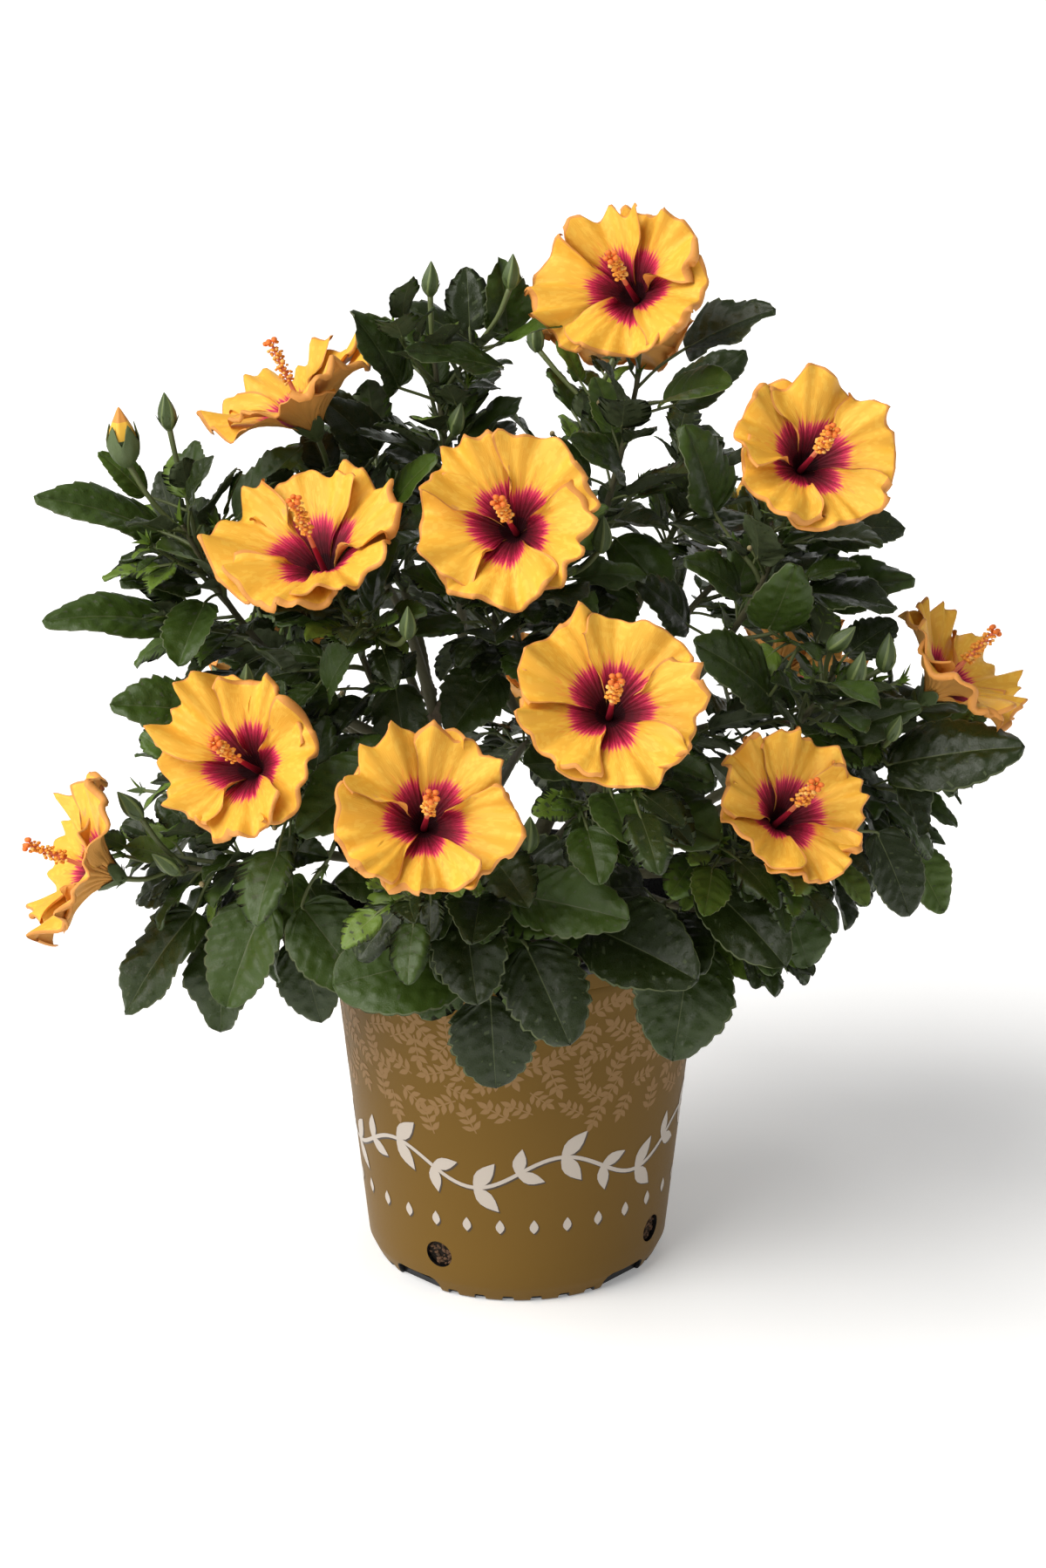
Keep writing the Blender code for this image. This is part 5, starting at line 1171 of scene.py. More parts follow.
# ---- meshes ----
class Sheaf:
    """Gathers many small shapes into one mesh whose faces each have a finish."""

    def __init__(self, finishes):
        self.finishes = list(finishes)
        self.points, self.rings, self.ring_finish, self.places = [], [], [], []
        self.count = 0

    def add(self, points, faces, finish, place=None):
        """Adds a shape. finish is one name, or one for each face; place is a UV for each point."""
        points = np.asarray(points, float).reshape(-1, 3)
        self.points.append(points)
        self.places.append(np.zeros((len(points), 2)) if place is None else np.asarray(place, float))
        for face in faces:
            self.rings.append([corner + self.count for corner in face])
        names = [finish] * len(faces) if isinstance(finish, str) else finish
        self.ring_finish += [self.finishes.index(name) for name in names]
        self.count += len(points)

    def make(self, name, nodes=(), mapped=False):
        """The gathered mesh as one piece that rides on the plant's body."""
        mesh = bpy.data.meshes.new(name)
        sizes = np.array([len(ring) for ring in self.rings])
        corners_of = np.concatenate([np.array(ring) for ring in self.rings])
        points = np.concatenate(self.points)
        mesh.vertices.add(len(points))
        mesh.vertices.foreach_set("co", points.astype(np.float32).ravel())
        mesh.loops.add(len(corners_of))
        mesh.loops.foreach_set("vertex_index", corners_of.astype(np.int32))
        mesh.polygons.add(len(sizes))
        starts = np.concatenate([[0], np.cumsum(sizes)[:-1]])
        mesh.polygons.foreach_set("loop_start", starts.astype(np.int32))
        for finish in self.finishes:
            mesh.materials.append(finish_of(finish))
        mesh.polygons.foreach_set("material_index", np.array(self.ring_finish, np.int32))
        mesh.update(calc_edges=True)
        if mapped:
            layer = mesh.uv_layers.new(name="along")
            layer.data.foreach_set("uv", np.concatenate(self.places)[corners_of].astype(np.float32).ravel())
        mesh.shade_smooth()
        return place_piece(name, mesh, nodes)


def place_piece(name, mesh, nodes=()):
    """A mesh as a piece of the plant's body, in place of the nodes named."""
    made = bpy.data.objects.new(name, mesh)
    link(made)
    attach(made, "root")
    if nodes:
        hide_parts(*nodes)
    return made


def unit(vectors):
    """Vectors scaled to a length of one."""
    return vectors / np.linalg.norm(vectors, axis=-1, keepdims=True)


def link(made):
    bpy.context.scene.collection.objects.link(made)


def array(vectors):
    return np.array([tuple(vector) for vector in vectors], float)


def smooth(path, radii, steps):
    """A finer path through the same places, with the radii carried along."""
    places = array(path)
    widths = np.asarray(radii, float)
    padded = np.vstack([2 * places[0] - places[1], places, 2 * places[-1] - places[-2]])
    fine, fine_widths = [], []
    for index in range(len(places) - 1):
        before, here, there, after = padded[index:index + 4]
        for step in range(steps):
            t = step / steps
            curve = 2 * here + (there - before) * t
            curve += (2 * before - 5 * here + 4 * there - after) * t * t
            curve += (3 * here - before - 3 * there + after) * t ** 3
            fine.append(curve / 2)
            fine_widths.append(widths[index] * (1 - t) + widths[index + 1] * t)
    fine.append(places[-1])
    fine_widths.append(widths[-1])
    return np.array(fine), np.array(fine_widths)


def rings_along(path):
    """Two steady unit vectors at right angles to the path, at each of its points."""
    ways = np.gradient(path, axis=0)
    ways /= np.linalg.norm(ways, axis=1)[:, None] + 1e-12
    sides = np.zeros_like(ways)
    side = np.cross(ways[0], (0.0, 0.0, 1.0))
    if np.linalg.norm(side) < 0.1:
        side = np.cross(ways[0], (0.0, 1.0, 0.0))
    for index, way in enumerate(ways):
        side = side - way * np.dot(side, way)
        side /= np.linalg.norm(side)
        sides[index] = side
    return sides, np.cross(ways, sides)


def round_stem(path, radii, sides, relief=0.0):
    """A closed stem: relief gives each ring's corners a share to add to the radius."""
    side, other = rings_along(path)
    turns = np.arange(sides) * 2 * math.pi / sides
    out = side[:, None, :] * np.cos(turns)[None, :, None]
    out = out + other[:, None, :] * np.sin(turns)[None, :, None]
    widths = np.broadcast_to(np.asarray(radii)[:, None] * (1.0 + relief), (len(path), sides))
    points = (path[:, None, :] + out * widths[:, :, None]).reshape(-1, 3)
    return points, ring_faces(len(path), sides) + end_faces(len(path), sides)


def ball(centre, radius, rows=4, sides=6, stretch=(1.0, 1.0, 1.0)):
    """A small round knob."""
    points = [(0.0, 0.0, -1.0)]
    for row in range(1, rows):
        tilt = math.pi * row / rows
        wide = math.sin(tilt)
        for corner in range(sides):
            turn = 2 * math.pi * (corner + 0.5 * (row % 2)) / sides
            points.append((wide * math.cos(turn), wide * math.sin(turn), -math.cos(tilt)))
    points.append((0.0, 0.0, 1.0))
    top = len(points) - 1
    last = top - sides
    faces = [(0, 1 + (corner + 1) % sides, 1 + corner) for corner in range(sides)]
    faces += ring_faces(rows - 1, sides, 1)
    faces += [(last + corner, last + (corner + 1) % sides, top) for corner in range(sides)]
    return np.asarray(centre) + np.array(points) * radius * np.array(stretch), faces


# ---- leaves ----
class BladePattern:
    """The grid that every blade is bent from: rows follow its veins, columns run beside the midrib."""

    def __init__(self, teeth, columns, edged):
        self.edged = edged
        base = np.linspace(BLADE_FIRST_ROW, BLADE_BASE, BASE_ROWS, endpoint=False)
        pitch = (BLADE_LAST_ROW - BLADE_BASE) / teeth
        rows = [BLADE_BASE + pitch * (tooth + part) for tooth in range(teeth) for part in TOOTH_ROWS]
        self.along = np.concatenate([base, rows])
        self.sharp = np.array([0.0] * BASE_ROWS + list(SHARP_BITE) * teeth)
        self.round = np.array([0.0] * BASE_ROWS + list(ROUND_BITE) * teeth)
        self.lift = np.array([0.5 * (row % 2) for row in range(BASE_ROWS)] + list(TOOTH_LIFT) * teeth)
        self.across = np.array(columns)
        self.faces, self.kinds = self.grid_faces()

    def upper(self, row, column):
        """The number of a point on the upper side."""
        return row * len(self.across) + column

    def under(self, row, column):
        """The number of a point on the underside, which shares the upper side's rim."""
        wide = len(self.across)
        if column in (0, wide - 1):
            return self.upper(row, column)
        return len(self.along) * wide + 1 + row * (wide - 2) + column - 1

    def grid_faces(self):
        """Faces of both sides and of the edge at the foot, and what kind each is."""
        last, tip = len(self.along) - 1, len(self.along) * len(self.across)
        upper, under = self.upper, self.under
        faces, kinds = [], []
        for column in range(len(self.across) - 1):
            beside = column + 1
            kind = self.column_kind(column)
            for row in range(last):
                ahead = row + 1
                faces.append((upper(row, column), upper(row, beside),
                              upper(ahead, beside), upper(ahead, column)))
                faces.append((under(row, beside), under(row, column),
                              under(ahead, column), under(ahead, beside)))
                kinds += [kind, "under_rib" if kind == "rib" else "under"]
            faces.append((upper(last, column), upper(last, beside), tip))
            faces.append((under(last, beside), under(last, column), tip))
            faces.append(self.foot_face(column))
            kinds += [kind, "under", "under"]
        return faces, kinds

    def foot_face(self, column):
        """A face of the edge at the foot, three-cornered where it meets the rim."""
        rim = len(self.across) - 1
        if column == 0:
            return self.upper(0, 1), self.upper(0, 0), self.under(0, 1)
        if column == rim - 1:
            return self.upper(0, column), self.upper(0, rim), self.under(0, column)
        beside = column + 1
        return self.upper(0, beside), self.upper(0, column), self.under(0, column), self.under(0, beside)

    def column_kind(self, column):
        wide = len(self.across)
        if column == wide // 2 - 1:
            return "rib"
        if self.edged and column in (0, wide - 2):
            return "edge"
        return "blade"


def blade_points(leaf, pattern, luck):
    """The points of one leaf's blade, bent from the pattern."""
    along, face, foot = np.array(leaf.along), np.array(leaf.face), np.array(leaf.foot)
    side = unit(np.cross(along, face))
    u, y = blade_outline(leaf, pattern, luck)
    z, hook = blade_relief(leaf, pattern, u, y, luck)
    x = u * leaf.length
    grid = foot + x[..., None] * along + y[..., None] * side + z[..., None] * face
    tip = foot + along * leaf.length - face * float(hook.max()) * 1.1
    under = grid[:, 1:-1] - face * LEAF_THICKNESS * leaf.length
    return np.vstack([grid.reshape(-1, 3), tip[None, :], under.reshape(-1, 3)])


def blade_outline(leaf, pattern, luck):
    """Where the points are along the blade, as shares of its length, and across it in metres."""
    t, v = pattern.along[:, None], pattern.across[None, :]
    reach = np.abs(v)
    low_down = min(1.0, max(0.0, (ROUND_LEAVES_BELOW - leaf.foot.z) / ROUND_LEAVES_FADE))
    roundness = min(1.0, max(0.0, luck.uniform(-0.2, 0.7) + 0.5 * low_down))
    full = np.sqrt(np.clip(1.0 - (2.0 * pattern.along ** 0.86 - 1.0) ** 2, 0.0, 1.0))
    ovate = np.array([leaf_half_width(u) for u in pattern.along])
    half = (0.5 * leaf.width * (ovate + (full - ovate) * 0.75 * roundness))[:, None]
    bite = (pattern.sharp * (1.0 - roundness) + pattern.round * roundness)[:, None]
    depth = luck.uniform(*TOOTH_DEPTH)
    uneven = np.array([luck.uniform(*TOOTH_UNEVEN) for _ in pattern.along])[:, None]
    midrib = np.clip((t - VEIN_LAG) / (1.0 - VEIN_LAG), 0.0, 1.0) + 0.012 * t
    lobe = luck.uniform(*BASE_LOBE) * np.sin(math.pi * np.clip(t / BLADE_BASE / 1.25, 0.0, 1.0))
    margin = t - lobe + TOOTH_LEAN * bite * (1.0 - roundness)
    u = midrib + (margin - midrib) * reach ** 1.2
    y = v * half * (1.0 + depth * uneven * bite * reach ** 3)
    rib = RIB_WIDTH * leaf.length * (1.1 - t)
    return u, np.where(reach < RIB_REACH, np.sign(v) * np.minimum(rib, half * 0.5), y)


def blade_relief(leaf, pattern, u, y, luck):
    """How far each point stands off the blade's plane, and how far each row hooks down."""
    t, v = pattern.along[:, None], pattern.across[None, :]
    reach, lift = np.abs(v), pattern.lift[:, None]
    bow = leaf.arch * (u - u * u) * leaf.length
    rise = leaf.fold * np.abs(y)
    field = np.clip(reach * (1.02 - reach) * 4.0, 0.0, 1.0)
    lumps = np.array([[luck.uniform(-1.0, 1.0) for _ in pattern.across] for _ in pattern.along])
    quilt = leaf.length * field * (QUILT * lift + LUMP * lumps * (0.3 + lift))
    phase, turns = luck.uniform(0, FULL_TURN), luck.uniform(*WAVE_TURNS)
    wave = luck.uniform(*EDGE_WAVE) * leaf.length * reach ** 2
    wave = wave * np.sin(turns * FULL_TURN * t + phase + np.sign(v) * luck.uniform(*WAVE_SHIFT))
    curl = luck.uniform(*EDGE_CURL) * leaf.length * reach ** 4
    hook = luck.uniform(*TIP_HOOK) * leaf.length * np.clip(t - 0.55, 0.0, 1.0) ** 2 * 4.0
    lie = np.where(reach < RIB_REACH, -RIB_DEPTH * leaf.length, quilt)
    return bow + rise + lie + wave - curl - hook, hook


def leaf_green(leaf, luck):
    """The green of a leaf: small young leaves near the tips are fresh, big ones dark."""
    size = leaf.length / LEAF_LENGTH[0]
    fresh = luck.random() + 0.9 * (0.55 - size)
    height = (leaf.foot.z - 0.3) / 0.45
    if fresh > FRESH_ABOVE:
        return "leaf_fresh"
    if fresh > BRIGHT_ABOVE:
        return "leaf_bright"
    if luck.random() < 0.25 + 0.25 * height:
        return "leaf_mid"
    return "leaf_deep" if luck.random() < DEEP_SHARE else "leaf_dark"


def leaf_names(green):
    """The finish of each kind of face on a leaf of a green."""
    pale = "leaf_rim_fresh" if green in ("leaf_fresh", "leaf_bright") else "leaf_rim"
    return {"blade": green, "rib": pale, "edge": pale, "under": "leaf_under", "under_rib": "leaf_under_rib"}


def make_leaves(plant):
    """The main leaves in full detail, and the finer ones among them in less."""
    numbered = list(enumerate(plant.leaves))
    near, inner = numbered[:plant.main_leaves], numbered[plant.main_leaves:]
    make_leaf_pieces("leaves_near", near, BladePattern(NEAR_TEETH, FINE_COLUMNS, True))
    make_leaf_pieces("leaves_inner", inner, BladePattern(INNER_TEETH, COARSE_COLUMNS, False))


def make_leaf_pieces(name, leaves, pattern):
    """Leaves of one pattern, joined into as few pieces as the triangle limit allows."""
    nodes = ["foliage_" + limb.mass for limb in LIMBS]
    batch = max(1, PIECE_TRIANGLES // (2 * len(pattern.faces)))
    for start in range(0, len(leaves), batch):
        sheaf = Sheaf(LEAF_FINISHES)
        for number, leaf in leaves[start:start + batch]:
            luck = random.Random(SEED * 1000 + number)
            names = leaf_names(leaf_green(leaf, luck))
            points = blade_points(leaf, pattern, luck)
            sheaf.add(points, pattern.faces, [names[kind] for kind in pattern.kinds])
        sheaf.make("%s_%d" % (name, start // batch + 1), nodes)


# ---- stems ----
def make_twigs(plant):
    """Shoots, petioles, flower stalks and the bare stalks of old blooms."""
    sheaf = Sheaf(("green_bark", "shoot_green", "petiole", "knob"))
    for shoot in plant.shoots:
        path, radii = smooth(shoot.path, shoot.radii, 4)
        relief = SHOOT_RELIEF * np.sin(np.arange(len(path)) * 2.1)[:, None]
        finish = "green_bark" if max(shoot.radii) > WOODY_SHOOT else "shoot_green"
        sheaf.add(*round_stem(path, radii, STALK_SIDES, relief), finish)
    for leaf in plant.leaves:
        radius = PETIOLE_RADIUS * (0.75 + 0.35 * leaf.length / LEAF_LENGTH[0])
        reach = list(leaf.stalk) + [leaf.foot + leaf.along * 0.004]
        path, radii = smooth(reach, [radius * 1.15] + [radius] * (len(reach) - 2) + [radius * 0.5], 3)
        sheaf.add(*round_stem(path, radii, PETIOLE_SIDES), "petiole")
    for stalked in plant.buds + plant.flowers:
        path, radii = smooth(stalked.stalk, taper(stalked.stalk, PEDUNCLE_RADIUS, PEDUNCLE_END), 4)
        sheaf.add(*round_stem(path, radii, STALK_SIDES), "petiole")
    for stalk in plant.old_stalks:
        path, radii = smooth(stalk, OLD_STALK_RADII, 5)
        sheaf.add(*round_stem(path, radii, 6), "petiole")
        sheaf.add(*ball(path[-1], OLD_STALK_KNOB, 5, 8), "knob")
    sheaf.make("twigs_and_stalks")


def make_bark(plant):
    """Trunk and boughs with their forks, ribs and leaf scars."""
    sheaf = Sheaf(("bark", "green_bark"))
    grain = random.Random(SEED)
    for name, (path, radii) in plant.boughs.items():
        is_trunk = name == "trunk"
        places, widths = list(path), list(radii)
        if not is_trunk:
            root, end, radius = plant.stubs[name]
            places = [root, root.lerp(end, 0.55)] + places
            widths = [radius * 1.5, radius * 1.22] + widths
        line, line_widths = smooth(places, widths, TRUNK_STEPS if is_trunk else BOUGH_STEPS)
        sides = TRUNK_CORNERS if is_trunk else BOUGH_CORNERS
        relief = bark_relief(len(line), sides, is_trunk, grain)
        points, faces = round_stem(line, line_widths, sides, relief)
        green_from = int(len(line) * GREEN_FROM) * sides
        names = ["bark" if is_trunk or face[0] < green_from else "green_bark" for face in faces]
        sheaf.add(points, faces, names)
    nodes = ["trunk"] + ["bough_" + limb.mass for limb in LIMBS]
    sheaf.make("bark_relief", nodes)


def bark_relief(count, sides, flared, grain):
    """Shares to add to the radius: ribs, grain and leaf scars, and the trunk's root flare."""
    turns = np.arange(sides) * 2 * math.pi / sides
    rows = np.arange(count)[:, None]
    phase = grain.uniform(0, FULL_TURN)
    relief = 0.045 * np.sin(3 * turns + phase + rows * 0.35) + 0.03 * np.sin(7 * turns - rows * 0.8)
    relief += np.array([[grain.gauss(0, BARK_GRAIN) for _ in turns] for _ in range(count)])
    relief = relief + np.exp(-((rows % 7) - 3.0) ** 2 / 0.8) * SCAR_RISE
    if flared:
        relief = relief + np.exp(-rows / 3.0) * ROOT_FLARE * np.maximum(0.0, np.sin(4 * turns + phase))
    return relief


def sepal(foot, along, face, length, width, fold=0.5, rows=4):
    """A narrow pointed blade, such as a bract, with its underside."""
    foot, along, face = np.array(foot), np.array(along), np.array(face)
    side = unit(np.cross(along, face))
    points = []
    for layer in (0.0, -SEPAL_THICKNESS):
        for row in range(rows):
            t = row / rows
            half = 0.5 * width * (1.0 - t) ** 0.7 * (1.0 + 0.6 * math.sin(math.pi * t))
            bend_back = length * SEPAL_BEND * t * t
            for v in (-1.0, 0.0, 1.0):
                lift = fold * abs(v) * half - bend_back + layer * (1.0 - abs(v))
                points.append(foot + along * length * t + side * v * half + face * lift)
        points.append(foot + along * length - face * length * SEPAL_BEND)
    return points, sepal_faces(rows)


def sepal_faces(rows):
    """Faces of both sides of a sepal, each a strip three points wide that ends in a tip."""
    each = rows * 3 + 1
    faces = []
    for row in range(rows - 1):
        for here in (row * 3, row * 3 + 1):
            faces.append((here, here + 1, here + 4, here + 3))
            faces.append((each + here + 1, each + here, each + here + 3, each + here + 4))
    last = (rows - 1) * 3
    for here in (last, last + 1):
        faces.append((here, here + 1, each - 1))
        faces.append((each + here + 1, each + here, 2 * each - 1))
    return faces


def make_tips(plant):
    """Tufts of narrow bracts and young leaves at the shoots' tips."""
    finishes = ("bract", "leaf_fresh", "leaf_bright")
    sheaf = Sheaf(finishes)
    for shoot in plant.shoots:
        luck = random.Random(SEED * 77 + shoot.number)
        tip = shoot.path[-1]
        way = (shoot.path[-1] - shoot.path[-2]).normalized()
        side = across(way)
        for number in range(luck.randint(*TUFT_COUNT)):
            out = swing(side, way.cross(side), GOLDEN_TURN * number)
            spread = luck.uniform(*TUFT_SPREAD)
            along = (way + out * spread).normalized()
            look = (way - along * way.dot(along) - out * 0.01).normalized()
            length = luck.uniform(*TUFT_LENGTH) * (1.15 - 0.5 * spread)
            finish = luck.choice(finishes)
            root = tip - way * luck.uniform(0.0, 0.004)
            sheaf.add(*sepal(root, along, look, length, length * luck.uniform(*TUFT_WIDTH)), finish)
    sheaf.make("shoot_tips")


# ---- blooms ----
def petal_arc():
    """Shares of the petal's own length at the points of its profile."""
    spots = np.array([(radius * MEAN_HALF_BLOOM, rise * BLOOM_DEPTH) for radius, rise in PETAL_PROFILE])
    steps = np.linalg.norm(np.diff(spots, axis=0), axis=1)
    arc = np.concatenate([[0.0], np.cumsum(steps)])
    return arc / arc[-1]


def bloom_axes(flower):
    """The way a bloom faces, and two directions across it."""
    axis = np.array(flower.axis)
    side = np.array(across(flower.axis))
    return axis, side, np.cross(axis, side)


def petal_columns():
    """Places across a petal, from its under edge at -1 to its over edge at 1."""
    inner = np.linspace(-0.93, 0.93, PETAL_COLUMNS - 4)
    return np.concatenate([[-1.0, -0.97], inner, [0.97, 1.0]])


def margin_scallops(v, luck):
    """1 where the margin is rolled back between its points, 0 at the points."""
    turns = luck.uniform(0.85, 1.6)
    place = v + 0.22 * np.sin(2.6 * v + luck.uniform(0.0, 2 * math.pi))
    wave = np.sin(turns * math.pi * place + luck.uniform(0.0, math.pi)) ** 2
    small = 0.5 + 0.5 * np.sin(luck.uniform(4.0, 6.5) * math.pi * v + luck.uniform(0.0, 2 * math.pi))
    return (wave + POINT_ROUNDNESS) ** 0.58 * (0.70 + 0.30 * small)


class Petal:
    """One petal of a bloom, with its own length, ruffles and folds."""

    def __init__(self, flower, centre, hand, luck):
        self.base, self.centre, self.hand = np.array(flower.base), centre, hand
        self.axis, self.side, self.other = bloom_axes(flower)
        self.half = PETAL_GROWTH * flower.diameter / 2
        self.across = petal_columns()
        self.phases = [luck.uniform(0, FULL_TURN) for _ in range(7)]
        self.ruffle = luck.uniform(*RUFFLE)
        self.edge_ruffle = luck.uniform(*EDGE_RUFFLE)
        self.rolled_back = margin_scallops(self.across, luck)
        bluntness = 1.0 - 0.11 * np.abs(self.across) ** 3.0
        reach = bluntness * (1.02 - luck.uniform(*SCALLOP) * self.rolled_back)
        self.reach = reach * luck.uniform(*PETAL_LENGTHS)
        spikes = [luck.uniform(*FEATHER_LENGTH) * (-1) ** step for step in range(len(self.across))]
        feather = EYE_FEATHER * np.array(spikes) + 0.016 * np.sin(4.0 * self.across + self.phases[5])
        self.feather = feather - 0.085 * self.across ** 2 + 0.02
        self.hook = luck.choice(HOOKS)
        self.hook_place = luck.uniform(*HOOK_PLACE)
        self.waves = luck.uniform(*RUFFLE_WAVES)
        self.crinkle, self.crinkles = luck.uniform(*CRINKLE), luck.uniform(*CRINKLE_WAVES)

    def points_at(self, shares):
        """Points of the upper side, for each share of the length and each place across."""
        v, phases = self.across, self.phases
        eye = np.clip((shares - 0.12) / 0.2, 0.0, 1.0) * np.clip((0.82 - shares) / 0.2, 0.0, 1.0)
        t = shares[:, None] * (1.0 + (self.reach[None, :] - 1.0) * shares[:, None] ** 2)
        t = t + eye[:, None] * self.feather[None, :]
        edge = np.abs(v)[None, :] ** 7
        grow = np.clip((t - 0.16) / 0.34, 0.0, 1.0)
        over = np.maximum(0.0, (v - 0.62) / 0.38)[None, :] ** 2
        lobe = self.hook * np.exp(-((t - self.hook_place) / 0.085) ** 2)
        angle = v[None, :] * np.radians(np.interp(shares, *PETAL_SPREAD))[:, None]
        angle = angle + 0.06 * t * np.sin(2.2 * v + phases[2])
        angle = angle + edge * 0.055 * np.sin(12.0 * t + phases[6]) * np.minimum(1.0, 2 * t)
        angle = self.centre + self.hand * (angle - over * lobe * HOOK_SWING)
        out = self.side * np.cos(angle)[..., None] + self.other * np.sin(angle)[..., None]
        lift = self.lift(t, edge, grow) + over * (lobe + OVERLAP_LIFT * grow)
        radius_share, rise_share = np.array(PETAL_PROFILE).T
        x = np.interp(t, petal_arc(), radius_share)
        rise = np.interp(t, petal_arc(), rise_share) * BLOOM_DEPTH
        slope = np.clip(x * 1.15, 0.0, 1.0)
        radial = self.half * x - lift * (1.0 - slope)
        up = rise + lift * (0.35 + 0.65 * slope)
        return self.base + out * radial[..., None] + self.axis * up[..., None]

    def lift(self, t, edge, grow):
        """How far the tilt, ruffles, pleats and crinkles raise each point."""
        v, phases = self.across, self.phases
        lift = PETAL_TILT * v[None, :] * grow
        lift = lift + self.ruffle * t ** 3 * np.sin(self.waves * math.pi * v + phases[3])
        lift = lift + self.ruffle * t ** 6 * 0.6 * np.sin(2.9 * self.waves * math.pi * v + phases[4])
        lift = lift + self.ruffle * 0.55 * t ** 4 * (0.5 - self.rolled_back)[None, :]
        lift = lift + PLEAT * np.sin(8.5 * math.pi * v + phases[0]) * np.sin(math.pi * np.clip(t, 0, 1))
        lift = lift + edge * self.edge_ruffle * np.sin(10.0 * t + phases[1]) * grow
        return lift + self.crinkle * t ** 9 * np.sin(self.crinkles * math.pi * v + phases[0])

    def sheet(self, luck):
        """A grid of points on the upper side, ending in the rows of the rolled margin."""
        rows = np.array(PETAL_ROWS)
        flat = self.points_at(rows)
        rim = flat[-1]
        tangent = unit(rim - self.points_at(rows[-1:] - 0.012)[0])
        normal = unit(np.cross(tangent, np.gradient(rim, axis=0)))
        normal *= np.sign(normal @ self.axis)[:, None]
        amount = (0.30 + 0.70 * self.rolled_back)[:, None]
        wider = np.exp(-((self.across - luck.uniform(-0.9, 0.9)) / 0.40) ** 2)[:, None]
        roll = luck.uniform(*ROLL_RADIUS) * (0.55 + 0.45 * amount + 0.9 * wider)
        curled = []
        for share in ROLL_ROWS:
            turn = ROLL_TURN * share * amount
            curled.append(rim + tangent * roll * np.sin(turn) - normal * roll * (1 - np.cos(turn)))
        return np.concatenate([flat, curled])


def sheet_normals(sheet):
    """Unit vectors square to a grid of points."""
    normal = np.cross(np.gradient(sheet, axis=0), np.gradient(sheet, axis=1))
    return normal / (np.linalg.norm(normal, axis=2)[..., None] + 1e-12)


def grid_rings(rows, columns, flip):
    """Faces of a grid of points."""
    rings = []
    for row in range(rows - 1):
        for column in range(columns - 1):
            here = row * columns + column
            ring = (here, here + 1, here + columns + 1, here + columns)
            rings.append(ring[::-1] if flip else ring)
    return rings


def petal_finish_at(row, column, columns, feather, luck):
    """The finish of one face of a petal's upper side."""
    if row >= len(PETAL_ROWS) - 1:
        return "petal_rim"
    share = 0.5 * (PETAL_ROWS[row] + PETAL_ROWS[row + 1]) + feather[column] * 0.5
    if column >= columns - 2 and share > 0.46:
        return "petal_rim"
    for limit, name in PETAL_ZONES:
        if share < limit:
            return name
    if share < 0.62 and luck.random() < 0.35:
        return "petal_amber"
    return "petal_light" if luck.random() < 0.30 else "petal_gold"


def add_petals(flower, sheaf, luck):
    """Five petals. One hand of each bloom decides which edge lies over the next petal."""
    hand = 1 if flower.turn < LEFT_HANDED_FROM else -1
    for number in range(PETAL_COUNT):
        centre = flower.turn + 2 * math.pi * number / PETAL_COUNT + luck.uniform(-0.06, 0.06)
        sheet = Petal(flower, centre, hand, luck).sheet(luck)
        add_petal_sides(sheet, np.array(flower.axis), sheaf, luck)


def add_petal_sides(sheet, axis, sheaf, luck):
    """The upper side of a petal, and a coarser underside that shares its edges."""
    rows, columns = sheet.shape[:2]
    normals = sheet_normals(sheet)
    flip = np.mean(normals[3:20] @ axis) < 0
    if flip:
        normals = -normals
    feather = [luck.gauss(0.0, EYE_FEATHER) for _ in range(columns)]
    names = [petal_finish_at(row, column, columns, feather, luck)
             for row in range(rows - 1) for column in range(columns - 1)]
    grid = np.meshgrid(np.linspace(0.0, 1.0, columns), np.linspace(0.0, 1.0, rows))
    place = np.stack(grid, axis=2)
    sheaf.add(sheet, grid_rings(rows, columns, flip), names, place.reshape(-1, 2))
    under = (sheet - normals * PETAL_THICKNESS)[::2]
    under[-1], under[:, 0], under[:, -1] = sheet[-1], sheet[::2, 0], sheet[::2, -1]
    rings = grid_rings(len(under), columns, not flip)
    rim_starts = (len(under) - 2) * (columns - 1)
    backs = ["petal_back"] * rim_starts + ["petal_rim"] * (columns - 1)
    sheaf.add(under, rings, backs, place[::2].reshape(-1, 2))


def add_pistil(flower, sheaf, luck):
    """The column in the middle: a tube with anthers round its upper part and five stigma pads."""
    axis, side, other = bloom_axes(flower)
    spots = [np.array(flower.base) + axis * reach + (0, 0, rise) for reach, rise in COLUMN_SPOTS]
    path, radii = smooth(spots, COLUMN_RADII, 8)
    points, faces = round_stem(path, radii, COLUMN_SIDES)
    cut = len(path) * COLUMN_SIDES * COLUMN_RED_SHARE
    sheaf.add(points, faces, ["column_red" if face[0] < cut else "column_pink" for face in faces])
    for number in range(ANTHERS):
        share = 0.60 + 0.38 * (number + luck.random()) / ANTHERS
        spot = path[min(len(path) - 1, int(share * len(path)))]
        add_anther(spot, swing(side, other, GOLDEN_TURN * number), axis, 1.3 - 0.5 * share, sheaf, luck)
    for number in range(STIGMA_COUNT):
        out = swing(side, other, 2 * math.pi * number / STIGMA_COUNT + flower.turn)
        add_stigma(path[-1], out, axis, sheaf)


def add_anther(spot, out, axis, stretch, sheaf, luck):
    """A thin stalk off the column, with a knob of pollen at its end."""
    length = luck.uniform(*FILAMENT_LENGTH) * stretch
    end = spot + out * length + axis * length * luck.uniform(-0.1, 0.5)
    sheaf.add(*round_stem(np.array([spot, end]), FILAMENT_RADII, 3), "column_pink")
    size = luck.uniform(*ANTHER_SIZE)
    finish = "anther" if luck.random() < 0.7 else "anther_pale"
    sheaf.add(*ball(end, size, 3, 5, (1.0, 1.0, 0.75)), finish)


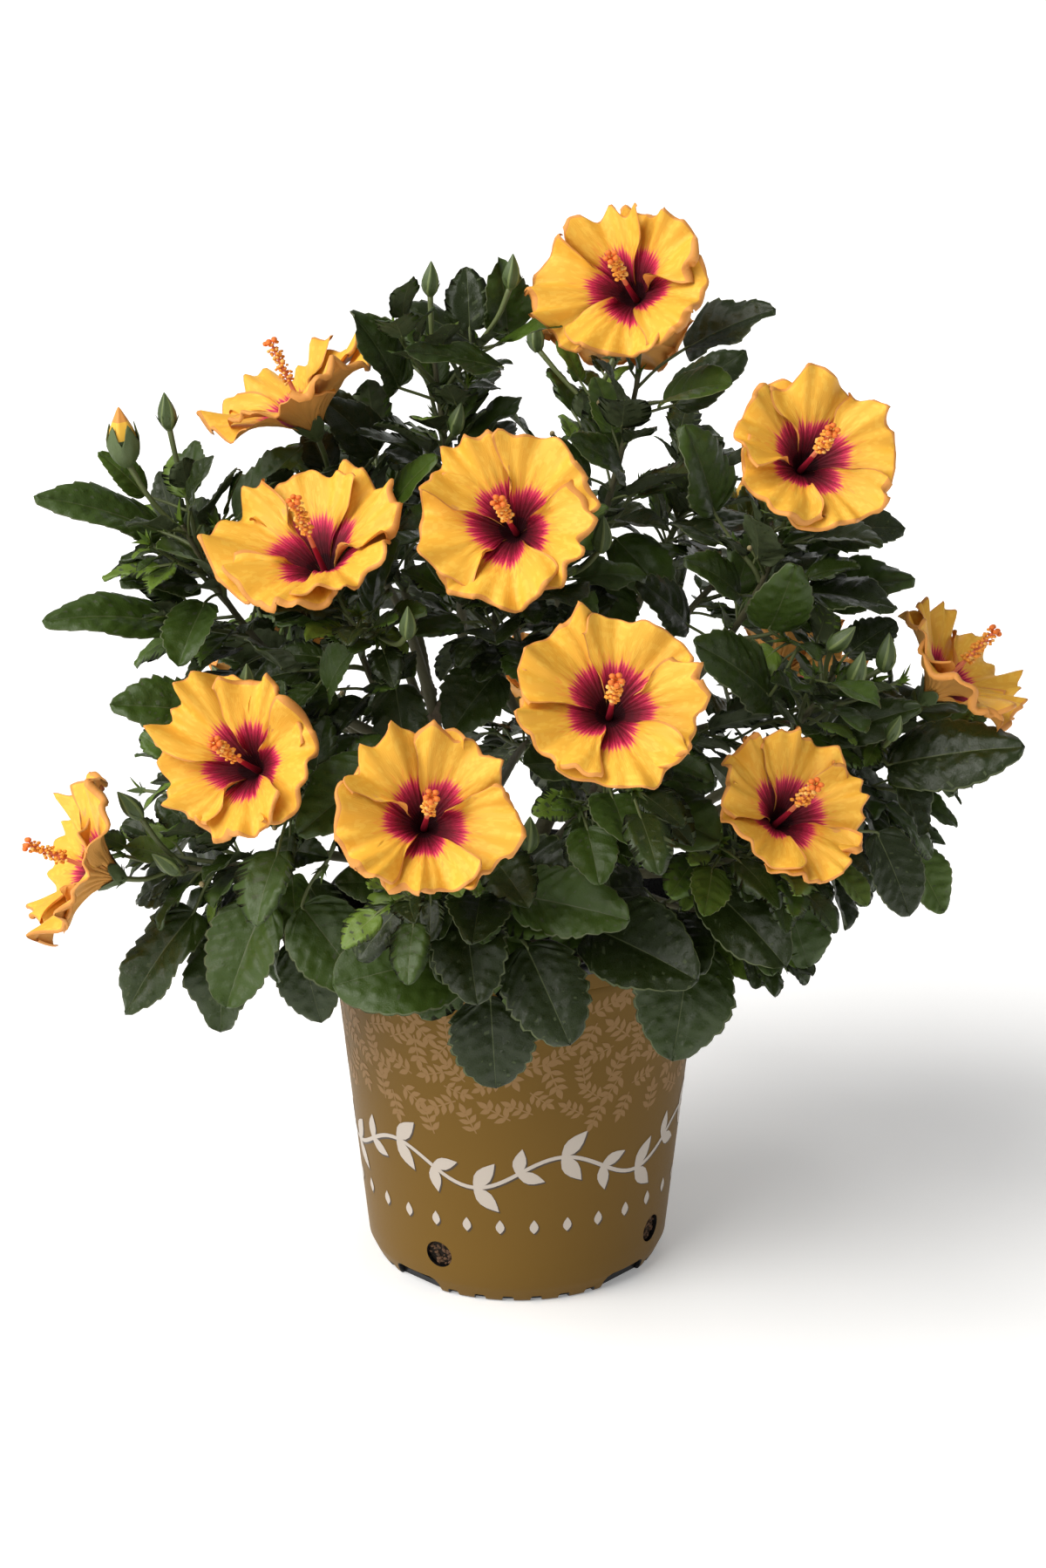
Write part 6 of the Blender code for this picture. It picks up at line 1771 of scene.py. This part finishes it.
def add_stigma(end, out, axis, sheaf):
    """One of the short arms at the column's end, with its round pad."""
    tip = end + out * 0.0036 + axis * 0.0030
    arm = np.array([end, (end + tip) / 2 + out * 0.0004, tip])
    sheaf.add(*round_stem(arm, [STIGMA_ARM_RADIUS] * 3, 4), "stigma")
    sheaf.add(*ball(tip, STIGMA_RADIUS, 5, 7, (1.0, 1.0, 0.8)), "stigma")


def calyx_radius(height):
    """Outer radius of the petals' funnel at a height above the calyx."""
    rises = [rise * BLOOM_DEPTH for _, rise in PETAL_PROFILE]
    radii = [radius * PETAL_GROWTH * FUNNEL_HALF_BLOOM for radius, _ in PETAL_PROFILE]
    return float(np.interp(height, rises, radii)) + 0.0009


def calyx_section(turn, share, layer, height, radius_at):
    """Radius and rise of the calyx at a turn, for a share of the height that it has there."""
    lobe = 0.5 + 0.5 * math.cos(SEPAL_COUNT * turn)
    rise = height * (0.52 + 0.48 * lobe ** 0.8) * share - 0.001 * (1 - share)
    if share == 0:
        return CALYX_FOOT_RADIUS, rise
    ridge = 0.0005 * max(0.0, math.cos(SEPAL_COUNT * turn)) ** 6
    return radius_at(max(0.0, rise)) + layer + CALYX_FLARE * share ** 3 + ridge, rise


def calyx_faces():
    """Faces of the outer and the inner side of a calyx, and of the rim between them."""
    each = CALYX_ROWS * CALYX_COLUMNS
    last = each - CALYX_COLUMNS
    outer = ring_faces(CALYX_ROWS, CALYX_COLUMNS)
    inner = [(b + each, a + each, d + each, c + each) for a, b, c, d in outer]
    rim = [(a + last, b + last, b + last + each, a + last + each) for a, b, _, _ in outer[:CALYX_COLUMNS]]
    return outer + inner + rim


def add_calyx(base, axis, side, height, sheaf, luck, bracts=EPICALYX_COUNT, radius_at=calyx_radius):
    """Five pointed sepals joined into a cup, with narrow bracts round its foot."""
    other = np.cross(axis, side)
    points = []
    for layer in CALYX_LAYERS:
        for row in range(CALYX_ROWS):
            for column in range(CALYX_COLUMNS):
                turn = 2 * math.pi * column / CALYX_COLUMNS
                radius, rise = calyx_section(turn, row / (CALYX_ROWS - 1), layer, height, radius_at)
                points.append(base + swing(side, other, turn) * radius + axis * rise)
    sheaf.add(points, calyx_faces(), "calyx")
    for number in range(bracts):
        out = swing(side, other, 2 * math.pi * (number + luck.uniform(-0.2, 0.2)) / bracts)
        along = unit(out * 0.75 + axis * luck.uniform(0.35, 0.8))
        look = unit(axis - along * np.dot(axis, along))
        length = height * luck.uniform(0.42, 0.6)
        sheaf.add(*sepal(base + out * 0.0022, along, look, length, 0.0024, 0.3), "bract")


def make_blooms(plant):
    """The open blooms in as few pieces as the triangle limit allows, and their calyxes."""
    greens = Sheaf(("calyx", "bract"))
    numbered = list(enumerate(plant.flowers))
    for start in range(0, len(numbered), BLOOMS_A_PIECE):
        sheaf = Sheaf(BLOOM_FINISHES)
        for number, flower in numbered[start:start + BLOOMS_A_PIECE]:
            luck = random.Random(SEED * 31 + number)
            add_petals(flower, sheaf, luck)
            add_pistil(flower, sheaf, luck)
            axis, side, _ = bloom_axes(flower)
            add_calyx(np.array(flower.base), axis, side, CALYX_HEIGHT, greens, luck)
        sheaf.make("blooms_%d" % (start // BLOOMS_A_PIECE + 1), mapped=True)
    greens.make("calyxes")


def make_buds(plant):
    """The closed buds, and the two that are opening."""
    sheaf = Sheaf(("bud_green", "bud_pale", "bract", "calyx", "petal_rim", "petal_light"))
    for number, bud in enumerate(plant.buds):
        add_bud(bud, sheaf, random.Random(SEED * 53 + number))
    sheaf.make("buds")


def bud_radius(length, height):
    """Radius of a bud of a length, at a height above its foot."""
    heights = [share * length for share, _ in BUD_PROFILE]
    return float(np.interp(height, heights, [wide * length * BUD_WIDTH for _, wide in BUD_PROFILE]))


def bud_finish_at(corner, opening):
    """The finish of a bud's face that starts at a point with this number."""
    row = corner // BUD_COLUMNS
    if opening and row >= BUD_PETALS_FROM:
        return "petal_rim" if row >= BUD_RIM_FROM else "petal_light"
    return "bud_pale" if corner % 4 == 3 or row < 1 else "bud_green"


def add_bud(bud, sheaf, luck):
    """A ridged bud with bracts round its foot, and a calyx if it is opening."""
    axis = np.array(bud.axis)
    side = np.array(across(bud.axis))
    other = np.cross(axis, side)
    base = np.array(bud.base)
    points = []
    for share, wide in BUD_PROFILE:
        for column in range(BUD_COLUMNS):
            turn = 2 * math.pi * column / BUD_COLUMNS + share * 0.5
            ridge = 1.0 + 0.13 * math.cos(5 * (turn - share * 0.5)) * min(1.0, 3.5 * share)
            out = swing(side, other, turn)
            points.append(base + out * bud.length * wide * BUD_WIDTH * ridge + axis * bud.length * share)
    rows = len(BUD_PROFILE)
    faces = ring_faces(rows, BUD_COLUMNS) + end_faces(rows, BUD_COLUMNS)
    sheaf.add(points, faces, [bud_finish_at(face[0], bud.opening) for face in faces])
    if bud.opening:
        add_calyx(base, axis, side, bud.length * 0.72, sheaf, luck, 0, partial(bud_radius, bud.length))
    for number in range(EPICALYX_COUNT):
        out = swing(side, other, 2 * math.pi * (number + luck.uniform(-0.2, 0.2)) / EPICALYX_COUNT)
        along = unit(out * luck.uniform(0.5, 0.9) + axis)
        look = unit(out - along * np.dot(out, along))
        reach = bud.length * luck.uniform(0.40, 0.58)
        sheaf.add(*sepal(base + out * bud.length * 0.07, along, look, reach, reach * 0.17, 0.2), "bract")


# ---- pot and soil ----
def wall_radius(height):
    """Outer radius of the pot's tapered wall at a height."""
    low = HEEL_HEIGHT
    high = POT_HEIGHT - LIP_HEIGHT - BAND_HEIGHT
    return WALL_FOOT_RADIUS + (WALL_TOP_RADIUS - WALL_FOOT_RADIUS) * (height - low) / (high - low)


def revolve(profile, steps):
    """A section of radii and heights turned round the upright axis."""
    points = []
    for radius, height in profile:
        for step in range(steps):
            turn = 2 * math.pi * step / steps
            points.append((radius * math.sin(turn), -radius * math.cos(turn), height))
    return points, ring_faces(len(profile), steps, flip=True)


def pot_profile():
    """The wall in section, from the middle of its floor over the lip and down to the foot."""
    band_top = POT_HEIGHT - LIP_HEIGHT
    band_foot = band_top - BAND_HEIGHT
    wide, high = LIP_ROLL
    spots = [(0.0005, FLOOR), (BASE_RADIUS - 0.002, FLOOR)]
    spots += [(wall_radius(FLOOR + 0.006) - WALL, FLOOR + 0.006)]
    spots += [(wall_radius(height) - WALL, height) for height in np.linspace(0.03, band_foot - 0.002, 10)]
    spots += [(BAND_RADIUS - WALL, band_foot + 0.002), (BAND_RADIUS - WALL, band_top - 0.001)]
    for step in range(9):
        turn = math.radians(175 - 175 * step / 8)
        spots.append((LIP_RADIUS - wide + wide * math.cos(turn), POT_HEIGHT - high + high * math.sin(turn)))
    spots += [(LIP_RADIUS, band_top + 0.0016), (LIP_RADIUS - 0.0006, band_top + 0.0004)]
    spots += [(LIP_RADIUS - 0.0016, band_top), (BAND_RADIUS, band_top - 0.0008)]
    spots += [(BAND_RADIUS, band_foot + 0.0022), (BAND_RADIUS - 0.0004, band_foot + 0.0008)]
    spots += [(WALL_TOP_RADIUS - 0.0006, band_foot), (WALL_TOP_RADIUS - 0.0002, band_foot - 0.0012)]
    wall = np.linspace(band_foot - 0.006, HEEL_HEIGHT + 0.002, 16)
    spots += [(wall_radius(height), height) for height in wall]
    spots += [(WALL_FOOT_RADIUS - 0.0012, HEEL_HEIGHT - 0.001), (BASE_RADIUS + 0.0022, 0.0032)]
    spots += [(BASE_RADIUS + 0.0006, 0.0008), (BASE_RADIUS - 0.001, 0.0), (0.0005, 0.0)]
    return spots


def solid_object(name, points, faces):
    """An object with this shape, its faces turned outwards."""
    mesh = bpy.data.meshes.new(name)
    mesh.from_pydata([tuple(spot) for spot in points], [], faces)
    edit = bmesh.new()
    edit.from_mesh(mesh)
    bmesh.ops.recalc_face_normals(edit, faces=edit.faces)
    edit.to_mesh(mesh)
    edit.free()
    made = bpy.data.objects.new(name, mesh)
    link(made)
    return made


def wall_ways(turn):
    """Unit vectors out of the pot and along its wall, at a turn from the front."""
    return np.array((math.sin(turn), -math.cos(turn), 0.0)), np.array((math.cos(turn), math.sin(turn), 0.0))


def pot_cutters():
    """Round drain holes, wide foot notches and the small scallops along the bottom edge."""
    shapes = []
    for number in range(DRAIN_COUNT):
        out, _ = wall_ways(math.radians(DRAIN_TURN + 360.0 * number / DRAIN_COUNT))
        middle = out * wall_radius(DRAIN_HEIGHT) + (0, 0, DRAIN_HEIGHT)
        ends = np.array([middle - out * DRAIN_REACH, middle + out * DRAIN_REACH])
        shapes.append(round_stem(ends, [DRAIN_RADIUS] * 2, DRAIN_SIDES))
        turn = math.radians(NOTCH_TURN + 360.0 * number / DRAIN_COUNT)
        shapes.append(notch_shape(turn, NOTCH_WIDTH / 2, NOTCH_HEIGHT, WALL_FOOT_RADIUS - NOTCH_DEPTH))
        for step in SCALLOP_STEPS:
            small = turn + math.radians(step)
            shapes.append(notch_shape(small, SCALLOP_WIDTH / 2, SCALLOP_HEIGHT, BASE_RADIUS - SCALLOP_DEPTH))
    return shapes


def notch_shape(turn, half, height, depth):
    """A block with rounded upper corners, from a radius outwards."""
    out, side = wall_ways(turn)
    spots = [(-half, -0.004), (-half, height * 0.55), (-half * 0.9, height * 0.85), (-half * 0.7, height)]
    spots += [(half * 0.7, height), (half * 0.9, height * 0.85), (half, height * 0.55), (half, -0.004)]
    points = []
    for reach in (depth, depth + NOTCH_REACH):
        points += [out * reach + side * x + np.array((0, 0, z)) for x, z in spots]
    count = len(spots)
    ends = [tuple(range(count)), tuple(reversed(range(count, 2 * count)))]
    return points, ends + ring_faces(2, count, flip=True)


def make_pot():
    """The nursery pot with its drain holes, notches and scallops."""
    pot = solid_object("pot_shell", *revolve(pot_profile(), POT_SIDES))
    cap_middle(pot)
    mesh = cut_away(pot, pot_cutters())
    paint_pot(mesh)
    mesh.shade_smooth()
    crease_sharp(place_piece("pot_shell", mesh, ["pot"]), CREASE_ANGLE)


def cut_away(solid, shapes):
    """A solid's mesh with the shapes taken out. The solid itself is removed."""
    cutters = bpy.data.collections.new("cutters")
    bpy.context.scene.collection.children.link(cutters)
    for number, (spots, rings) in enumerate(shapes):
        cutter = solid_object("cutter_%d" % number, spots, [tuple(ring) for ring in rings])
        bpy.context.scene.collection.objects.unlink(cutter)
        cutters.objects.link(cutter)
    cut = solid.modifiers.new("Drainage", "BOOLEAN")
    cut.operation = "DIFFERENCE"
    cut.operand_type = "COLLECTION"
    cut.collection = cutters
    cut.solver = "EXACT"
    bpy.context.view_layer.update()
    mesh = bpy.data.meshes.new_from_object(solid.evaluated_get(bpy.context.evaluated_depsgraph_get()))
    for made in list(cutters.objects) + [solid]:
        bpy.data.objects.remove(made, do_unlink=True)
    bpy.data.collections.remove(cutters)
    return mesh


def paint_pot(mesh):
    """The print's ground colour on the wall outside, and black on the lip, inside and in the cuts."""
    mesh.materials.clear()
    for finish in ("pot_black", "pot_print"):
        mesh.materials.append(finish_of(finish))
    top = POT_HEIGHT - LIP_HEIGHT - 0.0035
    for face in mesh.polygons:
        middle = face.center
        radius = math.hypot(middle.x, middle.y)
        outer = radius > min(wall_radius(middle.z), WALL_FOOT_RADIUS) - 0.009 and face.normal.z < 0.9
        outward = face.normal.x * middle.x + face.normal.y * middle.y > 0.5 * radius
        face.material_index = 1 if outer and outward and 0.0007 < middle.z < top else 0


def wall_spot(around, height, lift):
    """A point on the pot's wall: around is the distance round it from the front, at its mean radius."""
    turn = around / PRINT_RADIUS
    radius = wall_radius(height) + lift
    return (radius * math.sin(turn), -radius * math.cos(turn), height)


def leaflet(place, turn, length, width, lift):
    """A printed leaf on the wall, from its foot at a place towards a turn from upright."""
    points = []
    for share, wide in PRINT_LEAF:
        x = share * length
        for y in (-wide * width / 2, 0.0, wide * width / 2):
            around = place[0] + x * math.sin(turn) + y * math.cos(turn)
            height = place[1] + x * math.cos(turn) - y * math.sin(turn)
            points.append(wall_spot(around, height, lift))
    faces = []
    for row in range(len(PRINT_LEAF) - 1):
        for column in (0, 1):
            here = 3 * row + column
            faces.append((here, here + 3, here + 4, here + 1))
    return points, faces


def ribbon(line, width, lift):
    """A printed line of even width through places on the wall."""
    line = np.array(line)
    ways = unit(np.gradient(line, axis=0))
    aside = np.stack([-ways[:, 1], ways[:, 0]], axis=1) * width / 2
    points = []
    for (around, height), (dx, dy) in zip(line, aside):
        points.append(wall_spot(around + dx, height + dy, lift))
        points.append(wall_spot(around - dx, height - dy, lift))
    faces = [(2 * k, 2 * k + 1, 2 * k + 3, 2 * k + 2) for k in range(len(line) - 1)]
    return points, faces


def add_sprig(sheaf, place, turn, size, lift):
    """A printed twig: a short stem with pairs of leaflets and one at its end."""
    way = (math.sin(turn), math.cos(turn))
    stem = [(place[0] + way[0] * size * t, place[1] + way[1] * size * t) for t in (0.0, 0.35, 0.7)]
    shapes = [ribbon(stem, size * 0.045, lift), leaflet(stem[-1], turn, size * 0.38, size * 0.19, lift)]
    for pair in range(SPRIG_PAIRS):
        share = 0.12 + 0.50 * pair / (SPRIG_PAIRS - 1)
        root = (place[0] + way[0] * size * share, place[1] + way[1] * size * share)
        for hand in (-1, 1):
            length = size * (0.40 - 0.10 * share)
            shapes.append(leaflet(root, turn + hand * SPRIG_SPREAD, length, size * 0.17, lift))
    for points, faces in shapes:
        sheaf.add(points, faces, "print_tan")


def ragged_foot(around):
    """Height at which the tan sprigs stop, all round the pot."""
    turn = around / PRINT_RADIUS
    return SPRIG_FOOT + 0.006 * math.sin(5 * turn + 0.7) + 0.004 * math.sin(11 * turn)


def make_print():
    """The pot's printed pattern: tan sprigs above, and a pale vine with a row of dots below."""
    luck = random.Random(SEED * 7)
    sheaf = Sheaf(("print_tan", "print_cream", "print_brown"))
    placed = []
    for _ in range(SPRIG_TRIES):
        spot = (luck.uniform(-GIRTH / 2, GIRTH / 2), luck.uniform(SPRIG_FOOT - 0.012, SPRIG_TOP))
        if spot[1] < ragged_foot(spot[0]):
            continue
        if all(print_gap(spot, other) > SPRIG_SPACING for other in placed):
            placed.append(spot)
            turn = luck.uniform(0, 2 * math.pi)
            size = luck.uniform(*SPRIG_SIZE)
            foot = (spot[0] - math.sin(turn) * size * 0.5, spot[1] - math.cos(turn) * size * 0.5)
            add_sprig(sheaf, foot, turn, size, PRINT_LIFT + LIFT_STEP * (len(placed) % 5))
    add_vine(sheaf, "print_brown", PRINT_LIFT * 1.6, VINE_SHADE_SHIFT)
    add_vine(sheaf, "print_cream", PRINT_LIFT * 2.2, (0.0, 0.0))
    sheaf.make("pot_print")


def print_gap(here, there):
    """Distance between two places on the wall, the shorter way round."""
    aside = abs(here[0] - there[0])
    return math.hypot(min(aside, GIRTH - aside), here[1] - there[1])


def add_vine(sheaf, finish, lift, shift):
    """A waving stem with leaves on both sides, all round the pot, over a row of small diamonds."""
    steps = VINE_WAVES * VINE_STEPS
    line = []
    for step in range(steps + 1):
        around = -GIRTH / 2 + GIRTH * step / steps
        wave = math.sin(2 * math.pi * VINE_WAVES * step / steps)
        line.append((around + shift[0], VINE_HEIGHT + VINE_SWING * wave + shift[1]))
    sheaf.add(*ribbon(line, VINE_STEM, lift), finish)
    for step in range(0, steps, VINE_LEAF_STEPS):
        (x, y), (next_x, next_y) = line[step], line[step + 1]
        turn = math.atan2(next_x - x, next_y - y)
        size = VINE_LEAF[(step // VINE_LEAF_STEPS) % 2]
        for hand in (-1, 1):
            sheaf.add(*leaflet((x, y), turn + hand * 0.85, size, size * 0.46, lift), finish)
    dots = VINE_WAVES * DOTS_A_WAVE
    for number in range(dots):
        around = -GIRTH / 2 + GIRTH * (number + 0.5) / dots
        place = (around + shift[0], DOT_HEIGHT - DOT_SIZE[0] / 2 + shift[1])
        sheaf.add(*leaflet(place, 0.0, *DOT_SIZE, lift), finish)


def crease_sharp(made, degrees):
    """Sharp edges where faces meet at more than an angle."""
    edit = bmesh.new()
    edit.from_mesh(made.data)
    for edge in edit.edges:
        if len(edge.link_faces) == 2 and edge.calc_face_angle() > math.radians(degrees):
            edge.smooth = False
    edit.to_mesh(made.data)
    edit.free()


def cap_middle(pot):
    """Closes the small holes left in the middle of the floor."""
    edit = bmesh.new()
    edit.from_mesh(pot.data)
    bmesh.ops.holes_fill(edit, edges=[edge for edge in edit.edges if len(edge.link_faces) == 1])
    bmesh.ops.recalc_face_normals(edit, faces=edit.faces)
    edit.to_mesh(pot.data)
    edit.free()


def soil_height(x, y, share, waves):
    """Height of the soil at a place, which is a share of the way from the middle to the edge."""
    rough = sum(math.sin(a * x + b * y + c) for a, b, c in waves) * SOIL_SWELL
    return SOIL_TOP - SOIL_SINK - SOIL_EDGE_DROP * share ** 3 + rough


def soil_mound(edge, waves, luck):
    """The soil's surface as rings of points round the middle, and its side down to the foot."""
    points = [(0.0, 0.0, SOIL_TOP)]
    turns = [2 * math.pi * column / SOIL_COLUMNS for column in range(SOIL_COLUMNS)]
    for row in range(1, SOIL_ROWS + 1):
        radius = edge * row / SOIL_ROWS
        for turn in turns:
            x, y = radius * math.cos(turn), radius * math.sin(turn)
            height = soil_height(x, y, radius / edge, waves) + luck.gauss(0, SOIL_GRAIN)
            points.append((x, y, height))
    foot = wall_radius(FLOOR + 0.02) - WALL - 0.001
    points += [(foot * math.cos(turn), foot * math.sin(turn), FLOOR + 0.02) for turn in turns]
    faces = [(0, 1 + column, 1 + (column + 1) % SOIL_COLUMNS) for column in range(SOIL_COLUMNS)]
    faces += ring_faces(SOIL_ROWS + 1, SOIL_COLUMNS, 1, flip=True)
    last = 1 + SOIL_ROWS * SOIL_COLUMNS
    faces.append(tuple(range(last, last + SOIL_COLUMNS))[::-1])
    return points, faces


def make_soil():
    """The potting mix: an uneven surface with bark chips and light grains on it."""
    luck = random.Random(SEED * 3)
    edge = wall_radius(SOIL_TOP) - WALL - 0.0008
    waves = []
    for _ in range(10):
        waves.append((luck.uniform(*SOIL_WAVES), luck.uniform(*SOIL_WAVES), luck.uniform(0, FULL_TURN)))
    sheaf = Sheaf(("soil", "chip", "crumb", "grain"))
    sheaf.add(*soil_mound(edge, waves, luck), "soil")
    for _ in range(SOIL_BITS):
        add_soil_bit(edge, waves, sheaf, luck)
    add_drain_crumbs(sheaf, luck)
    sheaf.make("potting_mix", ["potting_soil"])


def add_soil_bit(edge, waves, sheaf, luck):
    """A bark chip or a light grain that lies on the soil."""
    radius = edge * math.sqrt(luck.random()) * 0.96
    turn = luck.uniform(0, 2 * math.pi)
    x, y = radius * math.cos(turn), radius * math.sin(turn)
    height = soil_height(x, y, radius / edge, waves)
    if luck.random() < CHIP_SHARE:
        size = luck.uniform(*CHIP_SIZE)
        stretch = (1.0, luck.uniform(0.3, 0.6), luck.uniform(0.16, 0.3))
        sheaf.add(*spun_ball((x, y, height), size, stretch, luck), "chip")
    else:
        sheaf.add(*ball((x, y, height + 0.0004), luck.uniform(*GRAIN_SIZE), 3, 5), "grain")


def add_drain_crumbs(sheaf, luck):
    """Crumbs of potting mix that show in the drain holes."""
    for number in range(DRAIN_COUNT):
        middle = math.radians(DRAIN_TURN + 360.0 * number / DRAIN_COUNT)
        for _ in range(DRAIN_CRUMBS):
            reach = DRAIN_RADIUS * math.sqrt(luck.random())
            way = luck.uniform(0, 2 * math.pi)
            height = DRAIN_HEIGHT + reach * math.sin(way)
            turn = middle + reach * math.cos(way) / WALL_FOOT_RADIUS
            radius = wall_radius(height) - WALL - luck.uniform(0.0008, 0.0022)
            centre = (radius * math.sin(turn), -radius * math.cos(turn), height)
            size = luck.uniform(*CRUMB_SIZE)
            stretch = (1.0, luck.uniform(0.5, 1.0), luck.uniform(0.4, 0.8))
            finish = luck.choice(("chip", "crumb", "crumb"))
            sheaf.add(*spun_ball(centre, size, stretch, luck), finish)


def spun_ball(centre, size, stretch, luck):
    """A stretched knob, turned about its upright line and tilted a little."""
    points, faces = ball(centre, size, 3, 5, stretch)
    turn, tilt = luck.uniform(0, FULL_TURN), luck.uniform(-0.3, 0.3)
    moved = points - np.asarray(centre)
    x = moved[:, 0] * math.cos(turn) - moved[:, 1] * math.sin(turn)
    y = moved[:, 0] * math.sin(turn) + moved[:, 1] * math.cos(turn)
    z = moved[:, 2] + x * tilt
    return np.stack([x, y, z], axis=1) + np.asarray(centre), faces


# ---- finishes ----
def set_inputs(node, values):
    for name, value in values.items():
        node.inputs[name].default_value = value


def add_node(tree, kind, values, feeds):
    """A node with these input values, fed by the outputs named for its other inputs."""
    node = tree.nodes.new(kind)
    set_inputs(node, values)
    for name, output in feeds.items():
        tree.links.new(output, node.inputs[name])
    return node


def grained(name, colour, roughness, grain, depth, spread=0.08, specular=0.5,
            stretch=(1.0, 1.0, 1.0), coordinates="Object", swell=None, glow=0.0):
    """A plain colour with node-driven roughness and relief. swell is a coarser relief: scale, depth."""
    made = bpy.data.materials.new(name)
    made.use_nodes = True
    tree = made.node_tree
    shader = tree.nodes["Principled BSDF"]
    set_inputs(shader, {"Base Color": (*colour, 1.0), "Specular IOR Level": specular,
                        "Emission Color": (1.0, 1.0, 1.0, 1.0), "Emission Strength": glow})
    where = tree.nodes.new("ShaderNodeTexCoord").outputs[coordinates]
    place = add_node(tree, "ShaderNodeMapping", {"Scale": stretch}, {"Vector": where}).outputs["Vector"]
    noise = add_node(tree, "ShaderNodeTexNoise", {"Scale": grain, "Detail": 6.0, "Roughness": 0.62},
                     {"Vector": place}).outputs["Fac"]
    limits = {"From Min": 0.3, "From Max": 0.7, "To Min": roughness - spread, "To Max": roughness + spread}
    dull = add_node(tree, "ShaderNodeMapRange", limits, {"Value": noise})
    relief = add_node(tree, "ShaderNodeBump", {"Strength": 1.0, "Distance": depth}, {"Height": noise})
    if swell:
        tree.links.new(bulging(tree, place, *swell), relief.inputs["Normal"])
    tree.links.new(dull.outputs["Result"], shader.inputs["Roughness"])
    tree.links.new(relief.outputs["Normal"], shader.inputs["Normal"])
    return made


def bulging(tree, place, scale, depth):
    """The normal of a relief of rounded cells."""
    cells = add_node(tree, "ShaderNodeTexVoronoi", {"Scale": scale}, {"Vector": place})
    cells.feature = "SMOOTH_F1"
    bulge = add_node(tree, "ShaderNodeBump", {"Strength": 1.0, "Distance": depth},
                     {"Height": cells.outputs["Distance"]})
    bulge.invert = True
    return bulge.outputs["Normal"]


@cache
def finish_of(name):
    """The material of a finish, made when it is first asked for."""
    return grained(name, **FINISHES[name])


# ---- stage ----
def make_floor():
    """A flat white floor. Its rings widen outwards."""
    points, faces = revolve([(radius, FLOOR_DROP) for radius in FLOOR_RINGS], FLOOR_SIDES)
    mesh = bpy.data.meshes.new("floor")
    mesh.from_pydata(points, [], [face[::-1] for face in faces])
    mesh.materials.append(finish_of("floor"))
    made = bpy.data.objects.new("floor", mesh)
    link(made)


def add_aimed(name, data, place, target=(0.0, 0.0, 0.0)):
    """A light or camera at a place, looking towards a target."""
    made = bpy.data.objects.new(name, data)
    made.location = place
    made.rotation_euler = (Vector(target) - Vector(place)).to_track_quat("-Z", "Y").to_euler()
    link(made)
    return made


def new_light(name, kind, power, colour=(1.0, 1.0, 1.0)):
    data = bpy.data.lights.new(name, kind)
    data.energy = power
    data.color = colour
    return data


def add_lamp(name, place, power, colour=(1.0, 1.0, 1.0)):
    """A round soft lamp that shines on the crown."""
    data = new_light(name, "AREA", power, colour)
    data.shape = "DISK"
    data.size = LAMP_SIZE
    add_aimed(name, data, place, LAMP_TARGET)


def make_stage():
    """Floor, daylight, key, fill and back light, and the photo's view."""
    make_floor()
    scene = bpy.context.scene
    scene.world = bpy.data.worlds.new("studio")
    scene.world.use_nodes = True
    sky = scene.world.node_tree.nodes["Background"]
    set_inputs(sky, {"Color": (1.0, 1.0, 1.0, 1.0), "Strength": WORLD_LIGHT})
    sun = new_light("key", "SUN", SUN_POWER, SUN_COLOUR)
    sun.angle = math.radians(SUN_SIZE)
    add_aimed("key", sun, SUN_PLACE)
    add_lamp("fill", FILL_PLACE, FILL_POWER, FILL_COLOUR)
    add_lamp("back", BACK_PLACE, BACK_POWER)
    make_camera(scene)
    scene.view_settings.view_transform = "Standard"
    scene.view_settings.look = "None"


def make_camera(scene):
    camera = bpy.data.cameras.new("camera")
    camera.sensor_width = SENSOR_WIDTH
    camera.lens = LENS
    made = bpy.data.objects.new("camera", camera)
    made.location = CAMERA_PLACE
    made.rotation_euler = (math.radians(90.0 - CAMERA_DIP), 0.0, 0.0)
    link(made)
    scene.camera = made


def write_sizes():
    """Brings the view layer up to date; no boxes are written."""
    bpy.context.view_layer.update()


def clear_defaults():
    """Removes the objects that a new Blender file starts with."""
    for name in ("Cube", "Light", "Camera"):
        if name in bpy.data.objects:
            bpy.data.objects.remove(bpy.data.objects[name], do_unlink=True)


def build():
    """Grows the plant, then makes the stage and every piece."""
    clear_defaults()
    plant = Plant()
    plant.grow()
    plant.grow_finer()
    make_stage()
    make_pot()
    make_print()
    make_soil()
    make_bark(plant)
    make_twigs(plant)
    make_tips(plant)
    make_leaves(plant)
    make_blooms(plant)
    make_buds(plant)
    bpy.context.view_layer.update()
    write_sizes()
    print("leaves", plant.main_leaves, len(plant.leaves), "shoots", len(plant.shoots))


build()
